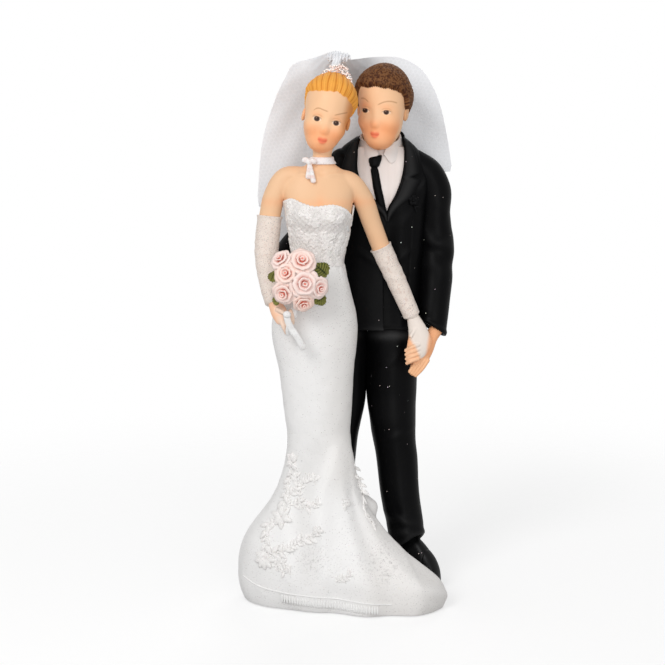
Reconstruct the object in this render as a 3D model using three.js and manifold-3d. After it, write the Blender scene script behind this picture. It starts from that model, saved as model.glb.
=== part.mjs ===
// A wedding cake topper: bride and groom are painted resin castings, bonded together, with a tulle veil.
// Millimetres, +Z up. The couple faces -Y, and the origin is on the table, under the gown.
import * as THREE from "three";
import { mergeVertices } from "three/addons/utils/BufferGeometryUtils.js";
import Module from "manifold-3d";

const wasm = await Module();
wasm.setup();

// Driving dimensions
const BOND_GAP = 0.3; // glue line between neighbouring castings
const BRIDE_X = -7;
const BRIDE_Y = -6;
const GROOM_X = 9.5;
const GROOM_Y = 10;

// Bride: heights are stacked from the table up
const BASE_THICKNESS = 1.8;
const BASE_INSET = 0.6;
const KNEE_HEIGHT = 45;
const KNEE_TO_HIP = 28.5;
const HIP_TO_WAIST = 14.5;
const WAIST_TO_BUST = 12.5;
const BUST_TO_SHOULDER = 7;
const SHOULDER_TO_NECK = 5;
const NECK_LENGTH = 6.5;
const TRAIN_REACH = 32.2; // the hem's furthest point, sideways from the body's axis
const FOLD_DEPTH = 1.1;
const KNEE_WIDTH = 16.2;
const KNEE_DEPTH = 13.2;
const HIP_WIDTH = 21.4;
const HIP_DEPTH = 15.2;
const WAIST_WIDTH = 13.2;
const WAIST_DEPTH = 10.8;
const BUST_WIDTH = 16.2;
const BUST_DEPTH = 13.2;
const SHOULDER_WIDTH = 17.8;
const NECK_WIDTH = 6.6;
const GLOVE_THICKNESS = 0.35;
const BRIDE_ARM_WIDTH = 5.4;
const BRIDE_WRIST_WIDTH = 3.7;
const BRIDE_HEAD_HEIGHT = 19;
const BRIDE_HEAD_WIDTH = 12.2;
const HAIR_THICKNESS = 0.95;
const CHOKER_WIDTH = 1.5;
const CHOKER_THICKNESS = 0.55;
const TIARA_HEIGHT = 2.2;
const FINGER_WIDTH = 1.25;

// Bouquet
const BOUQUET_WIDTH = 12;
const ROSE_WIDTH = 5.7;
const LEAF_LENGTH = 4.2;
const LEAF_THICKNESS = 0.5;
const RIBBON_WIDTH = 1.2;

// Groom
const SHOE_LENGTH = 15.5;
const SHOE_WIDTH = 6;
const SHOE_HEIGHT = 12.8;
const LEFT_TOE = 52; // degrees that each foot turns out from the front, towards +X
const RIGHT_TOE = -14;
const TROUSER_LENGTH = 56.6;
const TROUSER_CUFF_WIDTH = 9.4;
const HEM_BREAK = 9; // the trouser hem is this much lower at the heel than at the instep
const JACKET_LENGTH = 38;
const JACKET_HEM_WIDTH = 25.8;
const JACKET_CHEST_WIDTH = 23.8;
const JACKET_DEPTH = 14.6;
const GROOM_SHOULDER_WIDTH = 24.8;
const COLLAR_HEIGHT = 4.2;
const LAPEL_THICKNESS = 0.7;
const TIE_WIDTH = 2.3;
const SLEEVE_WIDTH = 8.6;
const SLEEVE_CUFF_WIDTH = 6.8;
const GROOM_NECK_WIDTH = 7.2;
const GROOM_HEAD_HEIGHT = 20.4;
const GROOM_HEAD_WIDTH = 12.8;
const BUTTON_WIDTH = 1.5;

// Veil
const VEIL_THICKNESS = 0.5;
const VEIL_DROP = 53;
const VEIL_WIDTH = 50.6;
const VEIL_LEFT_REACH = 15.8; // from the bride's axis to its left edge
const VEIL_FOLD_DEPTH = 0.9;
const VEIL_STAND_OFF = 1.6; // the cloth behind the groom's back and head
const GATHER_WIDTH = 6;

// Levels that follow from those heights
const HIP_LEVEL = KNEE_HEIGHT + KNEE_TO_HIP;
const WAIST_LEVEL = HIP_LEVEL + HIP_TO_WAIST;
const BUST_LEVEL = WAIST_LEVEL + WAIST_TO_BUST;
const SHOULDER_LEVEL = BUST_LEVEL + BUST_TO_SHOULDER;
const NECK_LEVEL = SHOULDER_LEVEL + SHOULDER_TO_NECK;
const CROWN_LEVEL = NECK_LEVEL + NECK_LENGTH;
const NECKLINE_LEVEL = BUST_LEVEL + 2.4;
const TROUSER_TOP = SHOE_HEIGHT + TROUSER_LENGTH - BOND_GAP;
const JACKET_HEM = TROUSER_TOP + BOND_GAP;
const JACKET_SHOULDER = JACKET_HEM + JACKET_LENGTH;
const COLLAR_LEVEL = JACKET_SHOULDER + 8.6;
const JACKET_FRONT = GROOM_Y - JACKET_DEPTH / 2 - BRIDE_Y; // from the bride's axis back to the jacket

const V = (x, y, z) => new THREE.Vector3(x, y, z);
const rad = THREE.MathUtils.degToRad;

// Solids

// A closed mesh as a solid that can be joined and cut.
function solidOf(geometry) {
  const loose = geometry.index ? geometry.toNonIndexed() : geometry.clone();
  loose.deleteAttribute("normal");
  loose.deleteAttribute("uv");
  const merged = mergeVertices(loose, 1e-4);
  return new wasm.Manifold(
    new wasm.Mesh({
      numProp: 3,
      vertProperties: merged.attributes.position.array,
      triVerts: new Uint32Array(merged.index.array),
    }),
  );
}

function geometryOf(solid) {
  const mesh = solid.getMesh();
  const positions = new Float32Array(mesh.numVert * 3);
  for (let i = 0; i < mesh.numVert; i++) {
    positions.set(mesh.vertProperties.subarray(i * mesh.numProp, i * mesh.numProp + 3), i * 3);
  }
  const geometry = new THREE.BufferGeometry();
  geometry.setAttribute("position", new THREE.BufferAttribute(positions, 3));
  geometry.setIndex(new THREE.BufferAttribute(mesh.triVerts, 1));
  geometry.computeVertexNormals();
  return geometry;
}

const moved = (solid, matrix) => solid.transform(Array.from(matrix.elements));
const joined = (solids) => solids.reduce((sum, next) => sum.add(next));
const largest = (solid) => solid.decompose().reduce((a, b) => (a.volume() >= b.volume() ? a : b));

// A closed skin over a row of rings, with a fan from a point over each end.
function skin(rings, startPoint, endPoint) {
  const sides = rings[0].length;
  const points = rings.flat();
  const index = [];
  for (let row = 0; row + 1 < rings.length; row++) {
    for (let side = 0; side < sides; side++) {
      const a = row * sides + side;
      const b = row * sides + ((side + 1) % sides);
      index.push(a, b, b + sides, a, b + sides, a + sides);
    }
  }
  const last = (rings.length - 1) * sides;
  const start = points.push(startPoint) - 1;
  const end = points.push(endPoint) - 1;
  for (let side = 0; side < sides; side++) {
    const next = (side + 1) % sides;
    index.push(start, next, side, end, last + side, last + next);
  }
  const geometry = new THREE.BufferGeometry().setFromPoints(points);
  geometry.setIndex(index);
  return geometry;
}

const power = (value, exponent) => Math.sign(value) * Math.abs(value) ** exponent;

// A loft through stations [x, y, z, half width, half depth]. It is flat across Z, or square to its own path
// with along set, its ends can be domed, and grow swells it evenly for a neighbour's clearance.
function loft(stations, options = {}, grow = 0) {
  const { sides = 16, steps = 3, along = false, square = 2 } = options;
  const { domeStart = 0, domeEnd = 0, front = V(0, 1, 0) } = options;
  const centres = new THREE.CatmullRomCurve3(
    stations.map(([x, y, z]) => V(x, y, z)),
    false,
    "centripetal",
  );
  const halves = new THREE.CatmullRomCurve3(
    stations.map(([, , , width, depth]) => V(width, depth ?? width, 0)),
    false,
    "catmullrom",
    0.5,
  );
  const ringAt = (t, shift, scale) => {
    const centre = centres.getPoint(t);
    const half = halves.getPoint(t);
    const tangent = along ? centres.getTangent(t) : V(0, 0, 1);
    const depthAxis = front.clone().addScaledVector(tangent, -front.dot(tangent)).normalize();
    const widthAxis = depthAxis.clone().cross(tangent);
    centre.addScaledVector(tangent, shift);
    const ring = [];
    for (let side = 0; side < sides; side++) {
      const angle = (side / sides) * 2 * Math.PI;
      const across = power(Math.cos(angle), 2 / square) * (half.x + grow) * scale;
      const deep = power(Math.sin(angle), 2 / square) * (half.y + grow) * scale;
      ring.push(centre.clone().addScaledVector(widthAxis, across).addScaledVector(depthAxis, deep));
    }
    return { ring, centre, tangent, reach: (half.x + half.y) / 2 + grow };
  };
  const rings = [];
  const rows = (stations.length - 1) * steps;
  for (let row = 0; row <= rows; row++) {
    const shift = row === 0 ? -grow : row === rows ? grow : 0;
    rings.push(ringAt(row / rows, domeStart && row === 0 ? 0 : domeEnd && row === rows ? 0 : shift, 1).ring);
  }
  const first = ringAt(0, 0, 1);
  const final = ringAt(1, 0, 1);
  let startPoint = first.centre.addScaledVector(first.tangent, domeStart ? -domeStart * first.reach : -grow);
  let endPoint = final.centre.addScaledVector(final.tangent, domeEnd ? domeEnd * final.reach : grow);
  const bend = rad(50);
  if (domeStart) rings.unshift(ringAt(0, -domeStart * first.reach * Math.sin(bend), Math.cos(bend)).ring);
  if (domeEnd) rings.push(ringAt(1, domeEnd * final.reach * Math.sin(bend), Math.cos(bend)).ring);
  return solidOf(skin(rings, startPoint, endPoint));
}

// A limb with round sections and domed ends.
const limb = (stations, options = {}, grow = 0) =>
  loft(stations, { sides: 10, steps: 2, along: true, domeStart: 0.8, domeEnd: 0.8, ...options }, grow);

function ellipsoid(x, y, z, halfX, halfY, halfZ, detail = 10, grow = 0) {
  const ball = new THREE.SphereGeometry(1, detail, Math.round(detail * 0.7));
  ball.scale(halfX + grow, halfY + grow, halfZ + grow);
  ball.translate(x, y, z);
  return solidOf(ball);
}

// A front-view outline [x, z] run from one depth to another along Y. A smooth one is a spline.
function prism(points, yFront, yBack, smooth = false) {
  const outline = new THREE.Shape();
  const flat = points.map(([x, z]) => new THREE.Vector2(x, z));
  if (smooth) {
    const spline = new THREE.SplineCurve([...flat, flat[0]]);
    outline.setFromPoints(spline.getPoints(points.length * 3).slice(0, -1));
  } else {
    outline.setFromPoints(flat);
  }
  const block = new THREE.ExtrudeGeometry(outline, { depth: yBack - yFront, bevelEnabled: false });
  block.rotateX(Math.PI / 2);
  block.translate(0, yBack, 0);
  return solidOf(block);
}

function slab(zLow, zHigh, reach = 60) {
  const box = new THREE.BoxGeometry(2 * reach, 2 * reach, zHigh - zLow);
  box.translate(0, 0, (zLow + zHigh) / 2);
  return solidOf(box);
}

// Materials
const paint = (color, roughness, metalness = 0) =>
  new THREE.MeshStandardMaterial({ color, roughness, metalness });
const MATERIALS = {
  skin: paint(0xefc09a, 0.5),
  blonde: paint(0xe9a348, 0.55),
  brown: paint(0x5f3a22, 0.6),
  gown: paint(0xe9e7e4, 0.5),
  glove: paint(0xe4d8cf, 0.5),
  tulle: paint(0xe2e2e4, 0.8),
  ribbon: paint(0xf2ece8, 0.5),
  jacket: paint(0x1c1d1f, 0.35),
  trousers: paint(0x1b1c1e, 0.4),
  shirt: paint(0xdcccc2, 0.55),
  tie: paint(0x18181a, 0.35),
  shoe: paint(0x1a1a1a, 0.35),
  rose: paint(0xf0b3a2, 0.5),
  leaf: paint(0x5a5f26, 0.5),
  jewel: paint(0xf4e6dc, 0.3, 0.2),
};

// Scene graph: the figures stand in the couple's frame, and each head turns in its own group
const topper = new THREE.Group();
const bride = new THREE.Group();
bride.position.set(BRIDE_X, BRIDE_Y, 0);
const brideHead = new THREE.Group();
brideHead.position.set(2.7, 1.2, CROWN_LEVEL - 2 + BRIDE_HEAD_HEIGHT / 2 - 1.3);
brideHead.rotation.set(rad(-2), rad(13), rad(2), "ZYX");
const bouquet = new THREE.Group();
bouquet.position.set(-5, -11.6, HIP_LEVEL + 11.2);
bride.add(brideHead, bouquet);
const groom = new THREE.Group();
groom.position.set(GROOM_X, GROOM_Y, 0);
const groomHead = new THREE.Group();
groomHead.position.set(-0.4, -3.6, COLLAR_LEVEL + GROOM_HEAD_HEIGHT / 2);
groomHead.rotation.set(rad(-2), rad(4.5), rad(-16), "ZYX");
groom.add(groomHead);
const veil = new THREE.Group();
topper.add(bride, groom, veil);

// Every piece in the order in which it keeps its shape: a later one is cut by the earlier ones that it names.
const pieces = new Map();
function piece(name, group, material, form, cutBy = []) {
  pieces.set(name, { name, group, material, form, cutBy });
}

// Bride's head

function headStations(height, width, jaw) {
  const half = height / 2;
  const wide = width / 2;
  return [
    [0, -4.3, -half, wide * jaw * 0.4, 1.5],
    [0, -3.1, -half * 0.82, wide * jaw * 0.8, 3.6],
    [0, -1.6, -half * 0.52, wide * jaw * 1.08, 5.6],
    [0, -0.4, -half * 0.15, wide * 0.97, 6.9],
    [0, 0.2, half * 0.25, wide, 7.4],
    [0, 0.5, half * 0.6, wide * 0.92, 6.9],
    [0, 0.7, half * 0.86, wide * 0.66, 5.1],
    [0, 0.8, half, wide * 0.3, 2.3],
  ];
}

const headOptions = { sides: 16, steps: 1, square: 2.15, domeStart: 0.25, domeEnd: 0.25 };
const earAt = (side, width) => [side * (width / 2 - 0.2), 1.1, -1.6];

function face(stations, width, grow) {
  const nose = limb(
    [
      [0, -6.7, -1.4, 0.5, 0.5],
      [0, -6.9, -4.5, 0.85, 0.85],
    ],
    { sides: 6, steps: 1, domeEnd: 0.5 },
    grow,
  );
  const ears = [-1, 1].map((side) => ellipsoid(...earAt(side, width), 0.7, 1.3, 1.9, 7, grow));
  return joined([loft(stations, headOptions, grow), nose, ...ears]);
}

const brideSkull = headStations(BRIDE_HEAD_HEIGHT, BRIDE_HEAD_WIDTH, 0.78);
piece("bride_head", brideHead, "skin", (grow) => face(brideSkull, BRIDE_HEAD_WIDTH, grow));

// Swept-back hair: a cap over the skull that stops at the hairline and shows the face and ears.
function hairCap(stations, thickness, lift, hairline, faceBack, nape, grow) {
  const swollen = stations.map(([x, y, z, w, d]) => [x, y + 0.4, z + lift, w, d]);
  const cap = loft(swollen, headOptions, thickness + grow);
  const below = slab(-40, nape - grow);
  return cap.subtract(prism(hairline(grow), -20, faceBack - grow, true)).subtract(below);
}

function brideHairline(grow) {
  const wide = BRIDE_HEAD_WIDTH / 2;
  const side = wide * 0.93 - grow;
  const top = BRIDE_HEAD_HEIGHT * 0.24 - grow;
  return [
    [-side, -14],
    [-side, -2],
    [-side * 0.94, top * 0.45],
    [-side * 0.55, top * 0.92],
    [0, top],
    [side * 0.55, top * 0.92],
    [side * 0.94, top * 0.45],
    [side, -2],
    [side, -14],
  ];
}

piece(
  "bride_hair",
  brideHead,
  "blonde",
  (grow) => hairCap(brideSkull, HAIR_THICKNESS, 0.35, brideHairline, 0.2, -BRIDE_HEAD_HEIGHT * 0.14, grow),
  ["bride_head"],
);
piece(
  "bride_chignon",
  brideHead,
  "blonde",
  (grow) => ellipsoid(0, 8.2, 0.6, 4, 2.9, 3.4, 12, grow),
  ["bride_head", "bride_hair"],
);

// Tiara: a beaded arc across the crown, taller in the middle
function tiaraForm(grow) {
  const reach = BRIDE_HEAD_WIDTH / 2 - 0.3;
  const rise = BRIDE_HEAD_HEIGHT / 2 + HAIR_THICKNESS + 0.35 + BOND_GAP;
  const beads = 7;
  const stations = [];
  for (let bead = 0; bead < beads; bead++) {
    const angle = rad(42 + (96 * bead) / (beads - 1));
    stations.push([reach * Math.cos(angle) * 1.15, -0.4, rise * Math.sin(angle) + 0.55, 0.5, 0.5]);
  }
  const band = limb(stations, { sides: 6, steps: 1 }, grow);
  const drops = stations.map(([x, y, z], bead) => {
    const share = Math.sin((Math.PI * (bead + 0.5)) / beads);
    const tall = TIARA_HEIGHT * (0.45 + 0.55 * share);
    return ellipsoid(x, y, z + tall * 0.4, 0.7, 0.6, tall * 0.6, 6, grow);
  });
  return joined([band, ...drops]);
}
piece("tiara", brideHead, "jewel", tiaraForm, ["bride_head", "bride_hair"]);

// Bride's body and gown

const between = (low, high) => (low + high) / 4; // half of the mean of two full widths
const thigh = [between(KNEE_WIDTH, HIP_WIDTH), between(KNEE_DEPTH, HIP_DEPTH)];
const flank = [between(HIP_WIDTH, WAIST_WIDTH), between(HIP_DEPTH, WAIST_DEPTH)];
const ribs = [between(WAIST_WIDTH, BUST_WIDTH), between(WAIST_DEPTH, BUST_DEPTH)];
const bodyStations = [
  [0, 0.6, KNEE_HEIGHT, KNEE_WIDTH / 2, KNEE_DEPTH / 2],
  [-0.55, 0.6, KNEE_HEIGHT + KNEE_TO_HIP * 0.52, ...thigh],
  [-1, 0.6, HIP_LEVEL, HIP_WIDTH / 2, HIP_DEPTH / 2],
  [-0.4, 0.3, HIP_LEVEL + HIP_TO_WAIST * 0.55, ...flank],
  [-0.05, 0, WAIST_LEVEL, WAIST_WIDTH / 2, WAIST_DEPTH / 2],
  [0.1, -0.4, WAIST_LEVEL + WAIST_TO_BUST * 0.6, ...ribs],
  [0.15, -0.7, BUST_LEVEL, BUST_WIDTH / 2, BUST_DEPTH / 2],
  [0.1, 0, BUST_LEVEL + BUST_TO_SHOULDER * 0.5, BUST_WIDTH / 2 + 0.4, BUST_DEPTH * 0.41],
  [-0.1, 0.6, SHOULDER_LEVEL, SHOULDER_WIDTH / 2, 4.4],
  [0.2, 0.8, SHOULDER_LEVEL + SHOULDER_TO_NECK * 0.58, SHOULDER_WIDTH * 0.385, 3.6],
  [0.6, 0.7, NECK_LEVEL, NECK_WIDTH / 2, NECK_WIDTH / 2 - 0.3],
  [1.4, 0.9, CROWN_LEVEL, NECK_WIDTH / 2 - 0.2, NECK_WIDTH / 2 - 0.3],
];
const bodyOptions = { sides: 24, steps: 2, square: 2.1 };
const bodyForm = (grow) => loft(bodyStations, bodyOptions, grow);

// Sweetheart neckline: a peak over the right breast, a dip, and a lobe that slopes down to the left armpit.
function necklineOutline(grow) {
  const level = NECKLINE_LEVEL + grow;
  const reach = 20;
  return [
    [-reach, level - 160],
    [reach, level - 160],
    [reach, level - 3.2],
    [BUST_WIDTH * 0.5, level - 2.8],
    [BUST_WIDTH * 0.37, level - 1],
    [BUST_WIDTH * 0.2, level],
    [BUST_WIDTH * 0.07, level - 0.2],
    [-BUST_WIDTH * 0.04, level - 0.4],
    [-BUST_WIDTH * 0.2, level + 0.3],
    [-BUST_WIDTH * 0.4, level + 1.3],
    [-BUST_WIDTH * 0.52, level + 0.3],
    [-reach, level - 1.2],
  ];
}

piece("gown_bodice", bride, "gown", (grow) =>
  bodyForm(grow)
    .intersect(prism(necklineOutline(grow), -30, 30))
    .subtract(slab(-60, WAIST_LEVEL - grow)),
);
piece(
  "bride_bust",
  bride,
  "skin",
  (grow) => bodyForm(grow).subtract(prism(necklineOutline(BOND_GAP - grow), -30, 30)),
  ["bride_head"],
);
piece("gown_skirt", bride, "gown", (grow) =>
  bodyForm(grow).intersect(slab(KNEE_HEIGHT - grow, WAIST_LEVEL - BOND_GAP + grow)),
);

// The train: the knee's ring flares out to the hem's outline, which reaches furthest at the front right.
const hemOutline = new THREE.CatmullRomCurve3(
  [
    [0.575, -0.422],
    [0.807, -0.419],
    [0.963, -0.264],
    [1, -0.124],
    [0.839, 0.062],
    [0.621, 0.248],
    [0.404, 0.404],
    [0.093, 0.497],
    [-0.248, 0.481],
    [-0.512, 0.342],
    [-0.634, 0.062],
    [-0.528, -0.14],
    [-0.326, -0.264],
    [-0.031, -0.357],
    [0.14, -0.363],
    [0.373, -0.453],
  ].map(([x, y]) => V(x * TRAIN_REACH, y * TRAIN_REACH, 0)),
  true,
);
const TRAIN_SIDES = 40;
const TRAIN_ROWS = 9;
const foldAngles = [-128, -96, -52, -24, 40, 118, 168];
const FOLD_SPREAD = 9; // degrees

// The hem's ring, one point for each direction from the body's axis.
function hemRing() {
  const fine = hemOutline.getPoints(720).slice(0, -1);
  const ring = [];
  for (let side = 0; side < TRAIN_SIDES; side++) {
    const angle = (side / TRAIN_SIDES) * 2 * Math.PI;
    const direction = V(Math.cos(angle), Math.sin(angle), 0);
    const along = (p) => p.dot(direction) / p.length();
    ring.push(fine.reduce((best, p) => (along(p) > along(best) ? p : best)));
  }
  return ring;
}
const hem = hemRing();

// A value that rises to 1 and stays there, with a rounded corner.
const eased = (value, round) => value - round * Math.log1p(Math.exp((value - 1) / round));

function trainRing(level, grow) {
  return hem.map((foot, side) => {
    const angle = (side / TRAIN_SIDES) * 2 * Math.PI;
    const across = Math.cos(angle);
    const left = THREE.MathUtils.smoothstep(-across, 0.4, 1);
    const right = THREE.MathUtils.smoothstep(across, 0.4, 1);
    const landing = KNEE_HEIGHT * (0.19 - (across < 0 ? 0.12 : 0.03) * across + 0.07 * left);
    const fall = eased((KNEE_HEIGHT - level) / (KNEE_HEIGHT - landing), 0.03 + 0.07 * left);
    const spread = Math.max(0, fall) ** (1.8 + 0.7 * left + 0.8 * right);
    const knee = V((Math.cos(angle) * KNEE_WIDTH) / 2, (Math.sin(angle) * KNEE_DEPTH) / 2 + 0.6, 0);
    const point = knee.lerp(foot, spread);
    const turn = THREE.MathUtils.radToDeg(angle);
    const fold = foldAngles.reduce((sum, at) => {
      const off = THREE.MathUtils.euclideanModulo(turn - at + 180, 360) - 180;
      return sum + Math.exp(-((off / FOLD_SPREAD) ** 2));
    }, 0);
    const out = V(Math.cos(angle), Math.sin(angle), 0);
    return point.addScaledVector(out, grow + fold * FOLD_DEPTH * spread).setZ(level);
  });
}

function trainForm(grow) {
  const low = BASE_THICKNESS + BOND_GAP - grow;
  const high = KNEE_HEIGHT - BOND_GAP + grow;
  const rings = [];
  for (let row = 0; row <= TRAIN_ROWS; row++) {
    rings.push(trainRing(THREE.MathUtils.lerp(low, high, (row / TRAIN_ROWS) ** 1.3), grow));
  }
  return solidOf(skin(rings, V(0, 0.6, low), V(0, 0.6, high)));
}

function baseForm(grow) {
  const inset = grow - BASE_INSET;
  const rings = [0, BASE_THICKNESS].map((level) => trainRing(0, inset).map((p) => p.setZ(level)));
  return solidOf(skin(rings, V(0, 0.6, 0), V(0, 0.6, BASE_THICKNESS)));
}

const groomFeet = ["left_shoe", "right_shoe", "trousers_left_leg", "trousers_right_leg"];

// Choker and its bow
piece(
  "choker",
  bride,
  "ribbon",
  (grow) =>
    bodyForm(CHOKER_THICKNESS + BOND_GAP + grow)
      .intersect(slab(NECK_LEVEL + 0.4 - grow, NECK_LEVEL + 0.4 + CHOKER_WIDTH + grow))
      .subtract(bodyForm(BOND_GAP - grow)),
  ["bride_head"],
);

function bowForm(grow) {
  const at = V(-2.3, -2.7, NECK_LEVEL + 0.6);
  const loop = (dx, dz) => ellipsoid(at.x + dx, at.y - 0.4, at.z + dz, 1.15, 0.6, 0.75, 6, grow);
  const tail = (dx, long) =>
    limb(
      [
        [at.x, at.y - 0.4, at.z, 0.45, 0.35],
        [at.x + dx * 0.5, at.y - 1, at.z - long * 0.55, 0.5, 0.35],
        [at.x + dx, at.y - 1.5, at.z - long, 0.6, 0.35],
      ],
      { sides: 5, steps: 1 },
      grow,
    );
  const knot = ellipsoid(at.x, at.y - 0.6, at.z, 0.7, 0.6, 0.7, 6, grow);
  return joined([loop(-1, 0.7), loop(1, 0.3), knot, tail(-0.2, 4.2), tail(1.2, 5.2)]);
}
piece("choker_bow", bride, "ribbon", bowForm, ["choker", "bride_bust", "bride_head"]);

// Bride's arms: bare above the elbow, then a long glove, then the fingers

const ARM = BRIDE_ARM_WIDTH / 2;
const WRIST = BRIDE_WRIST_WIDTH / 2;
const rightArm = [
  [-8.1, 0.8, SHOULDER_LEVEL + 1.8, ARM * 0.93],
  [-11, 0.9, SHOULDER_LEVEL - 2.9, ARM * 1.02],
  [-12.2, 0.9, SHOULDER_LEVEL - 7.9, ARM],
  [-13, 0.2, SHOULDER_LEVEL - 16.5, ARM * 0.98],
  [-12.3, -3.4, SHOULDER_LEVEL - 22.8, ARM * 0.9],
  [-11, -8, HIP_LEVEL + 5.6, WRIST * 1.05],
];
const leftArm = [
  [7.8, 0.8, SHOULDER_LEVEL + 0.8, ARM * 0.87],
  [10.9, 2, SHOULDER_LEVEL - 3.4, ARM * 0.96],
  [13.4, 3.8, SHOULDER_LEVEL - 10, ARM * 0.91],
  [15.7, JACKET_FRONT - 3.5, SHOULDER_LEVEL - 16.1, ARM * 0.87],
  [19.6, JACKET_FRONT - 2.8, HIP_LEVEL + 9.5, ARM * 0.8],
  [23.7, JACKET_FRONT - 3.1, HIP_LEVEL + 0.3, WRIST],
];
const armOptions = { sides: 12, steps: 2, along: true, domeStart: 0.9 };

// A glove covers the arm's last stations, a little thicker than the arm.
function gloveForm(stations, from, grow) {
  const covered = stations.slice(from).map(([x, y, z, r]) => {
    const half = r + GLOVE_THICKNESS;
    return [x, y, z, half, half];
  });
  return loft(covered, { ...armOptions, domeStart: 0 }, grow);
}
piece("right_glove", bride, "glove", (grow) => gloveForm(rightArm, 2, grow), ["gown_bodice", "gown_skirt"]);
piece("left_glove", bride, "glove", (grow) => gloveForm(leftArm, 3, grow), ["gown_bodice", "gown_skirt"]);
const upperArm = (stations, last, grow) =>
  loft(stations.slice(0, last + 1).map(([x, y, z, r]) => [x, y, z, r, r]), armOptions, grow);
piece(
  "bride_right_upper_arm",
  bride,
  "skin",
  (grow) => upperArm(rightArm, 2, grow),
  ["bride_bust", "gown_bodice", "right_glove"],
);
piece(
  "bride_left_upper_arm",
  bride,
  "skin",
  (grow) => upperArm(leftArm, 3, grow),
  ["bride_bust", "gown_bodice", "left_glove"],
);

// A hand: a palm with four fingers beside each other and a thumb. Each finger is a row of points.
function handForm(palm, fingers, grow) {
  const half = FINGER_WIDTH / 2;
  const made = fingers.map((points) =>
    limb(
      points.map(([x, y, z], knuckle) => [x, y, z, half * (1 - 0.1 * knuckle), half * (1 - 0.1 * knuckle)]),
      { sides: 5, steps: 1 },
      grow,
    ),
  );
  return joined([limb(palm, { sides: 8, steps: 1 }, grow), ...made]);
}

// The bride's right hand closes round the bouquet's handle, with its fingers pointing down.
const gripX = -11;
const gripY = -8;
const gripZ = HIP_LEVEL + 5.6;
const rightPalm = [
  [gripX + 0.4, gripY - 0.7, gripZ - 0.7, 1.7, 1.5],
  [gripX + 1.4, gripY - 2, gripZ - 2.4, 2, 1.3],
  [gripX + 2.2, gripY - 2.6, gripZ - 3.9, 1.8, 1.1],
];
const rightFingers = [0, 1, 2, 3].map((finger) => [
  [gripX + 1.6 + finger * 0.85, gripY - 2.8 + finger * 0.1, gripZ - 3.5 + finger * 0.5],
  [gripX + 2.4 + finger * 0.75, gripY - 3.4 + finger * 0.1, gripZ - 5.4 + finger * 0.6],
  [gripX + 3.1 + finger * 0.55, gripY - 3.1 + finger * 0.1, gripZ - 7.2 + finger * 0.8],
]);
rightFingers.push([
  [gripX + 1.1, gripY - 3, gripZ - 1.5],
  [gripX + 2.8, gripY - 4, gripZ - 2.3],
]);
piece(
  "bride_right_hand",
  bride,
  "skin",
  (grow) => handForm(rightPalm, rightFingers, grow),
  ["right_glove", "gown_skirt", "gown_bodice"],
);

// The bride's left hand lies in the groom's left hand.
const claspX = 23.7;
const claspY = JACKET_FRONT - 3.1;
const claspZ = HIP_LEVEL + 0.3;
const leftPalm = [
  [claspX + 0.5, claspY - 0.1, claspZ - 1, 1.7, 1.5],
  [claspX + 1.6, claspY - 0.6, claspZ - 4.2, 2.5, 1.4],
  [claspX + 2, claspY - 0.8, claspZ - 7, 3.1, 1.3],
  [claspX + 1.2, claspY - 0.9, claspZ - 9, 2.7, 1.2],
  [claspX + 0.3, claspY - 1, claspZ - 10.6, 1.9, 1],
];
const leftFingers = [0, 1, 2, 3].map((finger) => [
  [claspX + 1.9 - finger * 0.1, claspY - 1.7, claspZ - 7.2 - finger * 1.25],
  [claspX + 0.1 - finger * 0.1, claspY - 2.2, claspZ - 7.9 - finger * 1.2],
  [claspX - 1.5 + finger * 0.1, claspY - 1.5, claspZ - 8.9 - finger * 1.1],
]);
leftFingers.push([
  [claspX + 0.9, claspY - 1.4, claspZ - 3.4],
  [claspX - 0.3, claspY - 1.8, claspZ - 5.2],
]);
piece("bride_left_hand", bride, "skin", (grow) => handForm(leftPalm, leftFingers, grow), ["left_glove"]);

// Bouquet: roses on a round holder, with leaves at its rim and three ribbon tails

const BOUQUET = BOUQUET_WIDTH / 2;
const HOLDER_SETBACK = 0.13; // behind the bouquet's middle, as a share of its half width
const holderForm = (grow) =>
  joined([
    ellipsoid(0.4, BOUQUET * HOLDER_SETBACK, 0.4, BOUQUET * 0.95, BOUQUET * 0.5, BOUQUET * 1.02, 10, grow),
    limb(
      [
        [-0.5, 1.4, -BOUQUET * 0.6, 1.2, 1.2],
        [-1.2, 2.1, -BOUQUET * 1.35, 0.9, 0.9],
      ],
      { sides: 8 },
      grow,
    ),
  ]);

// Rose places as [across, up, width share], the first two in shares of the bouquet's half width.
const rosePlaces = [
  [0.25, 0, 1],
  [0.17, 0.82, 0.92],
  [-0.42, 0.37, 0.84],
  [0.83, -0.22, 0.74],
  [-0.53, -0.4, 0.8],
  [0.23, -0.82, 0.7],
  [-0.65, 0.88, 0.72],
];
const roseProfile = [
  [0, -0.62],
  [0.55, -0.54],
  [1, 0.1],
  [0.88, 0.36],
  [0.7, 0.14],
  [0.58, 0.48],
  [0.4, 0.3],
  [0.26, 0.6],
  [0, 0.46],
];
const ROSE_SEAT = 0.62; // how far a rose sinks towards the holder, as a share of its own half width

function roseFrame([across, up, share]) {
  const reach = 1.25;
  const dome = Math.sqrt(Math.max(0.12, 1 - (across / reach) ** 2 - (up / reach) ** 2));
  const outward = V(across / reach, -dome * 1.35, up / reach).normalize();
  const half = (ROSE_WIDTH / 2) * share;
  const seat = V(across, HOLDER_SETBACK - 0.62 * dome, up).multiplyScalar(BOUQUET);
  seat.addScaledVector(outward, half * (ROSE_SEAT - 0.5));
  const turn = new THREE.Quaternion().setFromUnitVectors(V(0, 0, 1), outward);
  return { half, matrix: new THREE.Matrix4().compose(seat, turn, V(1, 1, 1)) };
}

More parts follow.
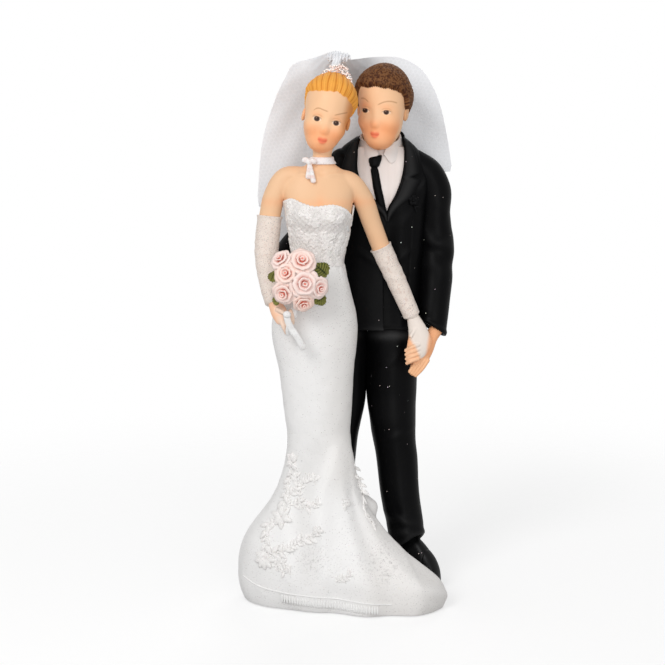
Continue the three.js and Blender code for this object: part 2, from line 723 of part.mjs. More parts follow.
function roseForm(place, grow) {
  const { half, matrix } = roseFrame(place);
  const profile = roseProfile.map(([r, z], i) => {
    const end = i === 0 || i === roseProfile.length - 1;
    const lift = z < 0 ? -grow : grow;
    return new THREE.Vector2(end ? 0 : r * half + grow, z * half + lift);
  });
  return moved(solidOf(new THREE.LatheGeometry(profile, 10).rotateX(Math.PI / 2)), matrix);
}
const roseName = (i) => `bouquet_rose_${i + 1}`;
rosePlaces.forEach((place, i) => {
  const earlier = rosePlaces.slice(0, i).map((_, j) => roseName(j));
  piece(roseName(i), bouquet, "rose", (grow) => roseForm(place, grow), [
    ...earlier,
    "bride_right_hand",
    "right_glove",
    "gown_skirt",
    "gown_bodice",
  ]);
});
piece("bouquet_holder", bouquet, "ribbon", holderForm, [
  ...rosePlaces.map((_, i) => roseName(i)),
  "bride_right_hand",
  "right_glove",
  "gown_skirt",
  "gown_bodice",
]);

// Leaf places as [across, up, turn in degrees, length share], the first two in the same shares.
const leafPlaces = [
  [0.93, 0.5, -50, 1],
  [0.88, -0.73, -115, 0.75],
  [-0.98, 0.23, 20, 0.6],
  [-0.84, -0.76, 60, 0.5],
];
function leafForm([across, up, turn, share], grow) {
  const long = LEAF_LENGTH * share;
  const outline = new THREE.Shape();
  outline.moveTo(0, -long / 2 - grow);
  outline.quadraticCurveTo(long * 0.48 + grow, 0, 0, long / 2 + grow);
  outline.quadraticCurveTo(-long * 0.48 - grow, 0, 0, -long / 2 - grow);
  const blade = new THREE.ExtrudeGeometry(outline, {
    depth: LEAF_THICKNESS + 2 * grow,
    bevelEnabled: false,
    curveSegments: 5,
  });
  blade.translate(0, 0, -LEAF_THICKNESS / 2 - grow);
  blade.rotateX(Math.PI / 2);
  blade.rotateY(rad(turn));
  blade.rotateZ(rad(across > 0 ? 28 : -28));
  blade.translate(across * BOUQUET, -0.1 * BOUQUET, up * BOUQUET);
  return solidOf(blade);
}
leafPlaces.forEach((place, i) => {
  piece(`bouquet_leaf_${i + 1}`, bouquet, "leaf", (grow) => leafForm(place, grow), [
    ...rosePlaces.map((_, j) => roseName(j)),
    "bouquet_holder",
    "bride_right_hand",
    "right_glove",
    "gown_skirt",
    "gown_bodice",
  ]);
});

function ribbonForm(grow) {
  const half = RIBBON_WIDTH / 2;
  const knot = V(-2.6, -1.4, -BOUQUET * 1.33);
  const tail = (dx, long) =>
    limb(
      [
        [knot.x, knot.y, knot.z, half, 0.4],
        [knot.x + dx * 0.6, knot.y + 0.2, knot.z - long * 0.5, half, 0.35],
        [knot.x + dx, knot.y + 1.2, knot.z - long, half * 1.1, 0.35],
      ],
      { sides: 6, steps: 1 },
      grow,
    );
  const bow = ellipsoid(knot.x, knot.y, knot.z, 1.1, 0.8, 0.9, 6, grow);
  return joined([bow, tail(0.4, 5.2), tail(2.2, 6.4), tail(3.7, 8.6)]);
}
piece("bouquet_ribbon", bouquet, "ribbon", ribbonForm, [
  ...rosePlaces.map((_, i) => roseName(i)),
  "bride_right_hand",
  "right_glove",
  "bouquet_holder",
  "gown_skirt",
  "gown_bodice",
]);

// Groom's head

const groomSkull = headStations(GROOM_HEAD_HEIGHT, GROOM_HEAD_WIDTH, 0.84);
piece(
  "groom_head",
  groomHead,
  "skin",
  (grow) => face(groomSkull, GROOM_HEAD_WIDTH, grow),
  ["bride_head", "bride_hair"],
);

function groomHairline(grow) {
  const wide = GROOM_HEAD_WIDTH / 2;
  const side = wide * 0.94 - grow;
  const top = GROOM_HEAD_HEIGHT * 0.25 - grow;
  return [
    [-side, -16],
    [-side, -1],
    [-side * 0.95, top * 0.5],
    [-side * 0.72, top * 0.96],
    [0, top],
    [side * 0.72, top * 0.96],
    [side * 0.95, top * 0.5],
    [side, -1],
    [side, -16],
  ];
}
piece(
  "groom_hair",
  groomHead,
  "brown",
  (grow) =>
    hairCap(groomSkull, HAIR_THICKNESS * 1.2, 0.5, groomHairline, -0.4, -GROOM_HEAD_HEIGHT * 0.15, grow),
  ["groom_head", "bride_head", "bride_hair"],
);

// Groom's suit

const suitStations = [
  [-2.3, 0, JACKET_HEM, JACKET_HEM_WIDTH / 2, JACKET_DEPTH / 2],
  [-1.8, 0, JACKET_HEM + JACKET_LENGTH * 0.2, JACKET_HEM_WIDTH / 2 - 0.4, JACKET_DEPTH / 2],
  [-0.9, 0, JACKET_HEM + JACKET_LENGTH * 0.5, JACKET_CHEST_WIDTH / 2 - 0.2, JACKET_DEPTH / 2 - 0.3],
  [-0.4, 0, JACKET_HEM + JACKET_LENGTH * 0.8, JACKET_CHEST_WIDTH / 2, JACKET_DEPTH / 2],
  [-0.2, 0.2, JACKET_SHOULDER, GROOM_SHOULDER_WIDTH / 2, JACKET_DEPTH * 0.46],
  [-0.6, 0.4, JACKET_SHOULDER + 4.6, GROOM_SHOULDER_WIDTH * 0.468, JACKET_DEPTH * 0.4],
  [-1, 0.6, JACKET_SHOULDER + 8.6, GROOM_SHOULDER_WIDTH * 0.379, JACKET_DEPTH * 0.35],
  [-0.6, 0.5, JACKET_SHOULDER + 11.8, GROOM_NECK_WIDTH / 2 + 1.7, GROOM_NECK_WIDTH / 2 + 1.3],
];
const suitOptions = { sides: 22, steps: 2, square: 2.4 };
const suitForm = (grow) => loft(suitStations, suitOptions, grow);

const neckStations = [
  [-0.7, 0.4, JACKET_SHOULDER + 2, GROOM_NECK_WIDTH / 2, GROOM_NECK_WIDTH / 2],
  [-0.7, 0, COLLAR_LEVEL + 0.4, GROOM_NECK_WIDTH / 2, GROOM_NECK_WIDTH / 2],
  [-0.7, -0.6, COLLAR_LEVEL + 6, GROOM_NECK_WIDTH / 2, GROOM_NECK_WIDTH / 2],
];
const neckForm = (grow) => loft(neckStations, { sides: 14, steps: 2 }, grow);
piece("groom_neck", groom, "skin", neckForm, ["groom_head", "groom_hair"]);

// The jacket's opening in front view: it narrows from the collar to the top button.
const openingTop = JACKET_SHOULDER + 14;
const openingFoot = JACKET_SHOULDER - 7.2;
function openingOutline(grow) {
  return [
    [-6.2 - grow, openingTop],
    [-6.8 - grow, JACKET_SHOULDER + 7],
    [-6.6 - grow, JACKET_SHOULDER + 2],
    [-3.6 - grow, openingFoot + 4],
    [0.8, openingFoot - grow * 1.6],
    [3.2 + grow, openingFoot + 4],
    [5 + grow, JACKET_SHOULDER + 2],
    [5.5 + grow, JACKET_SHOULDER + 7],
    [5 + grow, openingTop],
  ];
}
const OPENING_BACK = -1.2; // the opening is cut this far back from the chest

// A raised patch on the suit: a front-view outline, a little proud of the surface below it.
function patch(outline, lift, thickness, grow) {
  return suitForm(lift + thickness + grow)
    .subtract(suitForm(lift - grow))
    .intersect(prism(outline, -30, OPENING_BACK + 0.4));
}

// The collar stands round the neck and folds to two points beside the tie's knot.
function collarForm(grow) {
  const foot = COLLAR_LEVEL - 2.4;
  const outer = neckForm(1.5 + grow).intersect(slab(foot - grow, foot + COLLAR_HEIGHT + grow));
  const throat = prism(
    [
      [-2.2 + grow, COLLAR_LEVEL + 4],
      [-0.6, COLLAR_LEVEL - 1.6 + grow],
      [1 - grow, COLLAR_LEVEL + 4],
    ],
    -30,
    -1.2,
  );
  return outer.subtract(neckForm(BOND_GAP - grow)).subtract(throat);
}
piece("shirt_collar", groom, "shirt", collarForm, ["groom_head"]);

const tieOutline = (grow) => {
  const half = TIE_WIDTH / 2 + grow;
  const knot = COLLAR_LEVEL - 2.4;
  return [
    [-2.6 - half, knot + grow],
    [-1.4 + half, knot + grow],
    [-2 + half * 0.9, knot - 2.6],
    [-0.2 + half, openingFoot + 1],
    [-0.2 - half, openingFoot + 1],
    [-2.4 - half * 0.75, knot - 2.6],
  ];
};
const TIE_THICKNESS = 0.8;
const tieForm = (grow) => patch(tieOutline(grow), BOND_GAP, TIE_THICKNESS, grow);
piece("tie", groom, "tie", tieForm, ["shirt_collar", "groom_neck"]);

piece(
  "shirt_front",
  groom,
  "shirt",
  (grow) =>
    suitForm(grow)
      .intersect(prism(openingOutline(grow - BOND_GAP), -30, OPENING_BACK + grow))
      .subtract(slab(COLLAR_LEVEL + 1, COLLAR_LEVEL + 40)),
  ["shirt_collar", "groom_neck", "groom_head", "bride_bust", "bride_left_upper_arm"],
);
piece(
  "jacket_body",
  groom,
  "jacket",
  (grow) => suitForm(grow).subtract(prism(openingOutline(-grow), -30, OPENING_BACK + BOND_GAP - grow)),
  ["groom_head", "groom_neck", "shirt_collar", "bride_head", "bride_hair", "bride_bust", "gown_bodice",
    "gown_skirt", "bride_left_upper_arm", "left_glove", "bride_left_hand"],
);

// Notched lapels on both sides of the opening.
function lapelOutline(side, grow) {
  const inner = openingOutline(0.2);
  const edge = side > 0 ? inner.slice(4) : inner.slice(0, 5).reverse();
  const reach = side > 0 ? 1 : -1;
  const notch = JACKET_SHOULDER + 1.2;
  const outer = [
    [edge[3][0] + reach * 2.6, JACKET_SHOULDER + 7],
    [edge[2][0] + reach * 4.2, notch + 1.1],
    [edge[2][0] + reach * 2.4, notch + 0.3],
    [edge[2][0] + reach * 5, notch - 0.8],
    [edge[1][0] + reach * 4.4, openingFoot + 3.6],
    [edge[0][0] + reach * 0.6, openingFoot - 1.6],
  ];
  const outline = [...edge.slice(0, 4), ...outer];
  return side > 0 ? outline.map(([x, z]) => [x + grow, z]) : outline.map(([x, z]) => [x - grow, z]).reverse();
}
const jacketNeighbours = ["groom_head", "groom_neck", "shirt_collar", "tie", "bride_head", "bride_hair",
  "bride_bust", "gown_bodice", "bride_left_upper_arm", "left_glove"];
for (const [name, side] of [["lapel_left", 1], ["lapel_right", -1]]) {
  piece(
    name,
    groom,
    "jacket",
    (grow) => patch(lapelOutline(side, grow), BOND_GAP, LAPEL_THICKNESS, grow),
    jacketNeighbours,
  );
}

function buttonForm(grow) {
  const half = BUTTON_WIDTH / 2 + grow;
  const disc = new THREE.CylinderGeometry(half * 0.8, half, 0.7 + 2 * grow, 12);
  const front = -JACKET_DEPTH / 2 - 0.35;
  disc.translate(1.2, front, JACKET_HEM + JACKET_LENGTH * 0.42);
  return solidOf(disc);
}
piece("jacket_button", groom, "jacket", buttonForm, ["jacket_body", "bride_left_upper_arm", "left_glove"]);

// Buttonhole flower on the left lapel, painted with the jacket
const flowerForm = (grow) =>
  joined(
    [0, 1, 2, 3, 4].map((petal) => {
      const angle = (petal / 5) * 2 * Math.PI;
      const x = 7.6 + Math.cos(angle) * 0.8;
      const z = JACKET_SHOULDER - 4.6 + Math.sin(angle) * 0.9;
      return ellipsoid(x, 1 - JACKET_DEPTH / 2, z, 0.8, 1.2, 0.8, 5, grow);
    }),
  );
const flowerNeighbours = ["jacket_body", "lapel_left", "bride_left_upper_arm"];
piece("buttonhole_flower", groom, "jacket", flowerForm, flowerNeighbours);

// Sleeves: the left one hangs to the clasped hands, the right one goes round the bride's back
const SLEEVE = SLEEVE_WIDTH / 2;
const CUFF = SLEEVE_CUFF_WIDTH / 2;
const cuffX = 12.9;
const cuffY = 1.3 - JACKET_DEPTH / 2;
const cuffZ = claspZ - 4.4;
const leftSleeve = [
  [8.3, 0.5, JACKET_SHOULDER + 5.4, SLEEVE * 0.77],
  [10.8, 0.4, JACKET_SHOULDER + 1.8, SLEEVE * 0.86],
  [12.5, 0.3, JACKET_SHOULDER - 2.2, SLEEVE * 0.98],
  [13.3, 0.2, JACKET_SHOULDER - 8.4, SLEEVE],
  [14, -0.8, JACKET_SHOULDER - 20, SLEEVE],
  [13.5, cuffY + 2.6, cuffZ + 8.5, SLEEVE * 0.93],
  [cuffX, cuffY, cuffZ + 0.2, CUFF],
];
const rightSleeve = [
  [-9.8, 0.6, JACKET_SHOULDER + 5, SLEEVE * 0.9],
  [-14.4, -1.2, JACKET_SHOULDER - 5, SLEEVE * 0.84],
  [-19.6, -4.4, JACKET_SHOULDER - 12.4, SLEEVE * 0.76],
  [-24, -7.8, WAIST_LEVEL + 2.4, CUFF * 0.92],
  [-26.2, -11.6, WAIST_LEVEL - 0.6, CUFF * 0.82],
];
const sleeveForm = (stations, grow) =>
  loft(stations.map(([x, y, z, r]) => [x, y, z, r, r]), { ...armOptions, sides: 12 }, grow);
const brideBody = ["bride_head", "bride_hair", "bride_bust", "gown_bodice", "gown_skirt",
  "bride_right_upper_arm", "right_glove", "bride_right_hand", "bride_left_upper_arm", "left_glove",
  "bride_left_hand"];
piece("jacket_left_sleeve", groom, "jacket", (grow) => sleeveForm(leftSleeve, grow), [
  "jacket_body",
  "lapel_left",
  ...brideBody,
]);
piece("jacket_right_sleeve", groom, "jacket", (grow) => sleeveForm(rightSleeve, grow), [
  "jacket_body",
  "lapel_right",
  ...brideBody,
]);

// Groom's hands: the left one holds the bride's, the right one lies on the bride's waist
const holdPalm = [
  [cuffX + 1.2, cuffY - 0.4, cuffZ + 0.4, 1.6, 1.5],
  [cuffX - 0.8, cuffY - 2.1, cuffZ - 1.8, 1.9, 1.5],
  [cuffX - 2.2, cuffY - 3.2, cuffZ - 4.8, 2.1, 1.4],
  [cuffX - 3.3, cuffY - 3.7, cuffZ - 7, 2, 1.3],
  [cuffX - 4.3, cuffY - 3.9, cuffZ - 8.9, 1.7, 1.1],
  [cuffX - 5.2, cuffY - 3.9, cuffZ - 10.5, 1.2, 0.9],
];
const holdFingers = [0, 1, 2, 3].map((finger) => [
  [cuffX - 3.4 + finger * 0.62, cuffY - 4.6 + finger * 0.1, cuffZ - 5.8 - finger * 0.5],
  [cuffX - 4.9 + finger * 0.62, cuffY - 4.9 + finger * 0.15, cuffZ - 8.1 - finger * 0.5],
  [cuffX - 6.1 + finger * 0.5, cuffY - 4.7 + finger * 0.15, cuffZ - 10.2 - finger * 0.38],
]);
piece(
  "groom_left_hand",
  groom,
  "skin",
  (grow) => handForm(holdPalm, holdFingers, grow),
  ["bride_left_hand", "left_glove", "jacket_left_sleeve"],
);
const waistPalm = [
  [-25.7, -12.3, WAIST_LEVEL - 1.2, 1.7, 1.9],
  [-25.5, -14.6, WAIST_LEVEL - 3, 1.3, 2.2],
];
const waistFingers = [0, 1, 2, 3].map((finger) => [
  [-25.3, -14.4, WAIST_LEVEL - 1.6 - finger * 1.05],
  [-24.6, -16.2, WAIST_LEVEL - 2.4 - finger * 1.05],
  [-23.6, -17.6, WAIST_LEVEL - 3 - finger],
]);
piece(
  "groom_right_hand",
  groom,
  "skin",
  (grow) => handForm(waistPalm, waistFingers, grow),
  ["jacket_right_sleeve", "bouquet_holder", ...brideBody, ...rosePlaces.map((_, i) => roseName(i)),
    "bouquet_leaf_3", "bouquet_leaf_4"],
);

// Trouser legs
const LEG_CUFF = TROUSER_CUFF_WIDTH / 2;
const legLevel = (share) => SHOE_HEIGHT + (TROUSER_TOP - SHOE_HEIGHT) * share;
const SEAM_X = -4.2; // the two legs meet here, in front of the groom's own middle
const leftLeg = [
  [6.3, 0, SHOE_HEIGHT - HEM_BREAK, LEG_CUFF, LEG_CUFF * 1.04],
  [6.6, -1.4, legLevel(0), LEG_CUFF, LEG_CUFF * 1.02],
  [4.9, -0.9, legLevel(0.2), LEG_CUFF * 1.08, LEG_CUFF * 1.06],
  [3.7, -0.4, legLevel(0.43), LEG_CUFF * 1.17, LEG_CUFF * 1.16],
  [2.4, 0, legLevel(0.68), LEG_CUFF * 1.36, LEG_CUFF * 1.36],
  [2.2, 0, legLevel(1), LEG_CUFF * 1.4, LEG_CUFF * 1.46],
];
const rightLeg = [
  [-12.5, 0.2, SHOE_HEIGHT - HEM_BREAK, LEG_CUFF, LEG_CUFF * 1.04],
  [-12.6, -0.6, legLevel(0), LEG_CUFF, LEG_CUFF * 1.02],
  [-12.6, -0.4, legLevel(0.2), LEG_CUFF * 1.08, LEG_CUFF * 1.06],
  [-12.3, -0.2, legLevel(0.43), LEG_CUFF * 1.17, LEG_CUFF * 1.16],
  [-11.2, 0, legLevel(0.68), LEG_CUFF * 1.34, LEG_CUFF * 1.36],
  [-9.9, 0, legLevel(1), LEG_CUFF * 1.24, LEG_CUFF * 1.46],
];
const legForm = (stations, side, toe, grow) => {
  const edge = SEAM_X + (side * BOND_GAP) / 2 - side * grow;
  const half = side > 0 ? [edge, edge + 60] : [edge - 60, edge];
  const box = new THREE.BoxGeometry(half[1] - half[0], 80, 160);
  box.translate((half[0] + half[1]) / 2, 0, 60);
  // The hem slopes from the instep, which is on the toe's side, down to the heel.
  const [hemX, hemY] = stations[1];
  const slope = HEM_BREAK / (2 * LEG_CUFF);
  const wedge = new THREE.Shape();
  wedge.moveTo(-60, SHOE_HEIGHT - grow + (60 - LEG_CUFF) * slope);
  wedge.lineTo(-60, -90);
  wedge.lineTo(60, -90);
  wedge.lineTo(60, SHOE_HEIGHT - grow - (60 + LEG_CUFF) * slope);
  const hemCut = new THREE.ExtrudeGeometry(wedge, { depth: 160, bevelEnabled: false });
  hemCut.translate(0, 0, -80);
  hemCut.rotateX(Math.PI / 2);
  hemCut.rotateZ(Math.PI / 2 + rad(toe));
  hemCut.translate(hemX, hemY, 0);
  const leg = loft(stations, { sides: 16, steps: 2, square: 2.2 }, grow);
  return leg.intersect(solidOf(box)).subtract(solidOf(hemCut));
};
const legNeighbours = ["gown_skirt", "bride_left_hand", "left_glove", "groom_left_hand"];
const leftLegForm = (grow) => legForm(leftLeg, 1, LEFT_TOE, grow);
const rightLegForm = (grow) => legForm(rightLeg, -1, RIGHT_TOE, grow);
piece("trousers_left_leg", groom, "trousers", leftLegForm, legNeighbours);
piece("trousers_right_leg", groom, "trousers", rightLegForm, legNeighbours);

// Shoes: a last from heel to toe, flat underneath, up to the trouser cuff
function shoeForm(stations, grow) {
  const [heelX, heelY, toeX, toeY] = stations;
  const at = (share) => [THREE.MathUtils.lerp(heelX, toeX, share), THREE.MathUtils.lerp(heelY, toeY, share)];
  const half = SHOE_WIDTH / 2;
  const long = (share, tall, wide) => {
    const [x, y] = at(share);
    return [x, y, 0, half * wide, tall];
  };
  const last = loft(
    [
      long(0, 5, 0.76),
      long(0.16, SHOE_HEIGHT * 0.86, 0.9),
      long(0.32, SHOE_HEIGHT * 0.98, 0.96),
      long(0.5, SHOE_HEIGHT * 0.93, 1),
      long(0.7, SHOE_HEIGHT * 0.78, 1.03),
      long(0.88, SHOE_HEIGHT * 0.58, 0.94),
      long(1, SHOE_HEIGHT * 0.36, 0.66),
    ],
    { sides: 16, steps: 1, along: true, front: V(0, 0, 1), square: 2.2, domeStart: 0.4, domeEnd: 0.4 },
    grow,
  );
  return last.subtract(slab(-40, -grow));
}
const shoeRun = (heelX, heelY, degrees) => [
  heelX,
  heelY,
  heelX + (SHOE_LENGTH - 2) * Math.sin(rad(degrees)),
  heelY - (SHOE_LENGTH - 2) * Math.cos(rad(degrees)),
];
const shoeNeighbours = ["trousers_left_leg", "trousers_right_leg"];
piece("left_shoe", groom, "shoe", (grow) => shoeForm(shoeRun(4.2, 1.4, LEFT_TOE), grow), shoeNeighbours);
piece("right_shoe", groom, "shoe", (grow) => shoeForm(shoeRun(-12, 3.6, RIGHT_TOE), grow), shoeNeighbours);

// The train and the base come last, because the gown was cast round the groom's leg and shoes.
piece("gown_train", bride, "gown", trainForm, groomFeet);
piece("base_plate", bride, "gown", baseForm, groomFeet);

// Veil: a sheet of tulle that falls from its gather on the bride's crown, behind both figures

const VEIL_COLUMNS = 24;
const VEIL_ROWS = 9;
const gatherX = BRIDE_X + 5;
const gatherY = BRIDE_Y + 7.5;
const gatherZ = CROWN_LEVEL + BRIDE_HEAD_HEIGHT + 1.6;
const veilLeft = BRIDE_X - VEIL_LEFT_REACH;
const backOfGroom = GROOM_Y + JACKET_DEPTH / 2 + VEIL_STAND_OFF;
const backOfBride = BRIDE_Y + 17;

// One point of the cloth. Across runs from its left edge to the right, down from its top edge.
function veilPoint(across, down) {
  const x0 = veilLeft + VEIL_WIDTH * across;
  const middle = (across - 0.41) / 0.59;
  const bulge = 1 - Math.abs(2 * across - 1) ** 5;
  const comb = 0.023 * Math.exp(-((across - 0.41) ** 2) / 0.003);
  const top = gatherZ - VEIL_DROP * (0.49 - 0.48 * bulge - comb);
  const low = gatherZ - VEIL_DROP * (1 - 0.36 * THREE.MathUtils.smoothstep(across, 0.45, 1));
  const z = THREE.MathUtils.lerp(top, low, down);
  const behind = THREE.MathUtils.lerp(backOfBride, backOfGroom, THREE.MathUtils.smoothstep(across, 0, 0.5));
  const fromGather = Math.hypot(x0 - gatherX, z - gatherZ);
  const pull = Math.exp(-((fromGather / GATHER_WIDTH) ** 2));
  const y = THREE.MathUtils.lerp(behind, gatherY + 1.4, pull);
  const spread = THREE.MathUtils.smoothstep(fromGather, GATHER_WIDTH * 0.8, VEIL_WIDTH * 0.6);
  const turn = Math.atan2(x0 - gatherX, gatherZ + 2 - z);
  const fold = VEIL_FOLD_DEPTH * spread * Math.sin(turn * 11 + middle);
  return V(x0, y + fold, z);
}

function veilForm(grow) {
  const grid = [];
  const half = VEIL_THICKNESS / 2 + grow;
  for (const side of [1, -1]) {
    for (let row = 0; row <= VEIL_ROWS; row++) {
      for (let column = 0; column <= VEIL_COLUMNS; column++) {
        grid.push(veilPoint(column / VEIL_COLUMNS, row / VEIL_ROWS).add(V(0, side * half, 0)));
      }
    }
  }
  const wide = VEIL_COLUMNS + 1;
  const back = wide * (VEIL_ROWS + 1);
  const index = [];
  const quad = (a, b, c, d) => index.push(a, b, c, a, c, d);
  for (let row = 0; row < VEIL_ROWS; row++) {
    for (let column = 0; column < VEIL_COLUMNS; column++) {
      const a = row * wide + column;
      quad(a, a + 1, a + wide + 1, a + wide);
      quad(back + a, back + a + wide, back + a + wide + 1, back + a + 1);
    }
    const left = row * wide;
    const right = left + VEIL_COLUMNS;
    quad(left, left + wide, back + left + wide, back + left);
    quad(right, back + right, back + right + wide, right + wide);
  }
  for (let column = 0; column < VEIL_COLUMNS; column++) {
    const low = VEIL_ROWS * wide + column;
    quad(column, back + column, back + column + 1, column + 1);
    quad(low, low + 1, back + low + 1, back + low);
  }
  const geometry = new THREE.BufferGeometry().setFromPoints(grid);
  geometry.setIndex(index);
  return solidOf(geometry);
}
// The gather is round about the line that the cloth turns on, so the cloth clears it at every angle.
const gatherForm = (grow) =>
  limb(
    [
      [gatherX - GATHER_WIDTH / 2, gatherY, gatherZ - 1, 0.8, 0.8],
      [gatherX, gatherY, gatherZ - 1, 1.25, 1.25],
      [gatherX + GATHER_WIDTH / 2, gatherY, gatherZ - 1, 0.8, 0.8],
    ],
    { sides: 10, steps: 2 },
    grow,
  );
piece("veil_gather", veil, "tulle", gatherForm, ["bride_head", "bride_hair", "bride_chignon", "tiara"]);
piece("veil_cloth", veil, "tulle", veilForm, ["veil_gather"]);

// Assembly: each piece is cut by its neighbours in the couple's own frame, then set in its group
topper.updateMatrixWorld(true);
for (const { name, group, material, form, cutBy } of pieces.values()) {
  let body = moved(form(0), group.matrixWorld);
  for (const other of cutBy) {
    const neighbour = pieces.get(other);
    body = body.subtract(moved(neighbour.form(BOND_GAP), neighbour.group.matrixWorld));
  }
  const local = moved(largest(body), group.matrixWorld.clone().invert());
  const mesh = new THREE.Mesh(geometryOf(local), MATERIALS[material]);
  mesh.name = name;
  group.add(mesh);
}

export default topper;
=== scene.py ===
"""The painted finish of a wedding cake topper: a couple in cast resin, with a veil of real tulle."""

import math

import bpy
import numpy as np
from mathutils import Matrix, Vector


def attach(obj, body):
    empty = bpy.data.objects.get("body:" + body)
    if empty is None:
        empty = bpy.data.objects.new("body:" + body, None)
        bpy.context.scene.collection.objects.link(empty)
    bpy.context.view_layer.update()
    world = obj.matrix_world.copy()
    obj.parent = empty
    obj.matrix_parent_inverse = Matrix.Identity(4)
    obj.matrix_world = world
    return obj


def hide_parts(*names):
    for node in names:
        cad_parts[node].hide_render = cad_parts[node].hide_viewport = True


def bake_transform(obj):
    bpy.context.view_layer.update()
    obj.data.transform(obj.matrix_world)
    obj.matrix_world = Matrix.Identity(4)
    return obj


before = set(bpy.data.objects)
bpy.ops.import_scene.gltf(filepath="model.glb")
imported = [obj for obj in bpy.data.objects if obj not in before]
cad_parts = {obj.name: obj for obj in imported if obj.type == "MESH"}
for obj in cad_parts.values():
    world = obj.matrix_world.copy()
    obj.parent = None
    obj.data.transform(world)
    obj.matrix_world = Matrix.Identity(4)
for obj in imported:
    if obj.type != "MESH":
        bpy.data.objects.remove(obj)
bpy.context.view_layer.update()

bl_info = {
    "name": "Wedding Cake Topper",
    "version": (1, 0, 0),
    "blender": (4, 5, 0),
    "location": "3D View > Sidebar > Topper",
    "description": "Paints and details the cast couple of a wedding cake topper, one operator for each piece",
    "category": "Object",
}

# Lengths below are in millimetres, and a mesh is made in metres
MM = 0.001
TURN = 2 * math.pi


# Sizes and paints that a user would change


def ink(red, green, blue):
    """A colour as it is seen on a screen, 0 to 255, in the linear values that a shader takes."""
    seen = np.array([red, green, blue]) / 255
    return tuple(float(v) for v in np.where(seen <= 0.04045, seen / 12.92, ((seen + 0.055) / 1.055) ** 2.4))


def paint_pot(name, about, red, green, blue):
    return bpy.props.FloatVectorProperty(
        name=name, description=about, subtype="COLOR", size=3, min=0, max=1, default=ink(red, green, blue)
    )


def length_of(name, about, millimetres):
    return bpy.props.FloatProperty(
        name=name, description=about, unit="LENGTH", min=0, default=millimetres * MM
    )


class TopperPaints(bpy.types.PropertyGroup):
    """Paints that the figures are coloured with."""

    skin: paint_pot("Skin", "Bare skin of both figures", 247, 199, 156)
    # Blush paint, also used as painted shade: on the lower face, under the nose and chin, between the
    # fingers, on the groom's neck and round the bride's shoulders
    blush_and_shade: paint_pot("Blush", "Sprayed warmth on cheeks, knuckles and shoulders", 255, 160, 100)
    lips: paint_pot("Lips", "Mouths", 236, 106, 74)
    line: paint_pot("Line", "Eyes", 50, 26, 13)
    brow: paint_pot("Brow", "Thin brush lines of the brows", 160, 98, 52)
    blonde: paint_pot("Blonde", "Bride's hair", 246, 176, 80)
    # Darker paint in the hair's grooves that also stands for their shade, and laid down the right side of the
    # bride's face as hair paint and painted shade
    blonde_wash_and_shade: paint_pot("Blonde wash", "Darker paint in the grooves of the bride's hair", 206, 122, 34)
    brown: paint_pot("Brown", "Groom's hair", 126, 84, 50)
    # Darker paint in the grooves of the groom's hair, which also stands for their shade
    brown_wash_and_shade: paint_pot("Brown wash", "Darker paint in the grooves of the groom's hair", 66, 33, 17)
    gown: paint_pot("Gown", "Gown, base and ribbons", 241, 240, 239)
    # Painted shade in the gown's fold hollows and lace recesses, and uneven tone at random on the bouquet
    # ribbon
    gown_shade_and_mottle: paint_pot("Gown wash", "Shade in the gown's folds and lace", 215, 213, 211)
    glove: paint_pot("Glove", "Long gloves", 236, 224, 214)
    rose: paint_pot("Rose", "Depth of a rose", 238, 148, 132)
    rose_edge: paint_pot("Rose edge", "Paler lip of a petal", 253, 232, 225)
    leaf: paint_pot("Leaf", "Rose leaves", 62, 72, 22)
    suit: paint_pot("Suit", "Jacket, trousers, tie and shoes", 8, 8, 9)
    shirt: paint_pot("Shirt", "Shirt front and collar", 244, 236, 232)
    tulle: paint_pot("Tulle", "Threads of the veil", 242, 243, 246)


class TopperSizes(bpy.types.PropertyGroup):
    """Sizes of the fine detail that the finish adds."""

    lace_relief: length_of("Lace relief", "Height of the cast lace on the bodice", 0.3)
    fold_depth: length_of("Fold depth", "Height of the long soft ridge down the front of the train", 1.0)
    pleat_pitch: length_of("Pleat pitch", "Distance between the pleats of the hem", 0.7)
    net_pitch: length_of("Net pitch", "Distance between the cells of the tulle", 1.1)
    flake_size: length_of("Flake size", "Radius of a glitter flake", 0.065)
    hair_groove: length_of("Hair groove", "Depth of the combed grooves", 0.13)
    bride_strands: bpy.props.IntProperty(
        name="Bride strands", description="Grooves round the bride's hair", default=104
    )
    groom_strands: bpy.props.IntProperty(
        name="Groom strands", description="Grooves round the groom's hair", default=96
    )


def paint(context, name):
    return np.array(getattr(context.scene.topper_paints, name))


def mixed_paints(context, light, wash, share):
    """From one paint to another, by shares that are kept between 0 and 1. Used for painted shade as well as
    for washes and uneven tone.
    """
    return mixed(paint(context, light), paint(context, wash), np.clip(share, 0, 1)[..., None])


def size_mm(context, name):
    return getattr(context.scene.topper_sizes, name) / MM


# Curves and fields


def ramp(low, high, value):
    """0 below low, 1 above high, and smooth between. High may be the lower of the two."""
    share = np.clip((value - low) / (high - low), 0, 1)
    return share * share * (3 - 2 * share)


def swell(value, centre, reach):
    return np.exp(-(((value - centre) / reach) ** 2))


def mixed(first, second, share):
    first = np.asarray(first)
    return first + (np.asarray(second) - first) * share


def through(knots, rows, at):
    """Rows of numbers read off a smooth curve through the given rows."""
    knots = np.asarray(knots, float)
    rows = np.asarray(rows, float)
    at = np.asarray(at, float)
    slopes = np.gradient(rows, knots, axis=0)
    i = np.clip(np.searchsorted(knots, at, side="right") - 1, 0, len(knots) - 2)
    step = (knots[i + 1] - knots[i])[..., None]
    s = ((at - knots[i])[..., None]) / step
    start = rows[i] * (1 + 2 * s) * (1 - s) ** 2 + slopes[i] * step * s * (1 - s) ** 2
    end = rows[i + 1] * s * s * (3 - 2 * s) + slopes[i + 1] * step * s * s * (s - 1)
    return start + end


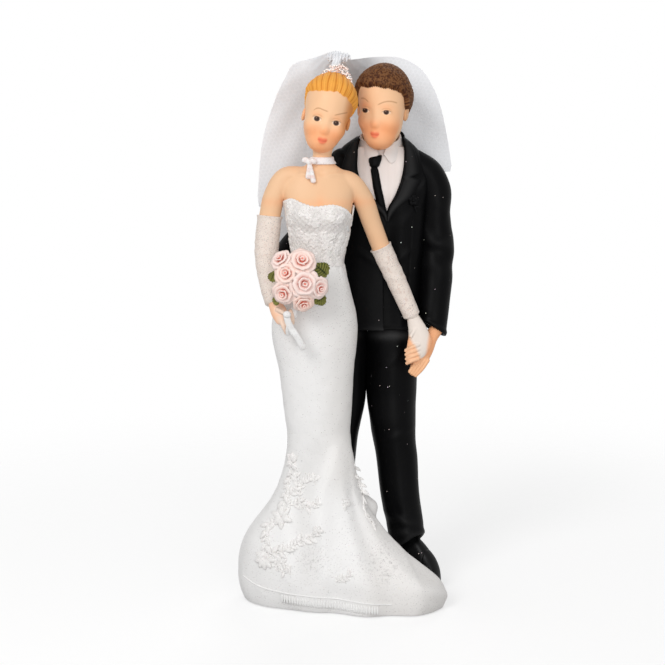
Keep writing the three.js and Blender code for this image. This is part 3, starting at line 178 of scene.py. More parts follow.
def route(points, count):
    """Evenly numbered points on a smooth path through the given ones."""
    points = np.asarray(points, float)
    knots = np.concatenate([[0], np.cumsum(np.linalg.norm(np.diff(points, axis=0), axis=1))])
    return through(knots, points, np.linspace(0, knots[-1], count))


def full_turn(count):
    """Angles once round, the first not said again at the end."""
    return np.linspace(0, TURN, count, endpoint=False)


def spokes(angles):
    """Level directions at these angles."""
    return np.stack([np.cos(angles), np.sin(angles), 0 * angles], axis=-1)


def ball_points(up, turn):
    """Points of a ball of radius one, from angles above its waist and round it."""
    return np.stack([np.cos(up) * np.cos(turn), np.cos(up) * np.sin(turn), np.sin(up) + 0 * turn], axis=-1)


def unit(vectors):
    return vectors / np.maximum(np.linalg.norm(vectors, axis=-1, keepdims=True), 1e-9)


def clouds(points, pitch, seed):
    """Smooth unevenness between -1 and 1, with about one swing for each pitch."""
    p = np.asarray(points, float) / pitch + seed * 17.31
    cell = np.floor(p).astype(np.int64)
    f = p - cell
    f = f * f * f * (f * (f * 6 - 15) + 10)
    total = np.zeros(p.shape[:-1])
    for corner in range(8):
        bits = np.array([corner & 1, corner >> 1 & 1, corner >> 2 & 1])
        at = cell + bits
        h = at[..., 0] * 73856093 ^ at[..., 1] * 19349663 ^ at[..., 2] * 83492791
        h = (h ^ h >> 13) * 1274126177
        h = (h ^ h >> 16) & 0xFFFF
        weight = np.prod(np.where(bits == 1, f, 1 - f), axis=-1)
        total += weight * (h / 32767.5 - 1)
    return total


def power(value, exponent):
    return np.sign(value) * np.abs(value) ** exponent


def section(stations, levels, angles, square=2.1, grow=0.0):
    """Points of a body of rounded oval sections. Stations: level, centre, half width and half depth."""
    stations = np.asarray(stations, float)
    levels, angles = np.broadcast_arrays(levels, angles)
    row = through(stations[:, 0], stations[:, 1:], levels)
    x = row[..., 0] + (row[..., 2] + grow) * power(np.cos(angles), 2 / square)
    y = row[..., 1] + (row[..., 3] + grow) * power(np.sin(angles), 2 / square)
    return np.stack([x, y, levels], axis=-1)


# Meshes


def normals_of(grid, closed=False):
    """Directions square to a grid of points."""
    if closed:
        across = np.roll(grid, -1, axis=1) - np.roll(grid, 1, axis=1)
    else:
        across = np.gradient(grid, axis=1)
    return unit(np.cross(across, np.gradient(grid, axis=0)))


def outward_first(verts, quads, tris):
    """Turns the faces round where they point into the shell."""
    corners = [quads[:, [0, 1, 2]], quads[:, [0, 2, 3]]]
    if len(tris):
        corners.append(tris)
    faces = np.concatenate(corners)
    a, b, c = (verts[faces[:, k]] for k in range(3))
    if np.einsum("ij,ij->", a, np.cross(b, c)) < 0:
        return verts, quads[:, ::-1], tris[:, ::-1]
    return verts, quads, tris


def skin(rings):
    """A closed shell over a row of rings, with a fan over each end."""
    rows, sides = rings.shape[:2]
    index = np.arange(rows * sides).reshape(rows, sides)
    after = np.roll(index, -1, axis=1)
    quads = np.stack([index[:-1], after[:-1], after[1:], index[1:]], axis=-1).reshape(-1, 4)
    ends = np.array([rings[0].mean(axis=0), rings[-1].mean(axis=0)])
    verts = np.concatenate([rings.reshape(-1, 3), ends])
    low, high = rows * sides, rows * sides + 1
    foot = np.stack([np.full(sides, low), after[0], index[0]], axis=-1)
    head = np.stack([np.full(sides, high), index[-1], after[-1]], axis=-1)
    return outward_first(verts, quads, np.concatenate([foot, head]))


def plate(grid, thickness):
    """A closed shell of even thickness behind a grid of points, whose normals point out of its face."""
    rows, columns = grid.shape[:2]
    back = grid - normals_of(grid) * thickness
    index = np.arange(rows * columns).reshape(rows, columns)
    shift = rows * columns
    front = np.stack([index[:-1, :-1], index[:-1, 1:], index[1:, 1:], index[1:, :-1]], axis=-1).reshape(-1, 4)
    rim = np.concatenate([index[0, :], index[1:, -1], index[-1, -2::-1], index[-2:0:-1, 0]])
    after = np.roll(rim, -1)
    side = np.stack([rim, rim + shift, after + shift, after], axis=-1)
    verts = np.concatenate([grid.reshape(-1, 3), back.reshape(-1, 3)])
    quads = np.concatenate([front, front[:, ::-1] + shift, side])
    return outward_first(verts, quads, np.zeros((0, 3), int))


def flat_sheet(grid):
    rows, columns = grid.shape[:2]
    index = np.arange(rows * columns).reshape(rows, columns)
    quads = np.stack([index[:-1, :-1], index[:-1, 1:], index[1:, 1:], index[1:, :-1]], axis=-1).reshape(-1, 4)
    return grid.reshape(-1, 3), quads, np.zeros((0, 3), int)


def tube(points, halves, steps, sides, front=(0, 1, 0), domes=(0.9, 0.9)):
    """Rings square to a smooth path, with round ends. Halves: half width and half depth at each point."""
    points = np.asarray(points, float)
    halves = np.asarray(halves, float)
    if halves.ndim == 1:
        halves = np.stack([halves, halves], axis=-1)
    run = route(np.concatenate([points, halves], axis=1), steps)
    centre, half = run[:, :3], run[:, 3:]
    tangent = unit(np.gradient(centre, axis=0))
    front = np.asarray(front, float)
    deep = unit(front - (tangent @ front)[:, None] * tangent)
    wide = np.cross(deep, tangent)
    angle = full_turn(sides)

    def ring(i, shift, share):
        middle = centre[i] + tangent[i] * shift
        out = np.cos(angle)[:, None] * wide[i] * half[i, 0] + np.sin(angle)[:, None] * deep[i] * half[i, 1]
        return middle + out * share

    bends = np.radians([18, 38, 56, 72, 84])
    reach = half.mean(axis=1)
    start, end = [], []
    if domes[0]:
        start = [ring(0, -domes[0] * reach[0] * math.sin(b), math.cos(b)) for b in bends[::-1]]
    if domes[1]:
        end = [ring(-1, domes[1] * reach[-1] * math.sin(b), math.cos(b)) for b in bends]
    return np.array(start + [ring(i, 0, 1) for i in range(steps)] + end)


def blob_shell(centre, halves, detail=24):
    """A closed oval ball."""
    up = np.linspace(-math.pi / 2, math.pi / 2, detail + 1)[1:-1, None]
    turn = full_turn(2 * detail)[None]
    ball = ball_points(up, turn)
    return skin(ball * np.asarray(halves) + np.asarray(centre))


def make_object(name, shells):
    """One mesh object from shells of points, four-sided and three-sided faces, in millimetres."""
    verts, loops, starts = [], [], []
    shift, corner = 0, 0
    for points, quads, tris in shells:
        verts.append(points)
        for faces, sides in ((quads, 4), (tris, 3)):
            if len(faces):
                loops.append((faces + shift).ravel())
                starts.append(corner + np.arange(len(faces)) * sides)
                corner += len(faces) * sides
        shift += len(points)
    verts, loops, starts = np.concatenate(verts), np.concatenate(loops), np.concatenate(starts)
    mesh = bpy.data.meshes.new(name)
    mesh.vertices.add(len(verts))
    mesh.vertices.foreach_set("co", (verts * MM).astype(np.float32).ravel())
    mesh.loops.add(len(loops))
    mesh.loops.foreach_set("vertex_index", loops.astype(np.int32))
    mesh.polygons.add(len(starts))
    mesh.polygons.foreach_set("loop_start", starts.astype(np.int32))
    mesh.update(calc_edges=True)
    mesh.shade_smooth()
    made = bpy.data.objects.new(name, mesh)
    bpy.context.scene.collection.objects.link(made)
    return made


def plain_copy(made, name):
    """The evaluated shape of an object as a plain mesh under a new object, in place of the old one."""
    graph = bpy.context.evaluated_depsgraph_get()
    mesh = bpy.data.meshes.new_from_object(made.evaluated_get(graph))
    mesh.name = name
    done = bpy.data.objects.new(name, mesh)
    bpy.context.scene.collection.objects.link(done)
    return done


def drop(made):
    mesh = made.data
    bpy.data.objects.remove(made)
    if mesh is not None and mesh.users == 0:
        bpy.data.meshes.remove(mesh)


def fused(name, shells, voxel, relax):
    """Overlapping shells melted into one skin, as a sculptor's wax is."""
    rough = make_object(name + "_rough", shells)
    melt_step = rough.modifiers.new("Melt", "REMESH")
    melt_step.mode = "VOXEL"
    melt_step.voxel_size = voxel * MM
    soften = rough.modifiers.new("Soften", "SMOOTH")
    soften.factor = 0.5
    soften.iterations = relax
    done = plain_copy(rough, name)
    drop(rough)
    done.data.shade_smooth()
    return done


def points_of(made):
    out = np.empty(len(made.data.vertices) * 3, np.float32)
    made.data.vertices.foreach_get("co", out)
    return out.reshape(-1, 3).astype(float) / MM


def facing_of(made):
    out = np.empty(len(made.data.vertices) * 3, np.float32)
    made.data.vertices.foreach_get("normal", out)
    return out.reshape(-1, 3).astype(float)


def set_points(made, points):
    made.data.vertices.foreach_set("co", (points * MM).astype(np.float32).ravel())
    made.data.update()


def colour_in(made, colours):
    """Brush colours, one for each point."""
    colours = np.broadcast_to(np.asarray(colours, float), (len(made.data.vertices), 3))
    rgba = np.concatenate([np.clip(colours, 0, 1), np.ones((len(colours), 1))], axis=1)
    layer = made.data.attributes.get("paint") or made.data.attributes.new("paint", "FLOAT_COLOR", "POINT")
    layer.data.foreach_set("color", rgba.astype(np.float32).ravel())


def mark(made, name, values):
    layer = made.data.attributes.get(name) or made.data.attributes.new(name, "FLOAT", "POINT")
    layer.data.foreach_set("value", np.broadcast_to(values, len(made.data.vertices)).astype(np.float32))


def mark_vectors(made, name, values):
    layer = made.data.attributes.new(name, "FLOAT_VECTOR", "POINT")
    layer.data.foreach_set("vector", np.asarray(values, np.float32).ravel())


def painted(node):
    """Name of the piece that stands for a CAD node."""
    return node + "_painted"


def dress(made, finish, nodes, body="figures"):
    """Gives a piece its finish, its name and its place in the frame."""
    if nodes:
        made.name = made.data.name = painted(nodes[0])
    made.data.materials.clear()
    made.data.materials.append(finish)
    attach(made, body)
    if nodes:
        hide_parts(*nodes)
    return made


# Finishes


def fill_in(tree, node, inputs):
    """Sets a node's inputs to values, or links them from other sockets."""
    for key, value in inputs.items():
        socket = node.inputs[key]
        if isinstance(value, bpy.types.NodeSocket):
            tree.links.new(value, socket)
        else:
            socket.default_value = value


def add(tree, kind, inputs=None, **settings):
    """A node with its settings and inputs."""
    made = tree.nodes.new(kind)
    for key, value in settings.items():
        setattr(made, key, value)
    fill_in(tree, made, inputs or {})
    return made


def calc(tree, operation, *values):
    """What a math node makes of values or sockets."""
    return add(tree, "ShaderNodeMath", dict(enumerate(values)), operation=operation).outputs[0]


def vector(tree, operation, *values, out=0):
    """What a vector math node makes of values or sockets."""
    return add(tree, "ShaderNodeVectorMath", dict(enumerate(values)), operation=operation).outputs[out]


def noise(tree, place, scale, detail):
    return add(tree, "ShaderNodeTexNoise", {"Vector": place, "Scale": scale, "Detail": detail}).outputs[0]


def blend(tree, share, first, second):
    """From one colour to another."""
    return add(tree, "ShaderNodeMix", {0: share, 6: first, 7: second}, data_type="RGBA").outputs[2]


def grouped(tree, name, **inputs):
    """What one of the shader groups below gives for its inputs."""
    return add(tree, "ShaderNodeGroup", inputs, node_tree=group_tree(name)).outputs


def new_finish(name):
    """A bare material, with its tree and its shader."""
    made = bpy.data.materials.new(name)
    made.use_nodes = True
    return made, made.node_tree, made.node_tree.nodes["Principled BSDF"]


def new_group(name, kind, inputs, outputs):
    """A node group. Inputs: label, kind of socket and value. Outputs: label and kind of socket."""
    tree = bpy.data.node_groups.new(name, kind)
    for label, socket_kind, value in inputs:
        socket = tree.interface.new_socket(label, in_out="INPUT", socket_type="NodeSocket" + socket_kind)
        if value is not None:
            socket.default_value = value
    for label, socket_kind in outputs:
        tree.interface.new_socket(label, in_out="OUTPUT", socket_type="NodeSocket" + socket_kind)
    return tree, tree.nodes.new("NodeGroupInput").outputs, tree.nodes.new("NodeGroupOutput").inputs


def brushwork_group():
    """Paint that went on by hand: a little thicker here and thinner there."""
    tree, given, result = new_group(
        "Brushwork",
        "ShaderNodeTree",
        [
            ("Vector", "Vector", None),
            ("Color", "Color", None),
            ("Mottle", "Float", 0.05),
            ("Pitch", "Float", 400.0),
        ],
        [("Color", "Color"), ("Streak", "Float")],
    )
    place, pitch = given["Vector"], given["Pitch"]
    fine = noise(tree, place, pitch, 4.0)
    broad = noise(tree, place, calc(tree, "MULTIPLY", pitch, 0.23), 2.0)
    swing = calc(tree, "SUBTRACT", calc(tree, "ADD", fine, broad), 1.0)
    gain = calc(tree, "MULTIPLY_ADD", swing, given["Mottle"], 1.0)
    tint = add(tree, "ShaderNodeVectorMath", {0: given["Color"], "Scale": gain}, operation="SCALE")
    tree.links.new(tint.outputs[0], result["Color"])
    tree.links.new(fine, result["Streak"])
    return tree


def grain_group():
    """The casting's own surface: fine grain with shallow pits."""
    tree, given, result = new_group(
        "Casting Grain",
        "ShaderNodeTree",
        [("Vector", "Vector", None), ("Pitch", "Float", 2500.0)],
        [("Height", "Float")],
    )
    place, pitch = given["Vector"], given["Pitch"]
    wide = calc(tree, "MULTIPLY", pitch, 0.31)
    pits = add(tree, "ShaderNodeTexVoronoi", {"Vector": place, "Scale": wide}, feature="SMOOTH_F1")
    shallow = calc(tree, "MINIMUM", pits.outputs["Distance"], 0.6)
    tree.links.new(calc(tree, "ADD", noise(tree, place, pitch, 3.0), shallow), result["Height"])
    return tree


def glitter_group():
    """Loose glitter in the varnish: small flecks of many hues."""
    tree, given, result = new_group(
        "Glitter",
        "ShaderNodeTree",
        [("Vector", "Vector", None), ("Pitch", "Float", 1800.0), ("Share", "Float", 0.2)],
        [("Mask", "Float"), ("Color", "Color")],
    )
    cells = add(tree, "ShaderNodeTexVoronoi", {"Vector": given["Vector"], "Scale": given["Pitch"]}).outputs
    parts = add(tree, "ShaderNodeSeparateColor", {"Color": cells["Color"]}).outputs
    near = calc(tree, "LESS_THAN", cells["Distance"], 0.3)
    kept = calc(tree, "LESS_THAN", parts[0], given["Share"])
    hue = add(tree, "ShaderNodeCombineColor", {0: parts[1], 1: 0.3, 2: parts[2]}, mode="HSV").outputs[0]
    tree.links.new(calc(tree, "MULTIPLY", near, kept), result["Mask"])
    tree.links.new(blend(tree, 0.45, hue, (0.86, 0.74, 0.7, 1.0)), result["Color"])
    return tree


def net_group():
    """Hexagon mesh of a bobbin net, 1 on the threads and 0 in the cells. One cell is one unit wide."""
    tree, given, result = new_group(
        "Hexagon Net",
        "ShaderNodeTree",
        [("Vector", "Vector", None), ("Thread", "Float", 0.16)],
        [("Mask", "Float")],
    )
    half = (0.5, 0.8660254, 1.0)
    less = tuple(-v for v in half)
    moved = vector(tree, "SUBTRACT", given["Vector"], half)
    flat = [
        vector(tree, "MULTIPLY", vector(tree, "WRAP", place, half, less), (1, 1, 0))
        for place in (given["Vector"], moved)
    ]
    nearer = calc(tree, "LESS_THAN", *[vector(tree, "LENGTH", place, out="Value") for place in flat])
    cell = add(tree, "ShaderNodeMix", {0: nearer, 4: flat[1], 5: flat[0]}, data_type="VECTOR").outputs[1]
    corner = vector(tree, "ABSOLUTE", cell)
    slant = vector(tree, "DOT_PRODUCT", corner, half[:2] + (0.0,), out="Value")
    edge = calc(tree, "MAXIMUM", slant, add(tree, "ShaderNodeSeparateXYZ", {0: corner}).outputs[0])
    inner = calc(tree, "SUBTRACT", 0.5, given["Thread"])
    rim = calc(tree, "SUBTRACT", inner, 0.06)
    mask = add(tree, "ShaderNodeMapRange", {0: edge, 1: rim, 2: inner, 3: 0.0, 4: 1.0})
    tree.links.new(mask.outputs[0], result["Mask"])
    return tree


def group_tree(name):
    makers = {
        "Brushwork": brushwork_group,
        "Casting Grain": grain_group,
        "Glitter": glitter_group,
        "Hexagon Net": net_group,
        "Set Out": set_out_tree,
        "Scatter": scatter_tree,
        "Piping": piping_tree,
    }
    return bpy.data.node_groups.get(name) or makers[name]()


# Roughness, gloss, unevenness of the paint, its pitch, bump, coat, metal, share of flecks and their pitch
FINISHES = {
    "skin": (0.5, 0.25, 0.04, 2.6, 0.10, 0.05, 0.0, 0.0, 0.5),
    "hair": (0.55, 0.15, 0.12, 1.4, 0.25, 0.0, 0.0, 0.0, 0.5),
    "gown": (0.55, 0.25, 0.025, 3.0, 0.30, 0.0, 0.0, 0.02, 0.3),
    "lace": (0.5, 0.3, 0.05, 1.2, 0.45, 0.05, 0.0, 0.3, 0.26),
    "glove": (0.55, 0.25, 0.05, 1.6, 0.40, 0.0, 0.0, 0.16, 0.3),
    "ribbon": (0.5, 0.25, 0.05, 1.6, 0.25, 0.0, 0.0, 0.05, 0.3),
    "rose": (0.55, 0.2, 0.06, 1.2, 0.20, 0.0, 0.0, 0.0, 0.5),
    "leaf": (0.5, 0.15, 0.16, 0.9, 0.30, 0.0, 0.0, 0.0, 0.5),
    "suit": (0.42, 0.05, 0.16, 3.0, 0.14, 0.0, 0.0, 0.003, 0.4),
    "shoe": (0.4, 0.12, 0.2, 2.0, 0.20, 0.03, 0.0, 0.006, 0.4),
    "shirt": (0.6, 0.15, 0.04, 1.8, 0.25, 0.0, 0.0, 0.0, 0.5),
    "jewel": (0.25, 0.5, 0.10, 0.7, 0.10, 0.3, 0.2, 0.35, 0.2),
}


def finish_of(name):
    """A painted finish: the piece's own brush colours, uneven over the grain of the casting."""
    known = bpy.data.materials.get("topper_" + name)
    if known:
        return known
    roughness, specular, mottle, pitch, bump, coat, metal, share, fleck = FINISHES[name]
    made, tree, shader = new_finish("topper_" + name)
    place = add(tree, "ShaderNodeTexCoord").outputs["Object"]
    brush = add(tree, "ShaderNodeAttribute", attribute_name="paint").outputs["Color"]
    work = grouped(tree, "Brushwork", Vector=place, Color=brush, Mottle=mottle, Pitch=1 / (pitch * MM))
    colour = work["Color"]
    gloss = calc(tree, "MULTIPLY_ADD", work["Streak"], 0.16, roughness - 0.08)
    if share:
        flecks = grouped(tree, "Glitter", Vector=place, Pitch=1 / (fleck * MM), Share=share)
        colour = blend(tree, flecks["Mask"], colour, flecks["Color"])
        gloss = calc(tree, "MULTIPLY_ADD", flecks["Mask"], -0.22, gloss)
    grain = grouped(tree, "Casting Grain", Vector=place)["Height"]
    bumped = add(tree, "ShaderNodeBump", {"Strength": bump, "Distance": 0.00012, "Height": grain})
    inputs = {
        "Base Color": colour,
        "Roughness": gloss,
        "Normal": bumped.outputs[0],
        "Coat Weight": coat,
        "Coat Roughness": 0.25,
        "Metallic": metal,
        "Specular IOR Level": specular,
    }
    fill_in(tree, shader, inputs)
    return made


def flake_finish():
    """Loose glitter flakes: bright foil whose hue changes from flake to flake."""
    known = bpy.data.materials.get("topper_flake")
    if known:
        return known
    made, tree, shader = new_finish("topper_flake")
    place = add(tree, "ShaderNodeTexCoord").outputs["Object"]
    flecks = grouped(tree, "Glitter", Vector=place, Pitch=1 / (1.3 * MM), Share=1.0)
    rough = calc(tree, "MULTIPLY_ADD", noise(tree, place, 900.0, 2.0), 0.3, 0.05)
    fill_in(tree, shader, {"Base Color": flecks["Color"], "Metallic": 0.6, "Roughness": rough})
    return made


def tulle_finish(context):
    """Hexagon net on the cloth's own map, see-through in its cells."""
    made, tree, shader = new_finish("topper_tulle")
    cloth = add(tree, "ShaderNodeUVMap", uv_map="cloth").outputs[0]
    cells = 1 / size_mm(context, "net_pitch")
    count = add(tree, "ShaderNodeMapping", {"Vector": cloth, "Scale": (cells, cells, 1)}).outputs[0]
    net = grouped(tree, "Hexagon Net", Vector=count, Thread=0.13)["Mask"]
    brush = add(tree, "ShaderNodeAttribute", attribute_name="paint").outputs["Color"]
    dense = add(tree, "ShaderNodeAttribute", attribute_name="dense").outputs["Fac"]
    place = add(tree, "ShaderNodeTexCoord").outputs["Object"]
    work = grouped(tree, "Brushwork", Vector=place, Color=brush, Mottle=0.06, Pitch=600.0)
    cover = add(tree, "ShaderNodeMapRange", {0: net, 1: 0.0, 2: 1.0, 3: dense, 4: 0.95}).outputs[0]
    bumped = add(tree, "ShaderNodeBump", {"Strength": 0.15, "Distance": 0.0001, "Height": net}).outputs[0]
    fill_in(tree, shader, {"Base Color": work["Color"], "Alpha": cover, "Normal": bumped, "Roughness": 0.75})
    return made


# Geometry Nodes


def close_tree(tree, given, result, shape):
    """Makes copies real, gives them their finish and hands them on."""
    real = add(tree, "GeometryNodeRealizeInstances", {0: shape}).outputs[0]
    done = add(tree, "GeometryNodeSetMaterial", {"Geometry": real, "Material": given["Finish"]})
    tree.links.new(done.outputs[0], result["Geometry"])
    return tree


def set_out_tree():
    """Copies of one shape on the points of a mesh, turned and sized by the points' own attributes."""
    tree, given, result = new_group(
        "Set Out",
        "GeometryNodeTree",
        [("Geometry", "Geometry", None), ("Shape", "Object", None), ("Finish", "Material", None)],
        [("Geometry", "Geometry")],
    )
    turn = add(tree, "GeometryNodeInputNamedAttribute", {"Name": "turn"}, data_type="FLOAT_VECTOR")
    size = add(tree, "GeometryNodeInputNamedAttribute", {"Name": "size"}, data_type="FLOAT_VECTOR")
    spin = add(tree, "FunctionNodeEulerToRotation", {0: turn.outputs[0]})
    shape = add(tree, "GeometryNodeObjectInfo", {"Object": given["Shape"]})
    copies = {
        "Points": given["Geometry"],
        "Instance": shape.outputs["Geometry"],
        "Rotation": spin.outputs[0],
        "Scale": size.outputs[0],
    }
    return close_tree(tree, given, result, add(tree, "GeometryNodeInstanceOnPoints", copies).outputs[0])


def scatter_tree():
    """Small flakes strewn over a surface, denser where its sparkle attribute is higher."""
    tree, given, result = new_group(
        "Scatter",
        "GeometryNodeTree",
        [
            ("Geometry", "Geometry", None),
            ("Density", "Float", 1.0),
            ("Flake", "Float", 0.0001),
            ("Seed", "Int", 1),
            ("Finish", "Material", None),
        ],
        [("Geometry", "Geometry")],
    )
    sparkle = add(tree, "GeometryNodeInputNamedAttribute", {"Name": "sparkle"}, data_type="FLOAT")
    amount = calc(tree, "MULTIPLY", sparkle.outputs[0], given["Density"])
    strewn = add(
        tree,
        "GeometryNodeDistributePointsOnFaces",
        {"Mesh": given["Geometry"], "Density": amount, "Seed": given["Seed"]},
        distribute_method="RANDOM",
    )
    flake = add(tree, "GeometryNodeMeshUVSphere", {"Segments": 4, "Rings": 2, "Radius": given["Flake"]})
    size = add(
        tree,
        "FunctionNodeRandomValue",
        {0: (0.6, 0.6, 0.3), 1: (1.5, 1.3, 0.5), "Seed": given["Seed"]},
        data_type="FLOAT_VECTOR",
    )
    copies = {
        "Points": strewn.outputs["Points"],
        "Instance": flake.outputs["Mesh"],
        "Rotation": strewn.outputs["Rotation"],
        "Scale": size.outputs[0],
    }
    return close_tree(tree, given, result, add(tree, "GeometryNodeInstanceOnPoints", copies).outputs[0])


def grow_nodes(made, tree, name, **inputs):
    """Runs a tree on an object and keeps its result as a plain mesh."""
    step = made.modifiers.new(tree.name, "NODES")
    step.node_group = tree
    for item in tree.interface.items_tree:
        if item.in_out == "INPUT" and item.name in inputs:
            step[item.identifier] = inputs[item.name]
    done = plain_copy(made, name)
    bpy.data.objects.remove(made)
    return done


def set_out(name, shape, places, turns, sizes, finish):
    """Copies of a shape at places in millimetres, with turns as Euler angles. The shape itself is dropped."""
    places = np.asarray(places, float)
    mesh = bpy.data.meshes.new(name + "_spots")
    mesh.from_pydata((places * MM).tolist(), [], [])
    spots = bpy.data.objects.new(name + "_spots", mesh)
    bpy.context.scene.collection.objects.link(spots)
    mark_vectors(spots, "turn", turns)
    sizes = np.asarray(sizes, float)
    if sizes.ndim == 1:
        sizes = np.repeat(sizes[:, None], 3, axis=1)
    mark_vectors(spots, "size", sizes)
    done = grow_nodes(spots, group_tree("Set Out"), name, Shape=shape, Finish=finish)
    drop(shape)
    return done


def turn_to(outward, up):
    """Euler angles that point a shape's +Z outward and its +Y as near to up as that allows."""
    z = Vector(outward).normalized()
    y = Vector(up) - z * Vector(up).dot(z)
    y = y.normalized() if y.length > 1e-6 else z.orthogonal().normalized()
    return tuple(Matrix((y.cross(z), y, z)).transposed().to_euler("XYZ"))


# Bride's figure and gown

# Level, centre x, centre y, half width, half depth
BODY = np.array(
    [
        [45, -7, -5.4, 8.1, 6.6],
        [59.8, -7.55, -5.4, 9.4, 7.1],
        [73.5, -8, -5.4, 10.7, 7.6],
        [81.5, -7.4, -5.7, 8.3, 6.3],
        [90, -7.1, -6.1, 6.4, 5.2],
        [95.5, -6.9, -6.4, 7.3, 5.9],
        [100.5, -6.85, -6.7, 8.0, 6.4],
        [104, -6.9, -6, 8.6, 5.4],
        [107.5, -7.1, -5.4, 8.9, 4.4],
        [110.4, -6.8, -5.2, 6.8, 3.6],
        [112.5, -6.4, -5.3, 3.5, 3.0],
        [119, -5.6, -5.1, 3.2, 3.0],
        [122, -5.2, -5.0, 2.9, 2.8],
    ]
)
KNEE = 45
BRIDE = np.array([-7.0, -6.0])
# The hem's outline round the bride's own middle
HEM = np.array(
    [
        [18.5, -13.6], [26, -13.5], [31, -8.5], [32.2, -4], [27, 2], [20, 8], [13, 13], [3, 16],
        [-8, 15.5], [-16.5, 11], [-20.4, 2], [-17, -4.5], [-10.5, -8.5], [-1, -11.5], [4.5, -11.7],
        [12, -14.6],
    ]
)
# Arms and gloves from the shoulder down: place and half width
RIGHT_ARM = [
    (-15.1, -5.2, 109.3, 2.5),
    (-18.0, -5.1, 104.6, 2.75),
    (-19.2, -5.1, 99.6, 2.7),
    (-20.0, -5.8, 91, 2.65),
    (-19.3, -9.4, 84.7, 2.43),
    (-18, -14, 79.1, 1.94),
]
LEFT_ARM = [
    (0.8, -5.2, 108.3, 2.35),
    (3.9, -4, 104.1, 2.6),
    (6.4, -2.2, 97.5, 2.45),
    (8.7, -0.8, 91.4, 2.35),
    (12.6, -0.1, 83, 2.15),
    (16.7, -0.4, 73.8, 1.8),
]
BUST = ((-10.3, 100.4), (-2.7, 100.4))


def bust_lift(x, z):
    """How far the two soft forms of the bust stand proud of the plain body."""
    return sum(1.3 * swell(x, at_x, 3.1) * swell(z, at_z, 3.4) for at_x, at_z in BUST)


def hem_reach(angles):
    """Distance from the bride's middle to the hem in each direction."""
    wrapped = np.concatenate([HEM[-3:], HEM, HEM[:4]])
    fine = through(np.arange(len(wrapped)), wrapped, np.linspace(3, 3 + len(HEM), 1440, endpoint=False))
    turn = np.arctan2(fine[:, 1], fine[:, 0])
    order = np.argsort(turn)
    return np.interp(angles, turn[order], np.hypot(fine[order, 0], fine[order, 1]), period=TURN)


def gown_points(levels, angles):
    """The gown below the waist: close to the body down to the knee, then flared to the hem."""
    levels, angles = np.broadcast_arrays(levels, angles)
    close = section(BODY, np.maximum(levels, KNEE), angles, square=2.0)
    across = np.cos(angles)
    left = ramp(-0.4, -1.0, across)
    right = ramp(0.4, 1.0, across)
    landing = 8.5 - np.where(across < 0, 5.4, 1.35) * across + 3.2 * left
    fall = np.maximum((KNEE - levels) / (KNEE - landing), 0)
    corner = 0.03 + 0.07 * left
    fall = fall - corner * np.log1p(np.exp((fall - 1) / corner))
    spread = np.clip(fall, 0, 1) ** (1.8 + 0.7 * left + 0.8 * right)
    reach = hem_reach(angles)
    foot = np.stack([BRIDE[0] + reach * np.cos(angles), BRIDE[1] + reach * np.sin(angles), levels], axis=-1)
    out = mixed(close, foot, spread[..., None])
    out[..., 2] = levels
    return out, spread


def rosette(u, v, size, petals, spin):
    """Height of one cast flower on a flat patch, 0 to 1."""
    far = np.hypot(u, v) / size
    turn = np.arctan2(v, u) + spin
    edge = 0.7 + 0.3 * np.abs(np.cos(petals * turn / 2))
    cup = ramp(edge, edge - 0.35, far) * (0.55 + 0.45 * ramp(0, 0.5, far))
    return np.maximum(cup, 0.9 * ramp(0.24, 0.08, far))


def lace_height(across, z, top, foot, seed, count):
    """Cast lace between two levels: flowers set close together over a fine net."""
    rng = np.random.default_rng(seed)
    height = 0.25 + 0.25 * np.cos(across * 4.2) * np.cos(z * 4.2)
    span = across.max() - across.min()
    for _ in range(count):
        at_u = across.min() + span * rng.random()
        at_z = foot + (top - foot) * rng.random()
        size = 0.9 + 0.9 * rng.random()
        height = np.maximum(height, rosette(across - at_u, z - at_z, size, 5, rng.random() * 6))
    return height


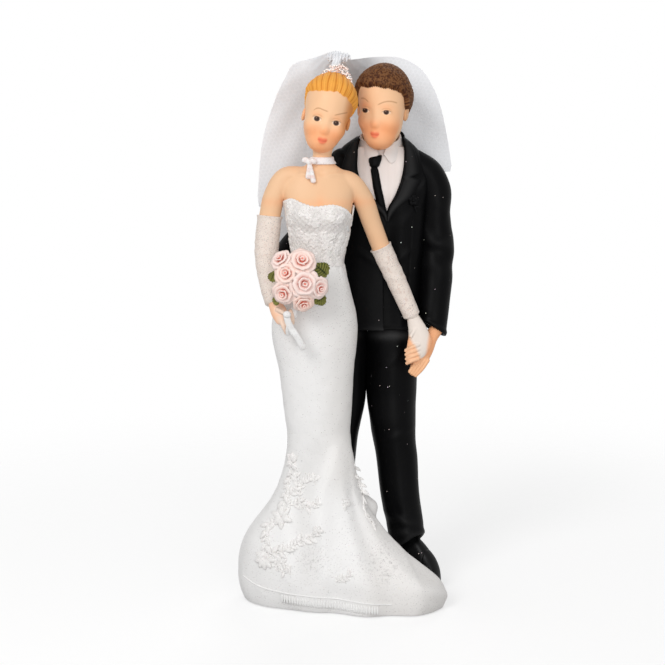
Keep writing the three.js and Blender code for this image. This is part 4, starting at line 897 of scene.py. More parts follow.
def make_bodice(context):
    """Strapless bodice with a sweetheart top edge and cast lace."""
    sides, rows = 320, 130
    angle = full_turn(sides)
    rim = section(BODY, 102.5, angle)
    across = rim[:, 0] - BRIDE[0]
    front = ramp(0.1, -0.2, np.sin(angle))
    heart = through(
        [-12, -8.4, -6.4, -3.2, -0.6, 1.2, 3.2, 6.0, 8.2, 12],
        np.array([[101.6, 103.2, 104.2, 103.2, 102.5, 102.7, 102.9, 101.8, 99.8, 99.4]]).T,
        across,
    )[:, 0]
    top = mixed(102.2, heart, front) + 0.16 * np.abs(np.sin(angle * 30))
    share = np.linspace(0, 1, rows)[:, None]
    level = 87.4 + (top - 87.4) * share
    fade = ramp(87.4, 92, level)
    plain = section(BODY, level, np.broadcast_to(angle, level.shape))
    grid = section(BODY, level, np.broadcast_to(angle, level.shape), grow=0.3)
    grid = mixed(plain, grid, fade[..., None])
    out = unit(spokes(angle))[None]
    facing = ramp(0.1, -0.5, np.sin(angle))[None]
    lift = facing * bust_lift(grid[..., 0], grid[..., 2])
    relief = lace_height(np.broadcast_to(angle * 8.2, level.shape), level, 103.0, 86.0, 5, 150)
    relief = np.maximum(relief, 0.9 * ramp(top - 0.75, top - 0.35, level))
    height = size_mm(context, "lace_relief") * relief * (0.1 + 0.9 * fade)
    grid = grid + out * (lift + height)[..., None]
    inner = [
        grid[-1] - out[0] * 0.45, grid[-1] - out[0] * 0.6 - [0, 0, 1.2], grid[-1] - out[0] * 0.9 - [0, 0, 4]
    ]
    made = make_object("gown_bodice", [skin(np.concatenate([grid, np.array(inner)]))])
    # Painted shade: greyer in the lace's recesses, whitest on its raised flowers
    tone = mixed(paint(context, "gown_shade_and_mottle"), paint(context, "gown"), (0.35 + 0.65 * relief)[..., None])
    warm = np.array([1.0, 0.972, 0.952])
    colours = np.concatenate(
        [(tone * warm).reshape(-1, 3), np.tile(paint(context, "gown"), (len(inner) * sides + 2, 1))]
    )
    colour_in(made, colours)
    sparkle = np.concatenate([np.ones(rows * sides), np.zeros(len(inner) * sides + 2)])
    mark(made, "sparkle", sparkle)
    return dress(made, finish_of("lace"), ["gown_bodice"])


# The long soft ridge down the front of the train, and the lap beside it: level, and x in the front view
RIDGE = [
    (42.1, -2.7), (38, -3.8), (33.4, -5.3), (28.9, -6.7), (25.1, -7.1), (22.1, -7.2), (18.2, -6.2),
    (9.8, -5.3),
]
LAP = [(44.4, 1.6), (38, 2.8), (31.2, 5.0), (26.4, 7.1), (22.4, 9.5), (18.2, 12.5), (14.8, 14.7), (6, 20)]


def line_at(points, z):
    known = np.array(sorted(points))
    return through(known[:, 0], known[:, 1:], np.clip(z, known[0, 0], known[-1, 0]))[..., 0]


def gown_folds(context, points, facing):
    """Height of the gown's folds over its plain flare, in millimetres."""
    x, z = points[..., 0], points[..., 2]
    deep = size_mm(context, "fold_depth")
    off = x - line_at(RIDGE, z)
    window = ramp(46, 38, z) * ramp(5, 12, z) * facing
    ridge = ramp(-2.6, 0.8, off) * np.exp(-((np.maximum(off, 0) / 8) ** 2)) - 0.45 * swell(off, -4.5, 3.2)
    height = deep * window * ridge
    lap = x - line_at(LAP, z)
    step = (ramp(0.6, -0.9, lap) - 0.5) * swell(lap, 0, 5)
    height += 0.55 * facing * ramp(44, 34, z) * ramp(4, 12, z) * step
    low = (z - 4.6) * 0.83 + (x - 23.4) * 0.55
    height += 0.6 * facing * swell(low, 0, 1.1) * ramp(10, 16, x)
    height += 0.5 * facing * swell(x, -14.5, 2.2) * ramp(40, 20, z) * ramp(4, 10, z)
    height += 0.22 * clouds(points, 7.0, 3) * ramp(60, 30, z)
    return height


def gown_surface(context, levels, angles):
    grid, spread = gown_points(levels, angles)
    out = np.stack([np.cos(angles) + 0 * levels, np.sin(angles) + 0 * levels, 0 * spread], axis=-1)
    front = ramp(0.25, -0.35, np.sin(angles)) + 0 * levels
    back = 1 - front
    turn = np.degrees(np.broadcast_to(angles, spread.shape))
    pleats = sum(swell((turn - at + 180) % 360 - 180, 0, 10) for at in (24, 52, 80, 108, 136, 164, 196))
    lift = gown_folds(context, grid, front) + back * spread * 1.3 * pleats
    lump = swell(grid[..., 2], 25.0, 3.4) * ramp(0.6, 0.95, np.cos(angles)) * ramp(-0.15, 0.2, np.sin(angles))
    lift = lift + 0.06 * clouds(grid, 2.2, 8) + 4.0 * lump
    grid = grid + out * lift[..., None]
    grid[..., 2] = np.broadcast_to(levels, spread.shape)
    return grid, lift, front


def make_skirt(context):
    """Skirt and train in one piece: smooth to the knee, then flared, with long folds and a turned hem."""
    forward = -math.pi / 2
    span = np.linspace(-1, 1, 330, endpoint=False)
    angles = forward + math.pi * (span - 0.3 * np.sin(math.pi * span) / math.pi)
    levels = np.concatenate([np.linspace(0.3, 3, 16, endpoint=False), np.linspace(3, 88.3, 280)])[:, None]
    grid, lift, front = gown_surface(context, levels, angles[None])
    out = spokes(angles)
    # The hem rolls under to the base
    under = ramp(-0.2, -0.9, np.cos(angles))[None]
    roll = (0.9 + 0.9 * under) * np.clip((4 + 3 * under - levels) / (4 + 3 * under), 0, 1) ** 2.2
    grid = grid - out[None] * roll[..., None]
    x, z = grid[..., 0], grid[..., 2]
    sides_glint = 0.25 + 0.75 * ramp(0.35, 0.95, np.abs((x - BODY[2, 1]) / 10.5)) * ramp(50, 62, z)
    lace = lace_height(np.broadcast_to(angles[None] * 9, z.shape), z, 92, 80, 11, 60) * ramp(79, 88, z)
    grid = grid + out[None] * (0.6 * size_mm(context, "lace_relief") * lace)[..., None]
    grid[-1] -= out * 0.4
    foot = [grid[0] - out * 0.8, grid[0] - out * 3 + [0, 0, 0.2]]
    rings = np.concatenate([np.array(foot[::-1]), grid])
    made = make_object("gown_skirt", [skin(rings)])
    # Painted shade: greyer in the hollows of the folds
    hollow = ramp(0.35, -0.8, lift) * 0.55
    tone = mixed_paints(context, "gown", "gown_shade_and_mottle", hollow)
    # Painted shade: creamier and darker on the back fold of the train, beside the groom's leg
    back_fold_shade = ramp(14, 20, x) * ramp(2, 6, grid[..., 1]) * ramp(34, 20, z)
    tone = mixed(tone, tone * np.array([0.95, 0.9, 0.8]), back_fold_shade[..., None])
    # Painted shade: greyer on parts of the right side that turn away from the light
    turned_away_shade = 0.9 * ramp(-9, -1, x) * ramp(26, 36, z) + 0.9 * ramp(0, 9, x) * ramp(36, 26, z)
    tone = mixed(tone, tone * np.array([0.945, 0.93, 0.915]), turned_away_shade[..., None])
    drift = (
        swell(x, -8.0, 3.6) * swell(z, 13.5, 3.4)
        + swell(x, 9.5, 5.5) * swell(z, 13, 5)
        + 0.35 * swell(x, 1.5, 2) * swell(z, 30, 9)
    )
    drift = np.clip(drift, 0, 1) * front
    grit = ramp(0.35, 0.6, clouds(grid, 0.42, 31)) * drift
    tone = mixed(tone, ink(150, 148, 146), (0.35 * grit)[..., None])
    edge = np.tile(paint(context, "gown"), (2 * len(angles), 1))
    colour_in(made, np.concatenate([edge, tone.reshape(-1, 3), edge[:2]]))
    glint = 0.12 + 0.5 * ramp(30, 10, z) * front + 1.1 * drift + sides_glint * ramp(56, 66, z)
    mark(made, "sparkle", np.concatenate([np.zeros(len(edge)), glint.ravel(), [0, 0]]))
    return dress(made, finish_of("gown"), ["gown_skirt", "gown_train"])


def make_base(context):
    """Flat base under the train, with a rounded rim."""
    angles = full_turn(260)
    ring, _, _ = gown_surface(context, np.full((1, 1), 2.0), angles[None])
    out = spokes(angles)
    rows = []
    for level, inset in ((0, 3.2), (0, 2.9), (0.12, 2.7), (0.4, 2.6), (1.4, 2.6), (1.75, 2.7), (2.0, 3.4)):
        row = ring[0] - out * inset
        row[:, 2] = level
        rows.append(row)
    made = make_object("base_plate", [skin(np.array(rows))])
    colour_in(made, paint(context, "gown") * np.array([0.97, 0.955, 0.94]))
    return dress(made, finish_of("gown"), ["base_plate"])


def make_shoulders(context):
    """Bare shoulders, neck and upper arms in one skin."""
    angle = full_turn(90)
    level = np.concatenate([np.linspace(96, 109, 40), np.linspace(109.3, 121.5, 50)])[:, None]
    torso = section(BODY, level, np.broadcast_to(angle, (len(level), 90)))
    front = ramp(0.1, -0.5, np.sin(angle))[None]
    torso[..., 1] -= front * bust_lift(torso[..., 0], torso[..., 2]) * 0.9
    shells = [skin(torso)]
    for arm, last in ((RIGHT_ARM, 3), (LEFT_ARM, 4)):
        stations = np.array(arm[:last])
        root = mixed(stations[0], [-7.0, -5.3, 110.2, 1.9], 0.55)
        stations = np.concatenate([[root], stations])
        shells.append(skin(tube(stations[:, :3], stations[:, 3], 60, 36)))
    made = fused("bride_shoulders", shells, 0.2, 45)
    p, n = points_of(made), facing_of(made)
    x, z = p[:, 0], p[:, 2]
    facing = ramp(0.0, -0.6, n[:, 1])
    bone = sum(swell(z, 110.2 - 0.12 * np.abs(x - at), 0.55) * swell(x, at, 2.8) for at in (-10.6, -2.6))
    throat = swell(x, -6.4, 1.0) * swell(z, 110.6, 0.9)
    p += n * (facing * (0.32 * bone - 0.35 * throat))[:, None]
    set_points(made, p)
    skin_tone = paint(context, "skin") * np.array([0.92, 0.95, 0.98])
    # Painted shade, laid on with the blush: along the bodice's top edge, under the choker, in the cleavage
    # and where the skin faces down, with a little random unevenness
    shade = (
        swell(z, 103.2, 1.2) * 0.35
        + 0.25 * swell(z, 112.4, 1.0)
        + 0.3 * facing * swell(x, -6.5, 0.9) * swell(z, 103, 2.2)
    )
    warm = np.clip(shade + 0.16 * ramp(0.3, -0.8, n[:, 2]) + 0.08 * clouds(p, 4, 2), 0, 1)
    colour_in(made, mixed(skin_tone, paint(context, "blush_and_shade"), (0.5 * warm)[:, None]))
    nodes = ["bride_bust", "bride_right_upper_arm", "bride_left_upper_arm"]
    return dress(made, finish_of("skin"), nodes)


def make_glove(context, name, arm, first, hand, seed):
    """Long fingerless glove: a slack top edge, wrinkles at the elbow and a point over the hand."""
    stations = np.array([row[:4] for row in arm[first:]])
    rings = tube(stations[:, :3], stations[:, 3] + 0.35, 150, 72, domes=(0, 0))
    count, sides = rings.shape[:2]
    centre = rings.mean(axis=1, keepdims=True)
    out = unit(rings - centre)
    share = np.linspace(0, 1, count)[:, None]
    turn = full_turn(sides)[None]
    wave = np.sin(share * 46 + 1.6 * np.sin(turn + seed) + 3 * clouds(rings, 4, seed))
    crease = 0.05 * wave * swell(share, 0.42, 0.25) + 0.06 * clouds(rings, 1.1, seed + 4)
    rings = rings + out * (crease + 0.2 * ramp(0.04, 0.0, share))[..., None]
    reach = unit(np.asarray(hand, float) - stations[-1, :3])
    back = np.clip((out[-1] @ unit(np.array([0.2 * np.sign(reach[0]), -1.0, 0.35]))), 0, 1)[:, None]
    tip = [rings[-1] + reach * (k * (0.6 + 0.4 * back**2)) - out[-1] * (0.8 * k) for k in (0.35, 0.7, 1.0)]
    inner = [tip[-1] - out[-1] * 0.4, tip[-1] - out[-1] * 0.8 - reach * 1.5]
    lip = [rings[0] - out[0] * 0.9 + unit(rings[4] - rings[0]) * 0.6, rings[0] - out[0] * 0.45]
    made = make_object(name, [skin(np.concatenate([lip, rings, tip, inner]))])
    speck = ramp(0.3, 0.8, clouds(rings, 0.4, seed + 9))
    # Darker in the troughs of the wrinkles as painted shade, and in random specks
    dark = np.clip(0.25 - crease * 2.0, 0, 1) * 0.3 + 0.4 * speck
    tone = mixed(paint(context, "glove"), ink(206, 176, 160), dark[..., None])
    plain = np.tile(paint(context, "glove"), (sides, 1))
    rows = [plain, plain, tone.reshape(-1, 3), plain, plain, plain, plain, plain, plain[:2]]
    colour_in(made, np.concatenate(rows))
    mark(made, "sparkle", 1.0)
    return dress(made, finish_of("glove"), [name])


def make_hand(context, name, palm, fingers, width, warm, cover=None, pale=0.0):
    """A hand from a palm and its fingers, melted together. The glove's point covers its back."""
    palm = np.array(palm)
    shells = [skin(tube(palm[:, :3], palm[:, 3:5], 24, 24))]
    for finger in fingers:
        finger = np.array(finger)
        halves = np.linspace(width / 2, width * 0.38, len(finger))
        shells.append(skin(tube(finger, halves, 20, 16)))
    made = fused(name, shells, 0.12, 4)
    p, n = points_of(made), facing_of(made)
    hollow = np.zeros(len(p))
    for finger in fingers:
        line = route(np.array(finger), 14)
        near = np.sqrt(((p[:, None] - line[None]) ** 2).sum(axis=-1)).min(axis=1)
        hollow = np.maximum(hollow, swell(near, 0, width * 0.62))
    shade = np.clip(1 - hollow, 0, 1) * 0.45 + 0.2 * ramp(0.2, -0.8, n[:, 2]) + warm
    flesh = mixed_paints(context, "skin", "blush_and_shade", np.minimum(shade, 0.85))
    glove = paint(context, "glove")
    laid = np.full(len(p), pale) * np.clip(0.35 + 0.65 * hollow, 0, 1)
    if cover:
        first, last = np.array(cover[0]), np.array(cover[1])
        run = last - first
        along = ((p - first) @ run) / (run @ run)
        off = np.linalg.norm(p - first - np.clip(along, 0, 1)[:, None] * run, axis=1)
        laid = np.maximum(laid, ramp(0.7, -0.5, off - cover[2] * (1.0 - 0.85 * np.clip(along, 0, 1))))
    colour_in(made, mixed(flesh, glove, laid[:, None]))
    return dress(made, finish_of("skin"), [name])


# Heads and hair

# Each head's middle, its turn about x, y and z in degrees, its size, and where its painted features lie
BRIDE_HEAD = dict(
    centre=(-4.7, -4.8, 125.2), turn=(-2, 13, 2), height=19.0, width=12.1, jaw=0.97, shift=-0.25,
    ear=(0.8, -1.7),
    mid=-0.05, drift=0.0, gap=2.42, eye=-2.1, lid=0.6, nose=-4.6, mouth=-7.05, lip=1.25,
    # Wash: share of hair paint down the right side of the face, which is also painted shade
    wash=0.85,
    brows=(
        [(-2.2, 2.3), (-0.9, 2.5), (0.3, 2.6), (0.8, 2.35), (1.15, 1.95)],
        [(-0.75, 1.85), (0.2, 2.3), (1.2, 2.75), (2.2, 3.15)],
    ),
)
GROOM_HEAD = dict(
    centre=(9.1, 6.4, 126.2), turn=(-2, 4.5, -16), height=20.4, width=12.8, jaw=0.97, shift=0.95,
    ear=(1.1, -0.8),
    mid=0.15, drift=-0.05, gap=2.75, eye=-1.05, lid=0.44, nose=-4.4, mouth=-6.95, lip=1.25,
    wash=0.0,
    brows=(
        [(-0.7, 2.15), (0.4, 2.85), (1.1, 2.98), (1.7, 2.9)],
        [(-2.2, 1.7), (-0.7, 2.5), (0.9, 2.78), (2.1, 2.55)],
    ),
)


def turned(spec):
    x, y, z = (math.radians(v) for v in spec["turn"])
    return np.array(Matrix.Rotation(z, 3, "Z") @ Matrix.Rotation(y, 3, "Y") @ Matrix.Rotation(x, 3, "X"))


def on_head(spec, points):
    """From a head's own frame to the couple's."""
    return points @ turned(spec).T + np.array(spec["centre"])


def blob(p, centre, halves):
    """Distance to an oval ball, near enough."""
    q = p - np.asarray(centre)
    halves = np.asarray(halves, float)
    first = np.linalg.norm(q / halves, axis=-1)
    second = np.linalg.norm(q / halves**2, axis=-1)
    return first * (first - 1) / np.maximum(second, 1e-6)


def melt(a, b, reach):
    h = np.clip(0.5 + 0.5 * (b - a) / reach, 0, 1)
    return b * (1 - h) + a * h - reach * h * (1 - h)


def carve(a, b, reach):
    return -melt(-a, b, reach)


def skull_form(p, spec):
    wide, tall, jaw = spec["width"] / 12.2, spec["height"] / 19, spec["jaw"]
    form = blob(p, (0, 0.45, 2.4 * tall), (6.05 * wide, 7.2, 7.05 * tall))
    aside = spec["shift"]
    form = melt(form, blob(p, (0.7 * aside, -2.0, -2.8 * tall), (5.35 * wide * jaw, 5.1, 6.7 * tall)), 1.6)
    return melt(form, blob(p, (aside, -4.0, -7.5 * tall), (2.7 * wide * jaw, 2.4, 2.0 * tall)), 2.6)


def face_form(p, spec):
    """A doll's head: skull and jaw, small nose, shallow sockets, lids, soft cheeks and a small mouth."""
    form = skull_form(p, spec)
    at = lambda z: spec["mid"] + spec["drift"] * (z - spec["eye"])
    eye, nose, mouth = spec["eye"], spec["nose"], spec["mouth"]
    for side in (-1, 1):
        x = at(eye) + side * spec["gap"]
        form = carve(form, blob(p, (x, -8.0, eye + 0.15), (1.7, 1.4, 1.0)), 0.9)
        form = melt(form, blob(p, (x, -5.6, eye), (1.25, 1.05, 0.82)), 0.35)
        form = melt(form, blob(p, (at(nose) + side * 3.0, -4.5, nose + 0.9), (1.9, 2.1, 2.0)), 1.6)
        form = melt(form, blob(p, (at(nose) + side * 0.5, -6.5, nose - 0.05), (0.42, 0.45, 0.4)), 0.6)
    form = melt(form, blob(p, (at(nose), -6.2, nose + 1.4), (0.6, 0.7, 1.9)), 1.2)
    form = melt(form, blob(p, (at(nose), -6.65, nose + 0.2), (0.7, 0.68, 0.66)), 0.9)
    form = carve(form, blob(p, (at(mouth), -7.7, mouth + 0.05), (1.3, 0.75, 0.16)), 0.3)
    form = melt(form, blob(p, (at(mouth), -6.45, mouth + 0.42), (1.2, 0.62, 0.36)), 0.3)
    return melt(form, blob(p, (at(mouth), -6.4, mouth - 0.4), (0.95, 0.66, 0.42)), 0.35)


def ear_shell(spec, side):
    """An ear: an oval with a rolled rim and a sunk bowl."""
    up = np.radians(np.linspace(-86, 86, 40))[:, None]
    turn = full_turn(48)
    ball = ball_points(up, turn)
    bowl = swell(ball[..., 1], -0.05, 0.42) * swell(ball[..., 2], 0.1, 0.5)
    bowl = bowl * ramp(0.0, 0.6, ball[..., 0] * side)
    size, level = spec["ear"]
    local = ball * np.array([0.72, 1.3, 2.0]) * size * (1 - 0.5 * bowl)[..., None]
    middle = [side * 5.72 * spec["width"] / 12.2, 1.3, level]
    return skin(local + middle)


def reach_out(form, rays, far=14.0):
    """Distance along each ray from a head's middle to its skin."""
    low = np.ones(rays.shape[:-1])
    high = np.full(rays.shape[:-1], far)
    for _ in range(17):
        half = (low + high) / 2
        inside = form(rays * half[..., None]) < 0
        low = np.where(inside, half, low)
        high = np.where(inside, high, half)
    return low


def painted_face(context, p, spec):
    """Brush colours of a face: blush, lips, brows and small dark eyes."""
    z = p[:, 2]
    x = p[:, 0] - spec["mid"] - spec["drift"] * (z - spec["eye"])
    front = ramp(-2.5, -4.5, p[:, 1])
    tone = np.tile(paint(context, "skin"), (len(p), 1))
    blush_and_shade = paint(context, "blush_and_shade")

    def lay(colour, mask):
        tone[:] = mixed(tone, colour, (np.clip(mask, 0, 1) * front)[:, None])

    for side in (-1, 1):
        lay(blush_and_shade, 0.38 * swell(x, side * 2.5, 2.0) * swell(z, spec["nose"] - 0.7, 1.8))
        lay(blush_and_shade, 0.3 * swell(x, side * spec["gap"], 1.5) * swell(z, spec["eye"] + 1.2, 0.8))
    tip = 0.42 * swell(x, 0, 0.9) * swell(z, spec["nose"], 0.9)
    # Painted shade: blush in a narrow band just under the nose; the nose tip itself is painted pink
    under = 0.25 * swell(z, spec["nose"] - 0.9, 0.35) * swell(x, 0, 0.8)
    lay(blush_and_shade, tip + under)
    lay(blush_and_shade, 0.3 * swell(x, 0, 1.5) * swell(z, -spec["height"] * 0.47, 0.9))
    lay(blush_and_shade, 0.3 * swell(x, 0, 2.2) * swell(z, spec["mouth"], 1.3))
    # Painted shade: blush over the lower face and the right side, where they turn from the light
    lay(blush_and_shade, 0.38 * ramp(-2, -6, z) + 0.3 * ramp(1.0, 5.0, x) * ramp(2, -4, z))
    # Hair paint sprayed down the right side of the face, which also stands for the shade on that side
    beside = spec["wash"] * ramp(2.9, 5.4, x) * ramp(-7.5, -2, z)
    tone = mixed(tone, paint(context, "blonde_wash_and_shade"), beside[:, None])
    lip, mouth = spec["lip"], spec["mouth"] + 0.3 * (x / spec["lip"]) ** 2
    bow = 0.78 - 0.14 * swell(x, 0, 0.25) - 0.42 * (x / lip) ** 2
    full = 0.72 - 0.62 * (x / lip) ** 2
    edge = np.where(z > mouth, bow - (z - mouth), full - (mouth - z))
    lay(paint(context, "lips"), 0.8 * ramp(-0.42, 0.36, edge) * ramp(lip + 0.15, lip - 0.3, np.abs(x)))
    lay(paint(context, "lips") * 0.6, 0.45 * swell(z, mouth, 0.1) * ramp(lip, lip - 0.4, np.abs(x)))
    for side in (-1, 1):
        u = (x - side * spec["gap"]) * side
        v = z - spec["eye"]
        brow = np.array(spec["brows"][side > 0])
        arch = through(brow[:, 0], brow[:, 1:], np.clip(u, brow[0, 0], brow[-1, 0]))[..., 0]
        ends = ramp(brow[0, 0] - 0.3, brow[0, 0] + 0.4, u) * ramp(brow[-1, 0] + 0.2, brow[-1, 0] - 0.2, u)
        lay(paint(context, "brow"), 0.6 * swell(v, arch, 0.15) * ends)
        lid = spec["lid"] - 0.28 * u * u
        white = np.minimum(lid - v, v + 0.52 - 0.24 * u * u)
        lay(ink(246, 226, 206), 0.5 * ramp(-0.08, 0.1, white) * ramp(1.15, 0.9, np.abs(u)))
        ball = 0.72 - np.hypot((x - side * spec["gap"]) + 0.05, (v - 0.02) * 1.15)
        lay(paint(context, "line"), ramp(-0.08, 0.09, np.minimum(ball, lid + 0.12 - v)))
        # Painted highlight: a small pale glint in each eye
        lay(ink(230, 190, 160), 0.3 * ramp(0.2, 0.08, np.hypot(x - side * spec["gap"] + 0.22, v - 0.26)))
        lay(paint(context, "line"), 0.7 * swell(v, lid + 0.03 + 0.1 * u, 0.09) * ramp(1.35, 0.9, np.abs(u)))
        lay(paint(context, "brow"), 0.3 * swell(v, lid + 0.5, 0.12) * ramp(1.4, 0.8, np.abs(u)))
    return tone


def make_head(context, name, spec):
    """A head with its painted face, finest at the front."""
    span = np.linspace(-math.pi, math.pi, 250, endpoint=False)
    turn = span - 0.5 * np.sin(span)
    up = np.radians(np.linspace(-88, 88, 196))[:, None]
    rays = np.stack([np.cos(up) * np.sin(turn), -np.cos(up) * np.cos(turn), np.sin(up) + 0 * turn], axis=-1)
    local = rays * reach_out(lambda p: face_form(p, spec), rays)[..., None]
    shells = [skin(local), ear_shell(spec, -1), ear_shell(spec, 1)]
    made = make_object(name, [(on_head(spec, verts), quads, tris) for verts, quads, tris in shells])
    face = shells[0][0]
    tone = painted_face(context, face, spec)
    # Painted shade: blush under the chin
    under = ramp(-spec["height"] * 0.4, -spec["height"] * 0.52, face[:, 2])
    skin_tone, blush_and_shade = paint(context, "skin"), paint(context, "blush_and_shade")
    tone = mixed(tone, blush_and_shade, (0.3 * under)[:, None])
    # Ears in blush; the right one darkened with the blonde paint, which also stands for its shade
    flush = [
        mixed(skin_tone, blush_and_shade, 0.3),
        mixed(skin_tone, paint(context, "blonde_wash_and_shade"), 0.3 + 0.5 * spec["wash"]),
    ]
    ears = [np.tile(colour, (len(shell[0]), 1)) for colour, shell in zip(flush, shells[1:])]
    colour_in(made, np.concatenate([tone] + ears))
    return dress(made, finish_of("skin"), [name])


def hair_shell(context, spec, strands, pole, hairline, thick, full, seed, soft, tousle):
    """Combed hair over a skull, with grooves from hairline to pole. Returns its shell and groove depth."""
    pole = unit(np.asarray(pole, float))
    aside = unit(np.cross(pole, [0.0, -1.0, 0.0]))
    ahead = np.cross(aside, pole)
    columns = 420
    turn = full_turn(columns)

    def rays_at(bend):
        flat = np.cos(turn)[:, None] * ahead + np.sin(turn)[:, None] * aside
        return np.cos(bend)[..., None] * pole + np.sin(bend)[..., None] * flat

    skull = lambda p: skull_form(p, spec)
    bend = np.radians(np.linspace(2, 176, 240))[:, None] + 0 * turn
    trial = rays_at(bend)
    trial = trial * reach_out(skull, trial)[..., None]
    around = np.degrees(np.arctan2(trial[..., 0], -trial[..., 1]))
    line = np.interp(around, *np.array(hairline, float).T)
    below = trial[..., 2] < line
    first = np.argmax(below, axis=0)
    edge = bend[first, np.arange(columns)]
    for _ in range(6):
        edge = (np.roll(edge, 1) + 2 * edge + np.roll(edge, -1)) / 4
    ring = spokes(turn)
    ragged = 0.02 * np.sin(turn * strands) + 0.045 * clouds(ring * 9, 1.0, seed + 1)
    share = np.linspace(0.01, 1, 110)[:, None]
    rays = rays_at(share * (edge + ragged))
    base = rays * reach_out(skull, rays)[..., None]
    field = [np.cos(turn) * 6 + 0 * share, np.sin(turn) * 6 + 0 * share, share * 4 + 0 * turn]
    wander = 1.2 * clouds(np.stack(field, axis=-1), 1.5, seed)
    comb = np.abs(np.sin((turn * strands) / 2 + wander))
    locks = np.abs(np.sin((turn * round(strands / 3)) / 2 + 0.7 * wander))
    groove = (1 - comb**0.7) * 0.45 + (1 - locks**0.5) * 0.75
    tuft = clouds(base, 0.27, seed + 3) + 0.8 * clouds(base, 0.19, seed + 5)
    groove = mixed(groove, np.clip(0.5 - 0.95 * tuft, 0, 1), tousle)
    cover = mixed(-0.35, 1.0, ramp(1.0, soft, share))
    body = (
        thick * cover
        + full * swell(share, 0.78, 0.2) * cover
        + 0.05 * tousle * tuft * ramp(1.0, 0.93, share)
    )
    depth = size_mm(context, "hair_groove") * groove * ramp(0.03, 0.2, share) * (2.2 - 1.2 * tousle)
    local = base + unit(base) * (body - depth * np.clip(cover, 0.2, 1))[..., None]
    return local, groove * ramp(0.02, 0.15, share) + 0 * turn, share


def make_hair(context, name, spec, strands, light, wash, style):
    """Hair of one figure. The style holds what hair_shell takes beside the head and its strands."""
    local, groove, share = hair_shell(context, spec, strands, **style)
    verts, quads, tris = skin(local)
    made = make_object(name, [(on_head(spec, verts), quads, tris)])
    # Darker in the grooves, as paint pooled there that also stands for their shade, and a little darker
    # towards the pole
    deep = 1.25 * groove**1.3 + 0.3 * ramp(0.8, 1.0, share) * groove + 0.18 * ramp(0.25, 0.0, share)
    tone = mixed_paints(context, light, wash, deep)
    colour_in(made, np.concatenate([tone.reshape(-1, 3), np.tile(paint(context, wash), (2, 1))]))
    return dress(made, finish_of("hair"), [name])


def make_chignon(context):
    """Coiled knot of hair at the back of the bride's head."""
    up = np.radians(np.linspace(-86, 86, 90))[:, None]
    turn = full_turn(150)
    coil = np.abs(np.sin(1.5 * turn + 4.2 * up + 0.3 * np.sin(3 * turn)))
    fine = np.abs(np.sin(12 * turn + 30 * up))
    groove = 0.7 * (1 - coil**0.6) + 0.3 * (1 - fine**0.7)
    grow = 1 - 0.1 * groove
    ball = np.stack([np.cos(up) * np.cos(turn), np.sin(up) + 0 * turn, np.cos(up) * np.sin(turn)], axis=-1)
    local = ball * np.array([4.0, 2.9, 3.4]) * grow[..., None] + np.array([0, 8.0, 0.6])
    verts, quads, tris = skin(local)
    made = make_object("bride_chignon", [(on_head(BRIDE_HEAD, verts), quads, tris)])
    # Darker in the grooves, as paint pooled there that also stands for their shade
    tone = mixed_paints(context, "blonde", "blonde_wash_and_shade", 1.2 * groove)
    colour_in(made, np.concatenate([tone.reshape(-1, 3), tone[0, :2]]))
    return dress(made, finish_of("hair"), ["bride_chignon"])


def make_tiara(context):
    """Arc of glittering beads across the crown, tallest in the middle."""
    rng = np.random.default_rng(21)
    bead = make_object("bead", [blob_shell((0, 0, 0), (1, 1, 1), 5)])
    colour_in(bead, ink(248, 232, 222))
    places, sizes = [], []
    # From and to angle in degrees, beads, lift and radius of each row
    rows = (
        (48, 124, 30, -0.4, 0.3),
        (52, 116, 26, 0.05, 0.3),
        (56, 106, 20, 0.5, 0.28),
        (60, 97, 13, 0.9, 0.27),
        (66, 89, 7, 1.25, 0.25),
    )
    for low, high, count, lift, size in rows:
        for angle in np.radians(np.linspace(low, high, count) + rng.normal(0, 1.0, count)):
            dx, dy, dz = rng.normal(0, [0.08, 0.28, 0.14])
            places.append([6.67 * math.cos(angle) + dx, -0.4 + dy, 10.9 * math.sin(angle) + lift + dz])
            sizes.append(size * (0.75 + 0.5 * rng.random()))
    places = on_head(BRIDE_HEAD, np.array(places))
    made = set_out("tiara", bead, places, np.zeros((len(places), 3)), np.array(sizes), finish_of("jewel"))
    p = points_of(made)
    warm = ramp(-0.2, 0.5, clouds(p, 0.7, 5))[:, None] * 0.75
    colour_in(made, mixed(ink(252, 246, 242), ink(242, 200, 184), warm))
    mark(made, "sparkle", 1.0)
    return dress(made, finish_of("jewel"), ["tiara"])


def make_choker(context):
    """Ribbon round the neck."""
    angle = full_turn(96)
    rows = [
        (112.6, 0.1), (112.65, 0.5), (112.9, 0.62), (113.5, 0.55), (114.1, 0.62), (114.35, 0.5), (114.4, 0.1)
    ]
    rings = np.array([section(BODY, np.full(96, level), angle, grow=grow) for level, grow in rows])
    made = make_object("choker", [skin(rings)])
    colour_in(made, paint(context, "gown") * np.array([1, 0.95, 0.95]))
    mark(made, "sparkle", 1.0)
    return dress(made, finish_of("ribbon"), ["choker"])


